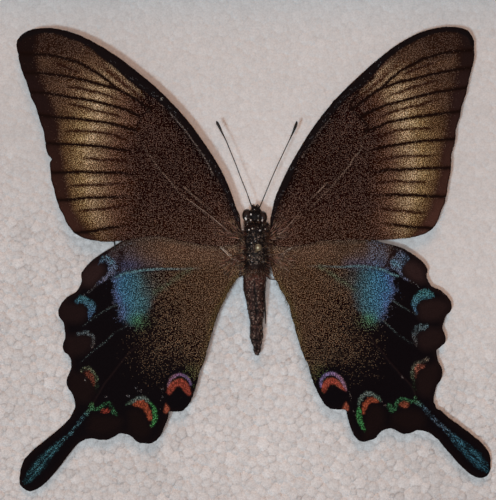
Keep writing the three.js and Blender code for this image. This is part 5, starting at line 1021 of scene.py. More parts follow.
class Nodes:
    """A short way to build a material's node tree."""

    def __init__(self, name):
        self.mat = bpy.data.materials.new(name)
        self.mat.use_nodes = True
        self.t = self.mat.node_tree
        self.t.nodes.clear()
        self.out = self.t.nodes.new("ShaderNodeOutputMaterial")
        self.bsdf = self.t.nodes.new("ShaderNodeBsdfPrincipled")
        self.t.links.new(self.bsdf.outputs[0], self.out.inputs[0])

    def new(self, kind, **kw):
        n = self.t.nodes.new(kind)
        for k, v in kw.items():
            setattr(n, k, v)
        return n

    def link(self, a, b):
        self.t.links.new(a, b)

    def put(self, node, key, value):
        if hasattr(value, "is_output"):
            self.link(value, node.inputs[key])
        else:
            node.inputs[key].default_value = value

    def math(self, op, a, b=None, c=None, clamp=False):
        n = self.new("ShaderNodeMath", operation=op, use_clamp=clamp)
        for i, v in enumerate((a, b, c)):
            if v is not None:
                self.put(n, i, v)
        return n.outputs[0]

    def mix(self, fac, a, b, blend="MIX"):
        n = self.new("ShaderNodeMix", data_type="RGBA", blend_type=blend)
        self.put(n, 0, fac)
        self.put(n, 6, a if hasattr(a, "is_output") else (*a, 1.0))
        self.put(n, 7, b if hasattr(b, "is_output") else (*b, 1.0))
        return n.outputs[2]

    def coords(self, scale=(1, 1, 1)):
        tc = self.new("ShaderNodeTexCoord")
        m = self.new("ShaderNodeMapping")
        self.link(tc.outputs["Object"], m.inputs["Vector"])
        m.inputs["Scale"].default_value = scale
        return m.outputs[0]

    def noise(self, vec, scale, detail=2.0, rough=0.5, dist=0.0):
        n = self.new("ShaderNodeTexNoise")
        self.link(vec, n.inputs["Vector"])
        n.inputs["Scale"].default_value = scale
        n.inputs["Detail"].default_value = detail
        n.inputs["Roughness"].default_value = rough
        n.inputs["Distortion"].default_value = dist
        return n.outputs["Fac"]

    def voronoi(self, vec, scale, feature="F1", rand=1.0):
        n = self.new("ShaderNodeTexVoronoi", feature=feature)
        self.link(vec, n.inputs["Vector"])
        n.inputs["Scale"].default_value = scale
        n.inputs["Randomness"].default_value = rand
        return n

    def ramp(self, fac, stops):
        n = self.new("ShaderNodeValToRGB")
        self.link(fac, n.inputs[0])
        e = n.color_ramp.elements
        while len(e) < len(stops):
            e.new(0.5)
        for el, (p, c) in zip(e, stops):
            el.position = p
            el.color = (*c, 1.0) if len(c) == 3 else c
        return n.outputs[0]

    def bump(self, height, strength, distance):
        n = self.new("ShaderNodeBump")
        self.link(height, n.inputs["Height"])
        n.inputs["Strength"].default_value = strength
        n.inputs["Distance"].default_value = distance
        self.link(n.outputs[0], self.bsdf.inputs["Normal"])
        return n.outputs[0]

    def set(self, **kw):
        for k, v in kw.items():
            self.put(self.bsdf, k.replace("_", " "), v)


# ------------------------------------------------------------------------------------------------
# materials
# ------------------------------------------------------------------------------------------------
def wing_material(name):
    m = Nodes(name)
    g = m.new("ShaderNodeAttribute", attribute_name="ground")
    s = m.new("ShaderNodeAttribute", attribute_name="scales")
    vec = m.coords()
    cells = m.voronoi(vec, 3800.0, rand=0.95)
    cells.voronoi_dimensions = "2D"
    sep = m.new("ShaderNodeSeparateColor")
    m.link(cells.outputs["Color"], sep.inputs[0])
    r1, r2, r3 = sep.outputs[0], sep.outputs[1], sep.outputs[2]
    # one spot a cell: the density sets how many cells hold a spot, and then how wide the spots grow
    share = m.math("MULTIPLY", s.outputs["Alpha"], 4.5, clamp=True)
    on = m.math("MULTIPLY_ADD", m.math("SUBTRACT", share, r1), 14.0, 0.5, clamp=True)
    wide = m.math("SQRT", m.math("MULTIPLY", m.math("MAXIMUM", s.outputs["Alpha"], 0.222), 0.3183))
    spot = m.math("MULTIPLY_ADD", m.math("SUBTRACT", wide, cells.outputs["Distance"]), 6.5, 0.5, clamp=True)
    cover = m.math("MULTIPLY", on, spot)
    # each scale is a little lighter or darker and leans to red or green
    tone = m.math("MULTIPLY_ADD", r2, 1.36, 0.32)
    lean = m.mix(r3, (1.04, 1.0, 0.93), (0.96, 1.02, 1.05))
    tinted = m.mix(1.0, s.outputs["Color"], lean, "MULTIPLY")
    grey = m.new("ShaderNodeCombineColor")
    for i in range(3):
        m.link(tone, grey.inputs[i])
    tinted = m.mix(1.0, tinted, grey.outputs[0], "MULTIPLY")
    n1 = m.noise(vec, 5200.0, 2.0, 0.6)
    gt = m.math("MULTIPLY_ADD", n1, 1.3, 0.35)
    grey2 = m.new("ShaderNodeCombineColor")
    for i in range(3):
        m.link(gt, grey2.inputs[i])
    ground = m.mix(1.0, g.outputs["Color"], grey2.outputs[0], "MULTIPLY")
    m.link(m.mix(cover, ground, tinted), m.bsdf.inputs["Base Color"])
    m.set(Roughness=0.62)
    m.bsdf.inputs["Specular IOR Level"].default_value = 0.02
    m.bump(cover, 0.3, 0.00004)
    return m.mat


def plain_material(name, ramp_stops, scale, rough=0.6, spec=0.3, bump=0.3, dist=0.0001, detail=4.0):
    m = Nodes(name)
    vec = m.coords()
    n = m.noise(vec, scale, detail, 0.62)
    m.link(m.ramp(n, ramp_stops), m.bsdf.inputs["Base Color"])
    m.set(Roughness=rough)
    m.bsdf.inputs["Specular IOR Level"].default_value = spec
    n2 = m.noise(vec, scale * 2.3, detail, 0.6)
    m.bump(n2, bump, dist)
    return m.mat


def foam_material():
    m = Nodes("foam")
    vec = m.coords()
    a = m.new("ShaderNodeAttribute", attribute_name="bead")
    fine = m.noise(vec, 2600.0, 2.0, 0.6)
    mid = m.noise(vec, 800.0, 2.0, 0.55)
    big = m.noise(vec, 26.0, 3.0, 0.5)
    rough = m.ramp(fine, [(0.28, (0.712, 0.702, 0.698)), (0.72, (0.965, 0.957, 0.953))])
    calm = m.ramp(fine, [(0.28, (0.790, 0.780, 0.776)), (0.72, (0.890, 0.882, 0.878))])
    grain = m.new("ShaderNodeAttribute", attribute_name="grain")
    base = m.mix(grain.outputs["Fac"], calm, rough)
    cloud = m.ramp(mid, [(0.30, (0.955, 0.953, 0.952)), (0.70, (1.0, 1.0, 1.0))])
    base = m.mix(1.0, base, cloud, "MULTIPLY")
    # painted shade in the creases between the beads, broken here and there
    broken = m.noise(vec, 420.0, 1.0, 0.5)
    edge = m.math("ADD", a.outputs["Alpha"], m.math("MULTIPLY_ADD", broken, 0.62, -0.29))
    tone = m.ramp(edge, [(0.0, (0.68, 0.670, 0.668)), (0.09, (0.825, 0.819, 0.817)), (0.24, (0.945, 0.943, 0.942)), (0.50, (1.0, 1.0, 1.0)), (1.0, (1.03, 1.03, 1.03))])
    base = m.mix(1.0, base, tone, "MULTIPLY")
    # painted glints: a few small bright spots painted into the colour
    cells = m.voronoi(vec, 850.0, "F1", 1.0)
    sep = m.new("ShaderNodeSeparateColor")
    m.link(cells.outputs["Color"], sep.inputs[0])
    painted_glint = m.math("MULTIPLY", m.math("GREATER_THAN", sep.outputs[0], 0.84), m.math("MULTIPLY_ADD", cells.outputs["Distance"], -6.0, 1.3, clamp=True))
    painted_glint = m.math("MULTIPLY", painted_glint, m.math("MULTIPLY_ADD", grain.outputs["Fac"], 0.65, 0.35))
    # each bead's tone, which carries the painted light and shade laid over the sheet
    base = m.mix(1.0, base, a.outputs["Color"], "MULTIPLY")
    # the painted glints go on top
    base = m.mix(m.math("MULTIPLY", painted_glint, 0.90), base, (1.0, 0.995, 0.99))
    wash = m.ramp(big, [(0.3, (0.955, 0.948, 0.946)), (0.7, (0.988, 0.988, 0.988))])
    m.link(m.mix(1.0, base, wash, "MULTIPLY"), m.bsdf.inputs["Base Color"])
    m.set(Roughness=0.46)
    m.bsdf.inputs["Specular IOR Level"].default_value = 0.25
    m.bump(m.math("MULTIPLY_ADD", fine, 0.6, m.math("MULTIPLY", mid, 0.8)), 0.28, 0.00010)
    return m.mat


def wood_material(name, along):
    """Straight-grained stained wood; along is 0 for rails that run in x and 1 for those in y."""
    m = Nodes(name)
    stretch = (0.035, 1.0, 1.0) if along == 0 else (1.0, 0.035, 1.0)
    vec = m.coords(stretch)
    flow = m.noise(vec, 210.0, 5.0, 0.58, 0.3)
    slow = m.noise(vec, 45.0, 2.0, 0.5)
    wave = m.new("ShaderNodeTexWave", wave_type="BANDS", bands_direction="DIAGONAL", wave_profile="SIN")
    m.link(vec, wave.inputs["Vector"])
    wave.inputs["Scale"].default_value = 62.0
    wave.inputs["Distortion"].default_value = 4.0
    wave.inputs["Detail"].default_value = 2.0
    wave.inputs["Detail Scale"].default_value = 0.8
    grain = m.math("MULTIPLY_ADD", wave.outputs["Fac"], 0.20, m.math("MULTIPLY_ADD", flow, 0.55, m.math("MULTIPLY", slow, 0.30)))
    base = m.ramp(grain, [(0.34, (0.120, 0.058, 0.028)), (0.48, (0.178, 0.090, 0.044)), (0.60, (0.222, 0.117, 0.058)), (0.76, (0.275, 0.152, 0.078))])
    pores = m.noise(m.coords((0.03, 1.0, 1.0) if along == 0 else (1.0, 0.03, 1.0)), 1500.0, 2.0, 0.6)
    pk = m.math("MULTIPLY_ADD", pores, -7.0, 3.0, clamp=True)
    base = m.mix(m.math("MULTIPLY", pk, 0.55), base, (0.055, 0.026, 0.013))
    m.link(base, m.bsdf.inputs["Base Color"])
    r = m.math("MULTIPLY_ADD", flow, 0.22, 0.34)
    m.link(r, m.bsdf.inputs["Roughness"])
    m.bsdf.inputs["Specular IOR Level"].default_value = 0.45
    h = m.math("MULTIPLY_ADD", pk, -0.8, m.math("MULTIPLY", grain, 0.35))
    m.bump(h, 0.35, 0.00012)
    return m.mat


def hardboard_material():
    m = Nodes("hardboard")
    vec = m.coords()
    fib = m.noise(m.coords((1.0, 0.35, 1.0)), 900.0, 5.0, 0.7, 1.5)
    big = m.noise(vec, 30.0, 3.0, 0.5)
    base = m.ramp(fib, [(0.3, (0.085, 0.045, 0.024)), (0.55, (0.16, 0.088, 0.048)), (0.75, (0.235, 0.14, 0.08))])
    wash = m.ramp(big, [(0.3, (0.82, 0.82, 0.82)), (0.7, (1.0, 1.0, 1.0))])
    m.link(m.mix(1.0, base, wash, "MULTIPLY"), m.bsdf.inputs["Base Color"])
    m.set(Roughness=0.72)
    grid = m.voronoi(vec, 700.0)
    h = m.math("MULTIPLY_ADD", fib, 0.6, m.math("MULTIPLY", grid.outputs["Distance"], 0.5))
    m.bump(h, 0.6, 0.0002)
    return m.mat


def brass_material():
    m = Nodes("pin_brass")
    vec = m.coords()
    n = m.noise(vec, 1600.0, 3.0, 0.6)
    m.link(m.ramp(n, [(0.3, (0.64, 0.52, 0.33)), (0.7, (0.80, 0.69, 0.47))]), m.bsdf.inputs["Base Color"])
    m.set(Metallic=1.0)
    m.link(m.math("MULTIPLY_ADD", n, 0.22, 0.36), m.bsdf.inputs["Roughness"])
    m.bump(n, 0.1, 0.00003)
    return m.mat


def tinted_material(name, scale, dark, light, rough, spec, fleck=0.0, fleck_colour=(0.4, 0.42, 0.46), bump=0.5, dist=0.0001):
    """A surface that takes its colour from the points' tint, grained by noise, with a share of pale flecks."""
    m = Nodes(name)
    vec = m.coords()
    a = m.new("ShaderNodeAttribute", attribute_name="tint")
    n = m.noise(vec, scale, 3.0, 0.62)
    grain = m.ramp(n, [(0.30, (dark, dark, dark)), (0.52, (1.0, 1.0, 1.0)), (0.74, (light, light, light))])
    base = m.mix(1.0, a.outputs["Color"], grain, "MULTIPLY")
    if fleck:
        cells = m.voronoi(vec, 3600.0)
        sep = m.new("ShaderNodeSeparateColor")
        m.link(cells.outputs["Color"], sep.inputs[0])
        on = m.math("MULTIPLY_ADD", m.math("SUBTRACT", m.math("MULTIPLY", a.outputs["Alpha"], fleck), sep.outputs[0]), 30.0, 0.5, clamp=True)
        base = m.mix(on, base, fleck_colour)
    m.link(base, m.bsdf.inputs["Base Color"])
    m.set(Roughness=rough)
    m.bsdf.inputs["Specular IOR Level"].default_value = spec
    m.bump(n, bump, dist)
    return m.mat


MAT_FORE = wing_material("forewing_scales")
MAT_HIND = wing_material("hindwing_scales")
MAT_FOAM = foam_material()
MAT_HORN = plain_material("cuticle", [(0.3, (0.008, 0.006, 0.005)), (0.7, (0.028, 0.019, 0.015))], 2500.0, 0.42, 0.4, 0.25, 0.0001)
MAT_WHITE = plain_material("white_scales_and_painted_glints", [(0.3, (0.70, 0.67, 0.65)), (0.7, (0.94, 0.92, 0.90))], 6000.0, 0.7, 0.2, 0.4, 0.0001)
MAT_THORAX = tinted_material("thorax_scales", 2600.0, 0.5, 2.2, 0.6, 0.22, 0.15, (0.30, 0.235, 0.200))
MAT_ABDOMEN = tinted_material("abdomen_skin", 2300.0, 0.06, 4.0, 0.6, 0.20, 0.13, (0.25, 0.180, 0.148), 0.9, 0.0002)
MAT_EYES = tinted_material("eye_facets", 5200.0, 0.75, 1.35, 0.20, 0.5, 0.0, bump=0.2, dist=0.00004)
MAT_HAIR = tinted_material("hair", 900.0, 0.7, 1.4, 0.55, 0.25, 0.0, bump=0.1, dist=0.00005)
MAT_BRASS = brass_material()
MAT_WOOD_X = wood_material("wood_x", 0)
MAT_WOOD_Y = wood_material("wood_y", 1)
MAT_BOARD = hardboard_material()


# ------------------------------------------------------------------------------------------------
# wings: a fine upper skin with veins and pleats, a coarser under skin and a rim
# ------------------------------------------------------------------------------------------------
def sheet_height(xmm, rise):
    # the left forewing was set a little flatter than the others
    droop = np.where((np.asarray(xmm) < BODY_X) & (rise > 3.6), 0.7, 1.6)
    return FOAM_TOP + rise - droop * (np.abs(xmm - BODY_X) / 50.0) ** 1.5


def fill(boundary, step, margin, seed):
    lo, hi = boundary.min(0), boundary.max(0)
    rng = np.random.default_rng(seed)
    ys = np.arange(lo[1], hi[1], step * 0.866)
    rows = []
    for k, yy in enumerate(ys):
        xs = np.arange(lo[0] + (0.5 * step if k % 2 else 0), hi[0], step)
        rows.append(np.c_[xs, np.full(len(xs), yy)])
    g = np.vstack(rows) + rng.uniform(-0.16, 0.16, (sum(len(r) for r in rows), 2)) * step
    g = g[inside(g, boundary)]
    d, _ = near(g, np.vstack([boundary, boundary[:1]]), margin * 2)
    return g[d > margin]


def triangulate(boundary, inner):
    pts = np.vstack([boundary, inner])
    nb = len(boundary)
    edges = [(i, (i + 1) % nb) for i in range(nb)]
    v, e, t, ov, oe, of_ = geometry.delaunay_2d_cdt([Vector((float(p[0]), float(p[1]))) for p in pts], edges, [], 1, 1e-6)
    return np.array([(q.x, q.y) for q in v]), np.array([tuple(x) for x in t], int)


def wing(name, text, paint, side, rise, material, step):
    b = outline(text)
    area = 0.5 * np.sum(b[:, 0] * np.roll(b[:, 1], -1) - np.roll(b[:, 0], -1) * b[:, 1])
    if area > 0:                     # chart y runs down, so turn it round
        b = b[::-1]
    # a slightly ragged edge
    rng = np.random.default_rng(len(b))
    nrm = np.roll(b, -1, 0) - np.roll(b, 1, 0)
    nrm = np.c_[nrm[:, 1], -nrm[:, 0]] / (np.hypot(*nrm.T)[:, None] + 1e-9)
    b = b + nrm * rng.normal(0, 0.10, (len(b), 1))
    nb = len(b)
    top, tri = triangulate(b, fill(b, step, step * 0.55, 3))
    low, ltri = triangulate(b, fill(b, 4.0, 2.0, 4))
    assert len(top) >= nb and np.abs(top[:nb] - b).max() < 1e-3 and np.abs(low[:nb] - b).max() < 1e-3
    edge, _ = near(top, np.vstack([b, b[:1]]), 400)
    pt, lift = paint(top, edge, side)
    # slow waves of the dried membrane
    wave = 0.10 * blotch(top, 34, 21) + 0.05 * blotch(top, 17, 22)
    z0 = sheet_height((top[:, 0] - 248) * UNIT, rise)
    z = z0 + wave + lift * np.clip(edge / 3, 0, 1)
    x, y = chart_to_mm(top, z)
    thin = 0.05
    v_top = np.c_[x, y, z + thin]
    wl = 0.10 * blotch(low, 34, 21) + 0.05 * blotch(low, 17, 22)
    zl = sheet_height((low[:, 0] - 248) * UNIT, rise) + wl
    xl, yl = chart_to_mm(low, zl)
    v_low = np.c_[xl, yl, zl - thin]
    v_low[:nb, :2] = v_top[:nb, :2]
    nt = len(v_top)
    ring = np.arange(nb)
    nxt = (ring + 1) % nb

    def upward(v, t):
        a = v[t[:, 1]] - v[t[:, 0]]
        c = v[t[:, 2]] - v[t[:, 0]]
        bad = (a[:, 0] * c[:, 1] - a[:, 1] * c[:, 0]) < 0
        t = t.copy()
        t[bad] = t[bad][:, ::-1]
        return t

    tri = upward(v_top, tri)
    ltri = upward(v_low, ltri)[:, ::-1] + nt
    wall = np.vstack([np.c_[ring, nxt + nt, nxt], np.c_[ring, ring + nt, nxt + nt]])
    # the outline runs clockwise or anticlockwise; make the rim face out
    sgn = np.sum(v_top[:nb, 0] * np.roll(v_top[:nb, 1], -1) - np.roll(v_top[:nb, 0], -1) * v_top[:nb, 1])
    if sgn < 0:
        wall = wall[:, ::-1]
    ob = make_mesh(name + "_skin", np.vstack([v_top, v_low]), np.vstack([tri, ltri, wall]))
    lp, _ = paint(low, near(low, np.vstack([b, b[:1]]), 400)[0], side)
    ground = np.vstack([pt.ground, lp.ground * 1.3 + 0.004])
    scale = np.vstack([pt.scale, lp.scale * 0.6])
    dens = np.r_[pt.dens, lp.dens * 0.7]
    colour_attribute(ob.data, "ground", np.c_[ground, np.ones(len(ground))])
    colour_attribute(ob.data, "scales", np.c_[scale, np.clip(dens, 0, 1)])
    settle(ob, material, name)
    return ob


W = {}
STEP = 1.0
W["fl"] = wing("forewing_left", FOREWING_LEFT, forewing_paint, "left", 4.0, MAT_FORE, STEP)
W["fr"] = wing("forewing_right", FOREWING_RIGHT, forewing_paint, "right", 4.0, MAT_FORE, STEP)
W["hl"] = wing("hindwing_left", HINDWING_LEFT, hindwing_paint, "left", 3.2, MAT_HIND, STEP)
W["hr"] = wing("hindwing_right", HINDWING_RIGHT, hindwing_paint, "right", 3.2, MAT_HIND, STEP)


# ------------------------------------------------------------------------------------------------
# foam: pressed beads of mixed size, each a low dome that meets its neighbours in a soft crease
# ------------------------------------------------------------------------------------------------
def rough_at(x, y):
    """How coarse the cut face is: smooth at the far side and on the right, coarse on the near left."""
    return ramp((250.0 - y / UNIT) - 0.35 * (x / UNIT), 205.0, 335.0)


def foam_board():
    rng = np.random.default_rng(77)
    half = 67.7
    lim = half + 3
    cell = 1.0
    size = int(2 * lim / cell) + 2
    bins = [[[] for _ in range(size)] for _ in range(size)]
    pts, rad = [], []
    for attempt, radius in ((5200, 1.06), (18000, 0.93), (34000, 0.80), (48000, 0.66), (60000, 0.53)):
        for cx, cy in rng.uniform(-lim, lim, (attempt, 2)):
            i, j = int((cx + lim) / cell), int((cy + lim) / cell)
            ok = True
            for a in range(max(0, i - 2), min(size, i + 3)):
                for k in (k for b in range(max(0, j - 2), min(size, j + 3)) for k in bins[a][b]):
                    if (pts[k][0] - cx) ** 2 + (pts[k][1] - cy) ** 2 < ((rad[k] + radius) * 0.95) ** 2:
                        ok = False
                        break
                if not ok:
                    break
            if ok:
                bins[i][j].append(len(pts))
                pts.append((cx, cy))
                rad.append(radius)
    xs = np.r_[np.linspace(-half, -55.4, 12, endpoint=False), np.linspace(-55.4, 55.4, 395), np.linspace(55.4, half, 13)[1:]]
    n = len(xs)
    high = np.full((n, n), -9.0)
    next_high = np.full((n, n), -9.0)
    tint = np.ones((n, n))
    steep = np.ones((n, n))
    for (cx, cy), r in zip(pts, rad):
        reach = 2.0 * r
        i0, i1 = np.searchsorted(xs, (cx - reach, cx + reach))
        j0, j1 = np.searchsorted(xs, (cy - reach, cy + reach))
        relief = 0.42 + 0.58 * float(rough_at(cx, cy))
        top = rng.normal(0.0, 0.020) * relief
        deep = 0.095 * relief * rng.uniform(0.7, 1.3)
        tx, ty = rng.normal(0, 0.024, 2) * relief
        t = 1.0 + rng.normal(0, 0.036) * relief
        if i1 <= i0 or j1 <= j0:
            continue
        gx, gy = xs[i0:i1][:, None] - cx, xs[j0:j1][None, :] - cy
        q = np.sqrt(gx * gx + gy * gy) / r
        h = top - deep * q ** 3.6 + tx * gx + ty * gy
        was, nxt = high[i0:i1, j0:j1], next_high[i0:i1, j0:j1]
        win = h > was
        nxt[:] = np.where(win, was, np.maximum(nxt, h))
        was[win] = h[win]
        tint[i0:i1, j0:j1][win] = t
        steep[i0:i1, j0:j1][win] = 6.7 * deep / r
    # about how far each point is from the nearest crease
    gap = np.clip((high - np.maximum(next_high, -2.0)) / steep / 0.90, 0, 1)
    # the upper part was cut smoother and hardly shows its creases, so the painted crease shade is weaker there
    coarse = rough_at(xs[:, None], xs[None, :])
    gap = 1 - (1 - gap) * (0.62 + 0.38 * coarse)
    # painted light and shade: broad lighter and darker patches across the sheet, lighter on the right and low in the
    # middle, darker at the corners, along the top and beside the forewing tips
    px, py = xs[:, None] / UNIT + 248.0, 250.0 - xs[None, :] / UNIT
    for bx, by, size, k in ((485, 300, 85, 0.040), (250, 440, 90, 0.065), (455, 495, 62, -0.085), (140, 20, 90, -0.02), (0, 140, 60, -0.075), (125, 475, 50, -0.050), (248, 140, 60, -0.045), (245, 30, 60, -0.02), (80, 8, 60, -0.040), (450, 8, 45, -0.035)):
        tint = tint * (1 + k * np.exp(-((px - bx) ** 2 + (py - by) ** 2) / size ** 2))
    # painted shade: a cooler tint beside the abdomen, where the warm light is cut off
    blue = np.exp(-((px - 254) / 40.0) ** 2 - ((py - 302) / 42.0) ** 2)
    high = np.maximum(high, -0.62)
    # slopes of the whole sheet, so that the two halves shade alike where they meet
    sx, sy = np.gradient(high, xs, xs)
    normal = np.stack([-sx, -sy, np.ones_like(sx)], -1)
    normal /= np.linalg.norm(normal, axis=-1, keepdims=True)
    half_n = n // 2
    for name, i0, i1 in (("foam_left", 0, half_n + 1), ("foam_right", half_n, n)):
        gx, gy = np.meshgrid(xs[i0:i1], xs, indexing="ij")
        w = i1 - i0
        top_v = np.c_[gx.ravel(), gy.ravel(), FOAM_TOP + high[i0:i1].ravel()]
        idx = np.arange(w * n).reshape(w, n)
        a, b, c, d = idx[:-1, :-1].ravel(), idx[1:, :-1].ravel(), idx[1:, 1:].ravel(), idx[:-1, 1:].ravel()
        ring = np.r_[idx[:-1, 0], idx[-1, :-1], idx[:0:-1, -1], idx[0, :0:-1]]
        m = len(ring)
        low = w * n + np.arange(m)
        flat = top_v[ring].copy()
        flat[:, 2] = 3.0
        nr, nl = np.roll(ring, -1), np.roll(low, -1)
        mid = w * n + m
        faces = np.vstack([np.c_[a, b, c], np.c_[a, c, d], np.c_[ring, low, nl], np.c_[ring, nl, nr], np.c_[low, np.full(m, mid), nl]])
        ob = make_mesh(name, np.vstack([top_v, flat, [[flat[:, 0].mean(), 0, 3.0]]]), faces)
        # the colour attribute carries each bead's tone with the painted light and shade, the painted cool shade, and
        # the crease distance for the painted crease shade
        tone = np.r_[tint[i0:i1].ravel(), np.ones(m + 1)]
        painted_cool_shade = np.r_[blue[i0:i1].ravel(), np.zeros(m + 1)]
        colour_attribute(ob.data, "bead", np.c_[tone * (1 - 0.112 * painted_cool_shade), tone * (1.004 - 0.016 * painted_cool_shade), tone * (1.014 + 0.042 * painted_cool_shade), np.r_[gap[i0:i1].ravel(), np.full(m + 1, 0.8)]])
        at = ob.data.attributes.new("grain", "FLOAT", "POINT")
        at.data.foreach_set("value", np.r_[0.28 + 0.72 * coarse[i0:i1].ravel(), np.full(m + 1, 0.5)].astype(np.float32))
        nn = np.vstack([normal[i0:i1].reshape(-1, 3), np.tile([0.0, 0.0, -1.0], (m + 1, 1))])
        per_corner = nn[faces.ravel()].reshape(-1, 3, 3)
        side_faces = np.zeros(len(faces), bool)
        side_faces[2 * len(a):] = True
        p3 = np.vstack([top_v, flat, [[flat[:, 0].mean(), 0, 3.0]]])[faces]
        fn = np.cross(p3[:, 1] - p3[:, 0], p3[:, 2] - p3[:, 0])
        fn /= np.linalg.norm(fn, axis=1, keepdims=True) + 1e-12
        per_corner[side_faces] = fn[side_faces][:, None, :]
        ob.data.normals_split_custom_set(per_corner.reshape(-1, 3).tolist())
        settle(ob, MAT_FOAM, "foam_board")


foam_board()


# ------------------------------------------------------------------------------------------------
# body
# ------------------------------------------------------------------------------------------------
def smooth_rows(rows, per):
    return spline_nd(np.array(rows, float), per)


def spline_nd(p, per):
    q = np.vstack([2 * p[0] - p[1], p, 2 * p[-1] - p[-2]])
    out = []
    for i in range(1, len(q) - 2):
        a, b, c, d = q[i - 1], q[i], q[i + 1], q[i + 2]
        t = np.linspace(0, 1, per, endpoint=False)[:, None]
        out.append(0.5 * (2 * b + (c - a) * t + (2 * a - 5 * b + 4 * c - d) * t ** 2 + (3 * b - a - 3 * c + d) * t ** 3))
    out.append(p[-1:])
    return np.vstack(out)


def tube(rows, sides, shape=None):
    """Rows of (centre, across, up) and radii to a closed skin. Returns verts and faces."""
    verts, faces = [], []
    for c, a, u, ra, ru in rows:
        for k in range(sides):
            t = 2 * math.pi * k / sides
            verts.append(c + a * (ra * math.cos(t)) + u * (ru * math.sin(t)))
    n = len(rows)
    for r in range(n - 1):
        for k in range(sides):
            i, j = r * sides + k, r * sides + (k + 1) % sides
            faces.append((i, j, j + sides, i + sides))
    for r, flip in ((0, True), (n - 1, False)):
        c = len(verts)
        verts.append(rows[r][0])
        for k in range(sides):
            i, j = r * sides + k, r * sides + (k + 1) % sides
            faces.append((j, i, c) if flip else (i, j, c))
    return np.array([tuple(v) for v in verts]), faces


X, Y, Z = Vector((1, 0, 0)), Vector((0, 1, 0)), Vector((0, 0, 1))


def body_rows(stations, per):
    rows = []
    for y, x, w, z, h in smooth_rows(stations, per):
        rows.append((Vector((x, y, FOAM_TOP + z)), X, Z, max(w, 0.02), max(h, 0.02)))
    return rows


def turn_out(verts, faces):
    six = 0.0
    for f in faces:
        a = verts[f[0]]
        for k in range(1, len(f) - 1):
            six += np.dot(a, np.cross(verts[f[k]], verts[f[k + 1]]))
    return faces if six > 0 else [f[::-1] for f in faces]


def ruffle(verts, size, amount, seed):
    """Push points in and out along their direction from the local middle by smooth noise."""
    out = []
    for v in verts:
        n = mnoise.noise(Vector((v[0] / size + seed, v[1] / size, v[2] / size)))
        n2 = mnoise.noise(Vector((v[0] / size * 2.7, v[1] / size * 2.7 + seed, v[2] / size * 2.7)))
        out.append(n * amount + n2 * amount * 0.5)
    return np.array(out)


HEAD = [
    [6.15, 1.75, 1.75, 3.8, 1.35], [6.7, 1.75, 1.95, 3.8, 1.6], [7.5, 1.75, 2.0, 3.8, 1.65],
    [8.2, 1.7, 1.42, 3.8, 1.45], [8.75, 1.7, 0.85, 3.75, 1.05], [9.1, 1.7, 0.42, 3.7, 0.55],
]
THORAX = [
    [6.02, 1.75, 1.5, 3.75, 1.25], [5.2, 1.75, 1.95, 3.75, 1.7], [4.0, 1.8, 2.2, 3.75, 2.0],
    [2.2, 1.8, 2.4, 3.75, 2.25], [0, 1.8, 2.45, 3.75, 2.35], [-2.2, 1.75, 2.45, 3.7, 2.3],
    [-3.9, 1.65, 2.4, 3.6, 2.15], [-4.8, 1.6, 2.3, 3.5, 2.0],
]
ABDOMEN = [
    [-4.95, 1.5, 2.3, 3.4, 1.95], [-6.0, 1.48, 2.5, 3.3, 2.1], [-8.75, 1.42, 2.4, 3.1, 2.05],
    [-10.9, 1.64, 2.08, 2.95, 1.85], [-13.1, 1.77, 1.88, 2.8, 1.7], [-15.3, 1.84, 1.45, 2.65, 1.4],
    [-17.5, 1.86, 1.43, 2.55, 1.35], [-19.0, 1.86, 1.4, 2.5, 1.3], [-20.35, 1.92, 1.1, 2.45, 1.05],
    [-21.2, 1.96, 0.72, 2.4, 0.75], [-21.9, 2.02, 0.81, 2.4, 0.75], [-23.0, 1.95, 0.35, 2.4, 0.35],
]


def tint_attribute(me, rgb, alpha=None):
    rgb = np.asarray(rgb, float)
    colour_attribute(me, "tint", np.c_[rgb, np.ones(len(rgb)) if alpha is None else alpha])


def chart_of(v):
    """Where points in mm are seen on the chart."""
    k = (CAM_Z - v[:, 2]) / (CAM_Z - ZREF)
    return v[:, 0] / k / UNIT + 248.0, 250.0 - v[:, 1] / k / UNIT


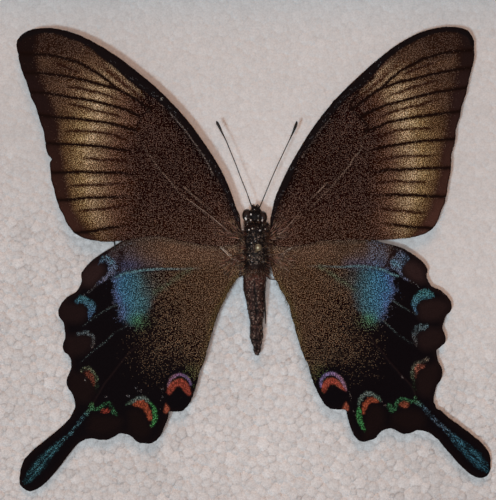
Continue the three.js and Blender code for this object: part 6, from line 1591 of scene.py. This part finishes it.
def build_body():
    # thorax: a furrowed barrel, shoulders rounded off
    v, f = tube(body_rows(THORAX, 9), 56)
    c = np.array([1.78, 0, FOAM_TOP + 3.7])
    d = v - np.c_[np.full(len(v), c[0]), v[:, 1], np.full(len(v), c[2])]
    L = np.linalg.norm(d, axis=1, keepdims=True) + 1e-9
    up = np.clip(d[:, 2] / L[:, 0], 0, 1)
    furrow = -0.16 * np.exp(-((v[:, 0] - 1.55) / 0.20) ** 2) * (up > 0) * ramp(v[:, 1], 5.0, 3.5)
    sides = -0.14 * np.exp(-((np.abs(v[:, 0] - 1.55) - 1.35) / 0.22) ** 2) * (up > 0)
    v = v + d / L * (ruffle(v, 0.9, 0.10, 3.1) + ruffle(v, 0.35, 0.05, 9.1) + furrow + sides)[:, None]
    thorax = make_mesh("thorax_skin", v, turn_out(v, f))
    px, py = chart_of(v)
    off = np.abs(px - 255.0) / 10.5
    dark = np.array((0.0085, 0.0068, 0.0072))
    brown = np.array((0.050, 0.024, 0.017))
    w = np.clip(ramp(off, 0.86, 1.12) + 0.8 * ramp(py, 262, 269), 0, 1)[:, None]
    flecks = np.exp(-((px - 256) / 7.0) ** 2) * (0.35 + 0.9 * np.exp(-((py - 256) / 7.0) ** 2) + 0.4 * np.exp(-((py - 240) / 6.0) ** 2))
    tint_attribute(thorax.data, dark * (1 - w) + brown * w, np.clip(flecks, 0, 1.4))
    settle(thorax, MAT_THORAX, "thorax")
    # abdomen: overlapping rings with a dark line along the back, shrivelled towards the end
    rows = body_rows(ABDOMEN, 12)
    v, f = tube(rows, 64)
    y = v[:, 1]
    s = (-4.95 - y) / 18.05
    ring = (s * 8.6) % 1.0
    step = 0.10 * (ring - 0.5) - 0.18 * np.exp(-((ring - 0.985) / 0.07) ** 2)
    ry = [-r[0].y for r in rows]
    cen = np.c_[np.interp(-y, ry, [r[0].x for r in rows]), y, np.interp(-y, ry, [r[0].z for r in rows])]
    d = v - cen
    L = np.linalg.norm(d, axis=1, keepdims=True) + 1e-9
    up = (d[:, 2] / L[:, 0])
    mid = v[:, 0] - cen[:, 0] - 0.10 * np.sin(y * 1.7)
    keel = -0.17 * np.exp(-(mid / 0.22) ** 2) * (up > 0) * ramp(-y, 6.5, 8.0)
    dent = 0.17 * ruffle(v, 1.4, 1.0, 8.3) * np.clip(s * 2.4, 0.3, 1)
    v = v + d / L * ((step + keel + dent + ruffle(v, 0.42, 0.07, 1.2)) * np.clip(L[:, 0] / 0.6, 0, 1))[:, None]
    ab = make_mesh("abdomen_skin", v, turn_out(v, f))
    px, py = chart_of(v)
    front, rear, tip = np.array((0.078, 0.0305, 0.0225)), np.array((0.042, 0.0215, 0.0178)), np.array((0.034, 0.0205, 0.0180))
    t1, t2 = ramp(py, 276, 290)[:, None], ramp(py, 315, 345)[:, None]
    col = (front * (1 - t1) + rear * t1) * (1 - t2) + tip * t2
    # darker towards the sides: painted shade where the body turns away from the light
    side = np.clip(np.abs(d[:, 0]) / (L[:, 0] + 1e-9), 0, 1)
    col = col * (1 - 0.55 * ramp(side, 0.55, 0.98)[:, None])
    line = np.exp(-(mid / 0.33) ** 2) * ramp(py, 280, 287) * (1 - 0.8 * ramp(py, 312, 322)) * (up > 0)
    col = col * (1 - 0.92 * line[:, None]) + np.array((0.0070, 0.0050, 0.0047)) * 0.92 * line[:, None]
    # painted shade and light along the rings: darker in the groove at each ring's rear edge, lighter across the ring
    col = col * (1 - 0.68 * np.exp(-((ring - 0.98) / 0.09) ** 2) + 0.30 * np.exp(-((ring - 0.70) / 0.16) ** 2))[:, None]
    # mottled lighter and darker, partly the skin's own mottle and partly painted highlights in the lighter patches
    col = col * np.clip(1 + 0.75 * ruffle(v, 0.50, 1.0, 4.7), 0.2, 2.0)[:, None]
    tint_attribute(ab.data, np.clip(col, 0.004, 1), np.clip(1 - 1.6 * line, 0, 1))
    settle(ab, MAT_ABDOMEN, "abdomen")
    # head with eyes and palps
    v, f = tube(body_rows(HEAD, 9), 44)
    v = v + np.c_[ruffle(v, 0.6, 0.07, 5.0), ruffle(v, 0.6, 0.07, 6.0), ruffle(v, 0.6, 0.07, 7.0)]
    head = make_mesh("head_skin", v, turn_out(v, f))
    px, py = chart_of(v)
    tint_attribute(head.data, np.tile((0.0085, 0.0066, 0.0066), (len(v), 1)), np.full(len(v), 0.25))
    settle(head, MAT_THORAX, "head")

    def ball(name, at, size, mat, segs=28, rings=18, wob=0.0, tint=None):
        vs, fs, ts = [], [], []
        for r in range(rings + 1):
            th = math.pi * r / rings
            for k in range(segs):
                ph = 2 * math.pi * k / segs
                w = 1 + wob * mnoise.noise(Vector((at[0] * 9 + math.cos(ph) * math.sin(th) * 2, at[1] * 7 + math.sin(ph) * math.sin(th) * 2, math.cos(th) * 2)))
                vs.append((at[0] + size[0] * math.sin(th) * math.cos(ph) * w, at[1] + size[1] * math.sin(th) * math.sin(ph) * w, FOAM_TOP + at[2] + size[2] * math.cos(th) * w))
                # a dark rim around a red-brown middle
                m = min(1.0, max(0.0, (0.86 - math.sin(th)) / 0.22)) if th < math.pi / 2 else 0.0
                ts.append([p * (1 - m) + q * m for p, q in zip((0.0075, 0.006, 0.006), tint or (0.02, 0.014, 0.012))])
        for r in range(rings):
            for k in range(segs):
                i, j = r * segs + k, r * segs + (k + 1) % segs
                if r == 0:
                    fs.append((i, i + segs, j + segs))
                elif r == rings - 1:
                    fs.append((i, i + segs, j))
                else:
                    fs.append((i, i + segs, j + segs, j))
        ob = make_mesh(name, vs, fs)
        tint_attribute(ob.data, ts)
        settle(ob, mat)
        return ob

    ball("eye_left", (-0.24, 7.58, 3.9), (1.02, 1.40, 1.33), MAT_EYES, 32, 24, 0.0, (0.026, 0.0160, 0.0140))
    ball("eye_right", (3.20, 7.17, 3.9), (1.00, 1.36, 1.33), MAT_EYES, 32, 24, 0.0, (0.026, 0.0160, 0.0140))
    ball("palp_left", (1.15, 9.2, 3.3), (0.46, 0.80, 0.5), MAT_THORAX, 14, 10, 0.25)
    ball("palp_right", (2.05, 9.2, 3.3), (0.46, 0.80, 0.5), MAT_THORAX, 14, 10, 0.25)
    # white scale spots of the head and collar, with painted glints among them: the two longer spots beside the eyes are
    # painted highlights on the eyes, and the six on the thorax are painted glints. Columns: chart place, height, half
    # width, half length, turn
    spots = [(251, 214.4, 5.38, .20, .20, 0), (250.8, 220.2, 5.36, .21, .19, 0), (258.2, 216.0, 5.40, .15, .15, 0), (258, 220.3, 5.36, .19, .18, 0), (254.4, 209.6, 4.9, .10, .10, 0),
             (245.8, 218.6, 5.06, .21, .40, 0.25), (262.4, 220.2, 5.06, .19, .38, -0.25),
             (242.7, 229.5, 4.9, .20, .16, 0), (249, 229.8, 5.64, .19, .17, 0), (252.3, 228.6, 5.72, .17, .16, 0), (259.8, 230.5, 5.68, .22, .17, 0.6), (265.2, 229.0, 5.0, .13, .13, 0),
             (247.6, 224.4, 5.1, .10, .10, 0), (262.5, 224.8, 5.1, .10, .12, 0), (251.5, 243.0, 6.15, .12, .12, 0), (255.5, 241.0, 6.15, .10, .12, 0), (249.5, 255.5, 6.05, .12, .15, 0),
             (254.0, 257.5, 6.06, .10, .12, 0), (259.5, 259.0, 6.0, .12, .10, 0), (252.0, 261.5, 5.96, .10, .12, 0)]
    vs, fs = [], []
    for px, py, z, r, q, turn in spots:
        r, q = 1.14 * r, 1.14 * q
        x, y = chart_to_mm((px, py), FOAM_TOP + z)
        base = len(vs)
        ct, st = math.cos(turn), math.sin(turn)
        for ringed, k_r, dz in ((0, 1.0, -0.05), (1, 0.6, 0.06)):
            for k in range(9):
                t = 2 * math.pi * k / 9
                w = (1 + 0.25 * math.sin(3.1 * k + px)) * k_r
                a1, b1 = r * w * math.cos(t), q * w * math.sin(t)
                vs.append((x + a1 * ct - b1 * st, y + a1 * st + b1 * ct, FOAM_TOP + z + dz))
        vs.append((x, y, FOAM_TOP + z + 0.09))
        for k in range(9):
            j = (k + 1) % 9
            fs += [(base + k, base + j, base + 9 + j, base + 9 + k), (base + 9 + k, base + 9 + j, base + 18)]
        fs.append(tuple(base + k for k in range(8, -1, -1)))
    ob = make_mesh("white_spots_and_painted_glints", vs, fs)
    settle(ob, MAT_WHITE)


build_body()


def limb(name, route, sides, material, per=6, joints=(), hair=0.0):
    """A tapered tube along a smooth route; the joints argument is not used."""
    r = spline_nd(np.array(route, float), per)
    pts = [Vector((a[0], a[1], FOAM_TOP + a[2])) for a in r]
    rows = []
    for i, p in enumerate(pts):
        t = (pts[min(i + 1, len(pts) - 1)] - pts[max(i - 1, 0)]).normalized()
        a = t.cross(Z).normalized()
        u = a.cross(t)
        rad = max(r[i][3], 0.03)
        rows.append((p, a, u, rad, rad))
    v, f = tube(rows, sides)
    ob = make_mesh(name + "_skin", v, turn_out(v, f))
    settle(ob, material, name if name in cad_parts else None)
    return ob


ANTENNA_LEFT = [
    [0.92, 9.2, 4.3, 0.13], [-0.33, 12.69, 4.35, 0.105], [-1.44, 15.43, 4.35, 0.10], [-2.71, 18.82, 4.3, 0.10],
    [-3.83, 21.55, 4.2, 0.105], [-4.81, 23.94, 4.05, 0.12], [-5.6, 25.5, 3.95, 0.18], [-6.2, 26.75, 3.85, 0.285],
    [-6.65, 27.65, 3.8, 0.30], [-6.9, 28.15, 3.78, 0.13],
]
ANTENNA_RIGHT = [
    [2.16, 8.5, 4.75, 0.13], [2.55, 9.35, 4.4, 0.13], [3.98, 12.78, 4.35, 0.105], [5.25, 15.84, 4.35, 0.10], [6.63, 18.9, 4.3, 0.10],
    [7.88, 21.55, 4.2, 0.105], [9.01, 23.94, 4.05, 0.12], [9.7, 25.4, 3.95, 0.18], [10.2, 26.6, 3.85, 0.285],
    [10.55, 27.55, 3.8, 0.30], [10.7, 28.1, 3.78, 0.13],
]
LEGS = {
    "fore_leg_left": [[1.0, 4.4, 1.35, 0.22], [0.35, 4.0, 0.95, 0.26], [0.1, 5.4, 0.55, 0.2], [0.55, 7.2, 0.5, 0.15], [0.9, 8.5, 0.45, 0.1]],
    "fore_leg_right": [[2.5, 4.4, 1.35, 0.22], [3.2, 4.0, 0.95, 0.26], [3.45, 5.4, 0.55, 0.2], [3.0, 7.1, 0.5, 0.15], [2.6, 8.4, 0.45, 0.1]],
    "mid_leg_left": [[0.6, 0.4, 1.1, 0.22], [-0.4, -1.2, 0.85, 0.27], [-1.1, -3.6, 0.8, 0.22], [-1.5, -5.5, 0.8, 0.16],
                     [-2.4, -6.0, 0.7, 0.1], [-4.4, -6.1, 0.45, 0.08]],
    "mid_leg_right": [[3.0, 0.4, 1.1, 0.22], [4.0, -1.2, 0.85, 0.27], [4.4, -3.8, 0.8, 0.22], [4.5, -6.0, 0.8, 0.16],
                      [5.4, -6.45, 0.7, 0.1], [7.9, -6.75, 0.45, 0.08]],
    "hind_leg_left": [[0.8, -2.6, 1.05, 0.22], [0.0, -4.6, 0.75, 0.27], [-0.1, -8.4, 0.6, 0.22], [0.5, -12.2, 0.5, 0.15], [1.1, -15.6, 0.4, 0.1]],
    "hind_leg_right": [[2.7, -2.6, 1.05, 0.22], [3.2, -4.6, 0.75, 0.27], [3.5, -8.4, 0.75, 0.22], [3.75, -12.6, 0.8, 0.17], [3.86, -16.2, 0.75, 0.1]],
}
limb("antenna_left", ANTENNA_LEFT, 12, MAT_HORN)
limb("antenna_right", ANTENNA_RIGHT, 12, MAT_HORN)
for leg_name, leg_route in LEGS.items():
    limb(leg_name, leg_route, 10, MAT_HORN, 5)
# a short dark splinter between the left wings
limb("splinter", [[-29.05, 0.35, 3.0, 0.16], [-29.15, 1.2, 3.05, 0.17], [-29.3, 2.3, 3.0, 0.13]], 8, MAT_HORN, 4)


# ------------------------------------------------------------------------------------------------
# hair: thin tapering slivers, three-sided
# ------------------------------------------------------------------------------------------------
def hairs(name, groups, seed):
    """Groups of (roots, directions, lengths, half width, bend, colours) in mm; each hair is a three-sided sliver in two bends."""
    rng = np.random.default_rng(seed)
    verts, tris, tints = [], [], []
    total = 0
    for roots, dirs, lengths, width, bend, colours in groups:
        n = len(roots)
        d = dirs / (np.linalg.norm(dirs, axis=1, keepdims=True) + 1e-9)
        a = np.cross(d, np.tile([0.0, 0.0, 1.0], (n, 1)))
        bad = np.linalg.norm(a, axis=1) < 1e-3
        a[bad] = np.cross(d[bad], [1.0, 0, 0])
        a /= np.linalg.norm(a, axis=1, keepdims=True)
        u = np.cross(a, d)
        droop = rng.normal(0, bend, (n, 1)) * a + rng.normal(0, bend * 0.5, (n, 1)) * u
        L = lengths[:, None]
        w = (width * rng.uniform(0.7, 1.3, n))[:, None]
        p0, p1, p2 = roots, roots + d * L * 0.55 + droop * L * 0.25, roots + d * L + droop * L
        rows = []
        for p, k in ((p0, 1.0), (p1, 0.8)):
            for t in (0, 2.094, 4.189):
                rows.append(p + (a * math.cos(t) + u * math.sin(t)) * w * k)
        rows.append(p2)
        verts.append(np.stack(rows, 1).reshape(-1, 3))
        b = total + np.arange(n)[:, None] * 7
        for i, j in ((0, 1), (1, 2), (2, 0)):
            tris += [np.c_[b + i, b + j, b + j + 3], np.c_[b + i, b + j + 3, b + i + 3], np.c_[b + i + 3, b + j + 3, b + 6]]
        tris.append(np.c_[b + 0, b + 2, b + 1])
        tints.append(np.repeat(colours, 7, axis=0))
        total += 7 * n
    ob = make_mesh(name, np.vstack(verts), np.vstack(tris), smooth=True)
    tint_attribute(ob.data, np.vstack(tints))
    settle(ob, MAT_HAIR)
    return ob


def choose(rng, n, palette):
    """A colour a hair from a palette of (share, colour), each a little lighter or darker."""
    share = np.array([p[0] for p in palette], float)
    k = rng.choice(len(palette), n, p=share / share.sum())
    return np.array([p[1] for p in palette])[k] * rng.uniform(0.7, 1.35, (n, 1))


def skin_points(stations, n, seed, top_only=True):
    """Random points on a body part's upper skin with outward normals, in mm."""
    rng = np.random.default_rng(seed)
    s = smooth_rows(stations, 12)
    k = rng.integers(0, len(s) - 1, n)
    f = rng.uniform(0, 1, (n, 1))
    r = s[k] * (1 - f) + s[k + 1] * f
    t = rng.uniform(-0.25, math.pi + 0.25, n) if top_only else rng.uniform(0, 2 * math.pi, n)
    p = np.c_[r[:, 1] + r[:, 2] * np.cos(t), r[:, 0], FOAM_TOP + r[:, 3] + r[:, 4] * np.sin(t)]
    nn = np.c_[np.cos(t) / r[:, 2], np.zeros(n), np.sin(t) / r[:, 4]]
    nn /= np.linalg.norm(nn, axis=1, keepdims=True)
    return p, nn


RED, DEEP, DARK, GOLD, PALE, STEEL = (0.108, 0.044, 0.031), (0.026, 0.0125, 0.0100), (0.0095, 0.0070, 0.0072), (0.220, 0.140, 0.083), (0.42, 0.31, 0.245), (0.26, 0.205, 0.178)


def lay(rng, n, centre, reach, spread, z, fan):
    """Hairs that lie on a wing, fanned out from a point of the chart: roots and directions in mm."""
    r = rng.uniform(reach[0], reach[1], n)
    t = np.radians(rng.uniform(fan[0], fan[1], n))
    px, py = centre[0] + r * np.cos(t), centre[1] - r * np.sin(t)
    x, y = chart_to_mm(np.c_[px, py], np.full(n, z))
    t2 = t + rng.normal(0, spread, n)
    return np.c_[x, y, np.full(n, z) + rng.uniform(0, 0.12, n)], np.c_[np.cos(t2), np.sin(t2), rng.uniform(0.0, 0.05, n)]


def build_hair():
    rng = np.random.default_rng(41)
    # thorax: short dark pile with pale flakes, and long red-brown tufts at the sides
    p, nn = skin_points(THORAX, 3600, 1)
    d = nn * 0.45 + np.c_[rng.normal(0, 0.35, len(p)), -0.55 + rng.normal(0, 0.3, len(p)), rng.normal(0, 0.15, len(p))]
    groups = [(p - nn * 0.05, d, rng.uniform(0.25, 0.7, len(p)), 0.030, 0.3, choose(rng, len(p), [(0.72, DARK), (0.22, DEEP), (0.06, STEEL)]))]
    p, nn = skin_points(THORAX, 1900, 5)
    px, py = chart_of(p)
    keep = (np.abs(px - 256) < 8.5) & (py > 232) & (py < 264) & (rng.uniform(0, 1, len(p)) < 0.30 + 0.7 * np.exp(-((py - 256) / 6.0) ** 2))
    p, nn = p[keep], nn[keep]
    d = nn * 0.35 + np.c_[rng.normal(0, 0.6, len(p)), -0.4 + rng.normal(0, 0.5, len(p)), np.zeros(len(p))]
    groups.append((p + nn * 0.12, d, rng.uniform(0.16, 0.60, len(p)), 0.040, 0.3, choose(rng, len(p), [(0.42, STEEL), (0.26, PALE), (0.32, GOLD)])))
    for s in (-1, 1):
        n = 260
        t = rng.uniform(0, 1, n)
        y = 3.4 - 8.8 * t
        back = rng.uniform(0, 1, n)
        root = np.c_[1.55 + s * (2.0 + 0.45 * back), y, FOAM_TOP + 4.95 - 0.55 * back + rng.normal(0, 0.08, n)]
        d = np.c_[s * (0.8 + 0.3 * rng.uniform(0, 1, n)), 0.75 - 1.45 * t + rng.normal(0, 0.28, n), -0.20 + rng.normal(0, 0.08, n)]
        groups.append((root, d, rng.uniform(0.6, 2.4, n) * (0.75 + 0.4 * np.sin(np.pi * t)), 0.046, 0.28, choose(rng, n, [(0.42, RED), (0.24, DEEP), (0.08, DARK), (0.18, GOLD), (0.08, PALE)])))
        n = 120
        t = rng.uniform(0, 1, n)
        y = 3.6 - 9.0 * t
        back = rng.uniform(0, 1, n)
        root = np.c_[1.55 + s * (2.05 + 0.7 * back), y, FOAM_TOP + 5.05 - 0.45 * back + rng.normal(0, 0.08, n)]
        d = np.c_[s * (0.6 + 0.5 * rng.uniform(0, 1, n)), 0.8 - 1.5 * t + rng.normal(0, 0.4, n), -0.14 + rng.normal(0, 0.08, n)]
        groups.append((root, d, rng.uniform(0.5, 1.6, n), 0.105, 0.35, choose(rng, n, [(0.34, (0.165, 0.080, 0.058)), (0.18, (0.30, 0.21, 0.13)), (0.10, PALE), (0.38, (0.016, 0.0105, 0.0095))])))
        # dark hair that breaks up the outline of the thorax
        n = 240
        y = rng.uniform(-4.6, 3.6, n)
        root = np.c_[1.72 + s * rng.uniform(1.9, 2.35, n), y, FOAM_TOP + rng.uniform(4.5, 5.3, n)]
        d = np.c_[s * (0.5 + 0.5 * rng.uniform(0, 1, n)), -0.45 + rng.normal(0, 0.5, n), 0.02 + rng.normal(0, 0.1, n)]
        groups.append((root, d, rng.uniform(0.35, 1.15, n), 0.055, 0.35, choose(rng, n, [(0.50, DARK), (0.30, DEEP), (0.20, RED)])))
    # fuller tufts beside the collar
    for s, n, y0, y1, x0 in ((1, 430, 2.4, 5.8, 3.75), (-1, 300, 2.0, 4.1, -0.60)):
        root = np.c_[x0 + s * rng.uniform(-0.35, 0.35, n), rng.uniform(y0, y1, n), FOAM_TOP + rng.uniform(4.45, 4.95, n)]
        d = np.c_[s * (0.7 + 0.4 * rng.uniform(0, 1, n)), -0.25 + rng.normal(0, 0.35, n), -0.08 + rng.normal(0, 0.08, n)]
        groups.append((root, d, rng.uniform(0.5, 1.25, n), 0.060, 0.30, choose(rng, n, [(0.52, DARK), (0.26, DEEP), (0.16, RED), (0.06, GOLD)])))
    # hair around the waist, lying back over the abdomen
    n = 420
    a = rng.uniform(0.15, math.pi - 0.15, n)
    root = np.c_[1.58 + 2.2 * np.cos(a), rng.uniform(-5.4, -3.8, n), FOAM_TOP + 3.55 + 2.05 * np.sin(a)]
    d = np.c_[np.cos(a) * 0.35 + rng.normal(0, 0.2, n), -0.95 + rng.normal(0, 0.2, n), np.sin(a) * 0.18]
    groups.append((root, d, rng.uniform(0.5, 1.5, n), 0.042, 0.28, choose(rng, n, [(0.46, RED), (0.26, DEEP), (0.16, GOLD), (0.12, PALE)])))
    hairs("thorax_hair", groups, 2)
    # head and neck
    p, nn = skin_points(HEAD, 1300, 7)
    keep = np.abs(p[:, 0] - 1.6) < 1.25
    p, nn = p[keep], nn[keep]
    d = nn * 0.6 + np.c_[rng.normal(0, 0.4, len(p)), 0.3 + rng.normal(0, 0.4, len(p)), rng.normal(0, 0.15, len(p))]
    groups = [(p, d, rng.uniform(0.15, 0.45, len(p)), 0.028, 0.3, choose(rng, len(p), [(0.8, DARK), (0.16, DEEP), (0.04, STEEL)]))]
    n = 700
    a = rng.uniform(-0.15, math.pi + 0.15, n)
    root = np.c_[1.55 + 2.05 * np.cos(a), rng.uniform(4.2, 6.4, n), FOAM_TOP + 3.8 + 1.65 * np.sin(a)]
    d = np.c_[np.cos(a) * 0.6 + rng.normal(0, 0.3, n), rng.normal(0.1, 0.45, n), np.sin(a) * 0.35]
    groups.append((root, d, rng.uniform(0.35, 1.0, n), 0.032, 0.3, choose(rng, n, [(0.55, DARK), (0.22, DEEP), (0.18, RED), (0.05, GOLD)])))
    hairs("head_hair", groups, 8)
    # abdomen
    p, nn = skin_points(ABDOMEN, 800, 9)
    d = nn * 0.22 + np.c_[rng.normal(0, 0.2, len(p)), -0.9 + rng.normal(0, 0.2, len(p)), rng.normal(0, 0.1, len(p))]
    hairs("abdomen_hair", [(p - nn * 0.03, d, rng.uniform(0.15, 0.40, len(p)), 0.030, 0.3, choose(rng, len(p), [(0.40, DEEP), (0.35, DARK), (0.20, RED), (0.05, PALE)]))], 10)
    # wing bases and the inner edges of the hindwings
    groups = []
    # a few broad pale and dark strokes that fan out over the wing bases
    for centre, fan, z in (((247, 240), (122, 172), FOAM_TOP + 4.30), ((265, 240), (8, 58), FOAM_TOP + 4.30), ((246, 255), (188, 232), FOAM_TOP + 3.55), ((266, 255), (-52, -8), FOAM_TOP + 3.55)):
        for n, reach, width, palette in ((52, (4, 24), 0.062, [(0.52, (0.27, 0.135, 0.100)), (0.22, (0.46, 0.32, 0.25)), (0.26, (0.28, 0.185, 0.105))]), (20 if z > FOAM_TOP + 4 else 8, (3, 14), 0.060, [(0.6, DARK), (0.4, DEEP)])):
            root, d = lay(rng, n, centre, reach, 0.16, z, fan)
            groups.append((root, d, rng.uniform(0.7, 2.3, n), width, 0.12, choose(rng, n, palette)))
    fore_z, hind_z = FOAM_TOP + 4.10, FOAM_TOP + 3.32
    for centre, fan, z, n in (((245, 238), (112, 178), fore_z, 230), ((266, 238), (2, 68), fore_z, 190),
                              ((243, 254), (175, 238), hind_z, 200), ((268, 254), (-58, 5), hind_z, 180)):
        root, d = lay(rng, n, centre, (3, 30), 0.10, z, fan)
        far = np.hypot(root[:, 0] - 1.7, root[:, 1])
        groups.append((root, d, rng.uniform(0.7, 2.2, n) * np.clip(1.3 - far / 9.0, 0.35, 1), 0.048, 0.10, choose(rng, n, [(0.36, RED), (0.10, GOLD), (0.26, DEEP), (0.18, DARK), (0.10, PALE)])))
    for key, s in (("left", -1), ("right", 1)):
        line = spline(HIND[key]["inner"])
        n = 230
        k = np.sort(rng.uniform(0, 0.42, n)) * (len(line) - 1)
        q = np.c_[np.interp(k, np.arange(len(line)), line[:, 0]), np.interp(k, np.arange(len(line)), line[:, 1])]
        q[:, 0] += s * rng.uniform(0.5, 6.0, n)
        z = np.full(n, FOAM_TOP + 3.24) + rng.uniform(0, 0.08, n)
        x, y = chart_to_mm(q, z)
        d = np.c_[-s * rng.uniform(0.10, 0.55, n), -0.85 + rng.normal(0, 0.15, n), rng.uniform(-0.02, 0.04, n)]
        groups.append((np.c_[x, y, z], d, rng.uniform(0.5, 1.3, n), 0.026, 0.15, choose(rng, n, [(0.45, (0.24, 0.19, 0.075)), (0.35, (0.115, 0.080, 0.038)), (0.20, DEEP)])))
    hairs("wing_base_hair", groups, 12)


build_hair()


# ------------------------------------------------------------------------------------------------
# bare pale veins that stand up from the wings near the body
# ------------------------------------------------------------------------------------------------
def vein_lines():
    lines = [
        (4.0, [(190, 201), (198, 206.5), (207.5, 213.6), (213, 218), (217.5, 222), (222.5, 226.5), (227.5, 231.3), (233.5, 236.3)], [.02, .03, .045, .05, .055, .05, .045, .03], (0.62, 0.48, 0.40)),
        (4.0, [(194, 195), (199, 199), (204, 203), (211, 209)], [.03, .045, .045, .03], (0.26, 0.155, 0.115)),
        (4.0, [(219, 222.6), (225, 227.6), (232, 233.5)], [.03, .045, .035], (0.30, 0.20, 0.15)),
        (4.0, [(299.5, 212.5), (293, 220), (287.5, 226.3), (281, 233), (274.5, 240)], [.02, .035, .045, .05, .035], (0.42, 0.29, 0.23)),
        (4.0, [(300, 217), (294, 222.5), (288, 229), (283, 235)], [.03, .04, .04, .03], (0.22, 0.135, 0.10)),
        (4.0, [(312, 198), (305, 205), (299.5, 212.5)], [.02, .035, .03], (0.20, 0.13, 0.10)),
        (3.38, [(220, 247), (223, 250), (226.3, 253.2), (229, 256), (232, 258.6), (236, 260.6), (239, 262)], [.03, .055, .060, .05, .045, .04, .03], (0.80, 0.69, 0.60)),
        (3.38, [(289.5, 248), (286.5, 250), (283.7, 252), (280, 256), (276, 260)], [.03, .045, .045, .04, .03], (0.46, 0.35, 0.28)),
    ]
    verts, faces, tints = [], [], []
    for rise, pts, wide, colour in lines:
        p = spline(pts, 1.0)
        w = np.interp(np.linspace(0, 1, len(p)), np.linspace(0, 1, len(wide)), wide)
        z = sheet_height((p[:, 0] - 248) * UNIT, rise) + 0.10 * blotch(p, 34, 21) + 0.05 * blotch(p, 17, 22) + 0.15
        x, y = chart_to_mm(p, z)
        q = np.c_[x, y, z]
        t = np.gradient(q, axis=0)
        t /= np.linalg.norm(t, axis=1, keepdims=True)
        a = np.cross(t, [0.0, 0.0, 1.0])
        a /= np.linalg.norm(a, axis=1, keepdims=True)
        base = len(verts)
        for k in range(len(q)):
            verts += [q[k] + a[k] * w[k], q[k] + np.array((0, 0, w[k])), q[k] - a[k] * w[k], q[k] - np.array((0, 0, 0.12))]
            tints += [np.array(colour) * (0.8 + 0.4 * blotch(p[k:k + 1], 2.5, 33)[0])] * 4
        for k in range(len(q) - 1):
            i = base + 4 * k
            for c in range(4):
                j = (c + 1) % 4
                faces.append((i + c, i + j, i + 4 + j, i + 4 + c))
        faces.append(tuple(base + c for c in range(3, -1, -1)))
        faces.append(tuple(base + 4 * (len(q) - 1) + c for c in range(4)))
    verts = np.array(verts)
    ob = make_mesh("vein_lines", verts, turn_out(verts, faces))
    tint_attribute(ob.data, np.array(tints))
    settle(ob, MAT_HAIR)


vein_lines()


# ------------------------------------------------------------------------------------------------
# pin
# ------------------------------------------------------------------------------------------------
def build_pin():
    head = Vector((2.19, 0.55, FOAM_TOP + 13.0))
    line = (head - Vector((1.64, -0.44, FOAM_TOP + 5.6))).normalized()
    a = line.cross(X).normalized()
    u = line.cross(a)
    length, r0, rh = 38.0, 0.25, 0.75
    point = head - line * (length - rh)
    prof = [(0.0, 0.01), (0.5, 0.09), (1.2, 0.17), (2.2, r0), (6, r0), (20, r0), (36.0, r0)]
    st = math.asin(r0 / rh)
    for k in range(15):
        t = st + (math.pi - st) * k / 14
        prof.append((length - rh - rh * math.cos(t), max(rh * math.sin(t), 0.01)))
    v, f = tube([(point + line * s, a, u, r, r) for s, r in prof], 28)
    ob = make_mesh("insect_pin_skin", v, turn_out(v, f))
    settle(ob, MAT_BRASS, "insect_pin")


build_pin()

# ------------------------------------------------------------------------------------------------
# frame and backing keep their solids and get their finish
# ------------------------------------------------------------------------------------------------
for node, mat in (("frame_rail_top", MAT_WOOD_X), ("frame_rail_bottom", MAT_WOOD_X), ("frame_rail_left", MAT_WOOD_Y), ("frame_rail_right", MAT_WOOD_Y),
                  ("backing_board", MAT_BOARD)):
    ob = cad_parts[node]
    ob.data.materials.clear()
    ob.data.materials.append(mat)

# ------------------------------------------------------------------------------------------------
# floor, light, camera
# ------------------------------------------------------------------------------------------------
fm = bpy.data.meshes.new("floor")
fm.from_pydata([(-3, -3, 0), (3, -3, 0), (3, 3, 0), (-3, 3, 0)], [], [(0, 1, 2, 3)])
floor = bpy.data.objects.new("floor", fm)
bpy.context.scene.collection.objects.link(floor)
floor.data.materials.append(plain_material("floor", [(0.3, (0.74, 0.735, 0.73)), (0.7, (0.78, 0.775, 0.77))], 4.0, 0.8, 0.2, 0.05, 0.0005))
floor.location.z = -0.0004

scene = bpy.context.scene
scene.view_settings.view_transform = "Standard"
scene.view_settings.look = "None"
scene.view_settings.exposure = 0.0
scene.view_settings.gamma = 1.0

world = bpy.data.worlds.new("studio")
scene.world = world
world.use_nodes = True
bg = world.node_tree.nodes["Background"]
bg.inputs[0].default_value = (1.0, 0.850, 0.800, 1)
bg.inputs[1].default_value = 0.115


def sun(name, toward, strength, colour, angle):
    """A distant lamp that shines along the given direction."""
    L = bpy.data.lights.new(name, "SUN")
    L.energy = strength
    L.color = colour
    L.angle = math.radians(angle)
    ob = bpy.data.objects.new(name, L)
    bpy.context.scene.collection.objects.link(ob)
    ob.rotation_euler = Vector(toward).to_track_quat("-Z", "Y").to_euler()
    return ob


sun("key", (0.280, 0.254, -0.926), 1.035, (0.687, 0.896, 1.0), 8.5)
low_sun = sun("fill", (-0.04, -0.70, -0.714), 0.58, (1.0, 0.36, 0.05), 25.0)
low_sun.visible_glossy = False
# soft light from straight above, which adds no gloss
above = sun("above", (0.0, 0.0, -1.0), 0.70, (1.0, 0.875, 0.825), 16.0)
above.visible_glossy = False
# a weak soft spot on the head and the gap between the forewings
spot = bpy.data.lights.new("spot", "SPOT")
spot.energy = 0.34
spot.color = (1.0, 0.82, 0.74)
spot.spot_size = math.radians(11.0)
spot.spot_blend = 1.0
spot.shadow_soft_size = 0.015
spot_ob = bpy.data.objects.new("spot", spot)
spot_ob.location = (0.0017, 0.0100, 0.300)
bpy.context.scene.collection.objects.link(spot_ob)

cam = bpy.data.cameras.new("camera")
cam.sensor_fit = "HORIZONTAL"
cam.sensor_width = 36.0
cam.lens = 36.0 * (CAM_Z - ZREF) / (496 * UNIT)
cam.clip_start = 0.01
cam.clip_end = 20
co = bpy.data.objects.new("camera", cam)
co.location = (0, 0, CAM_Z * MM)
bpy.context.scene.collection.objects.link(co)
scene.camera = co
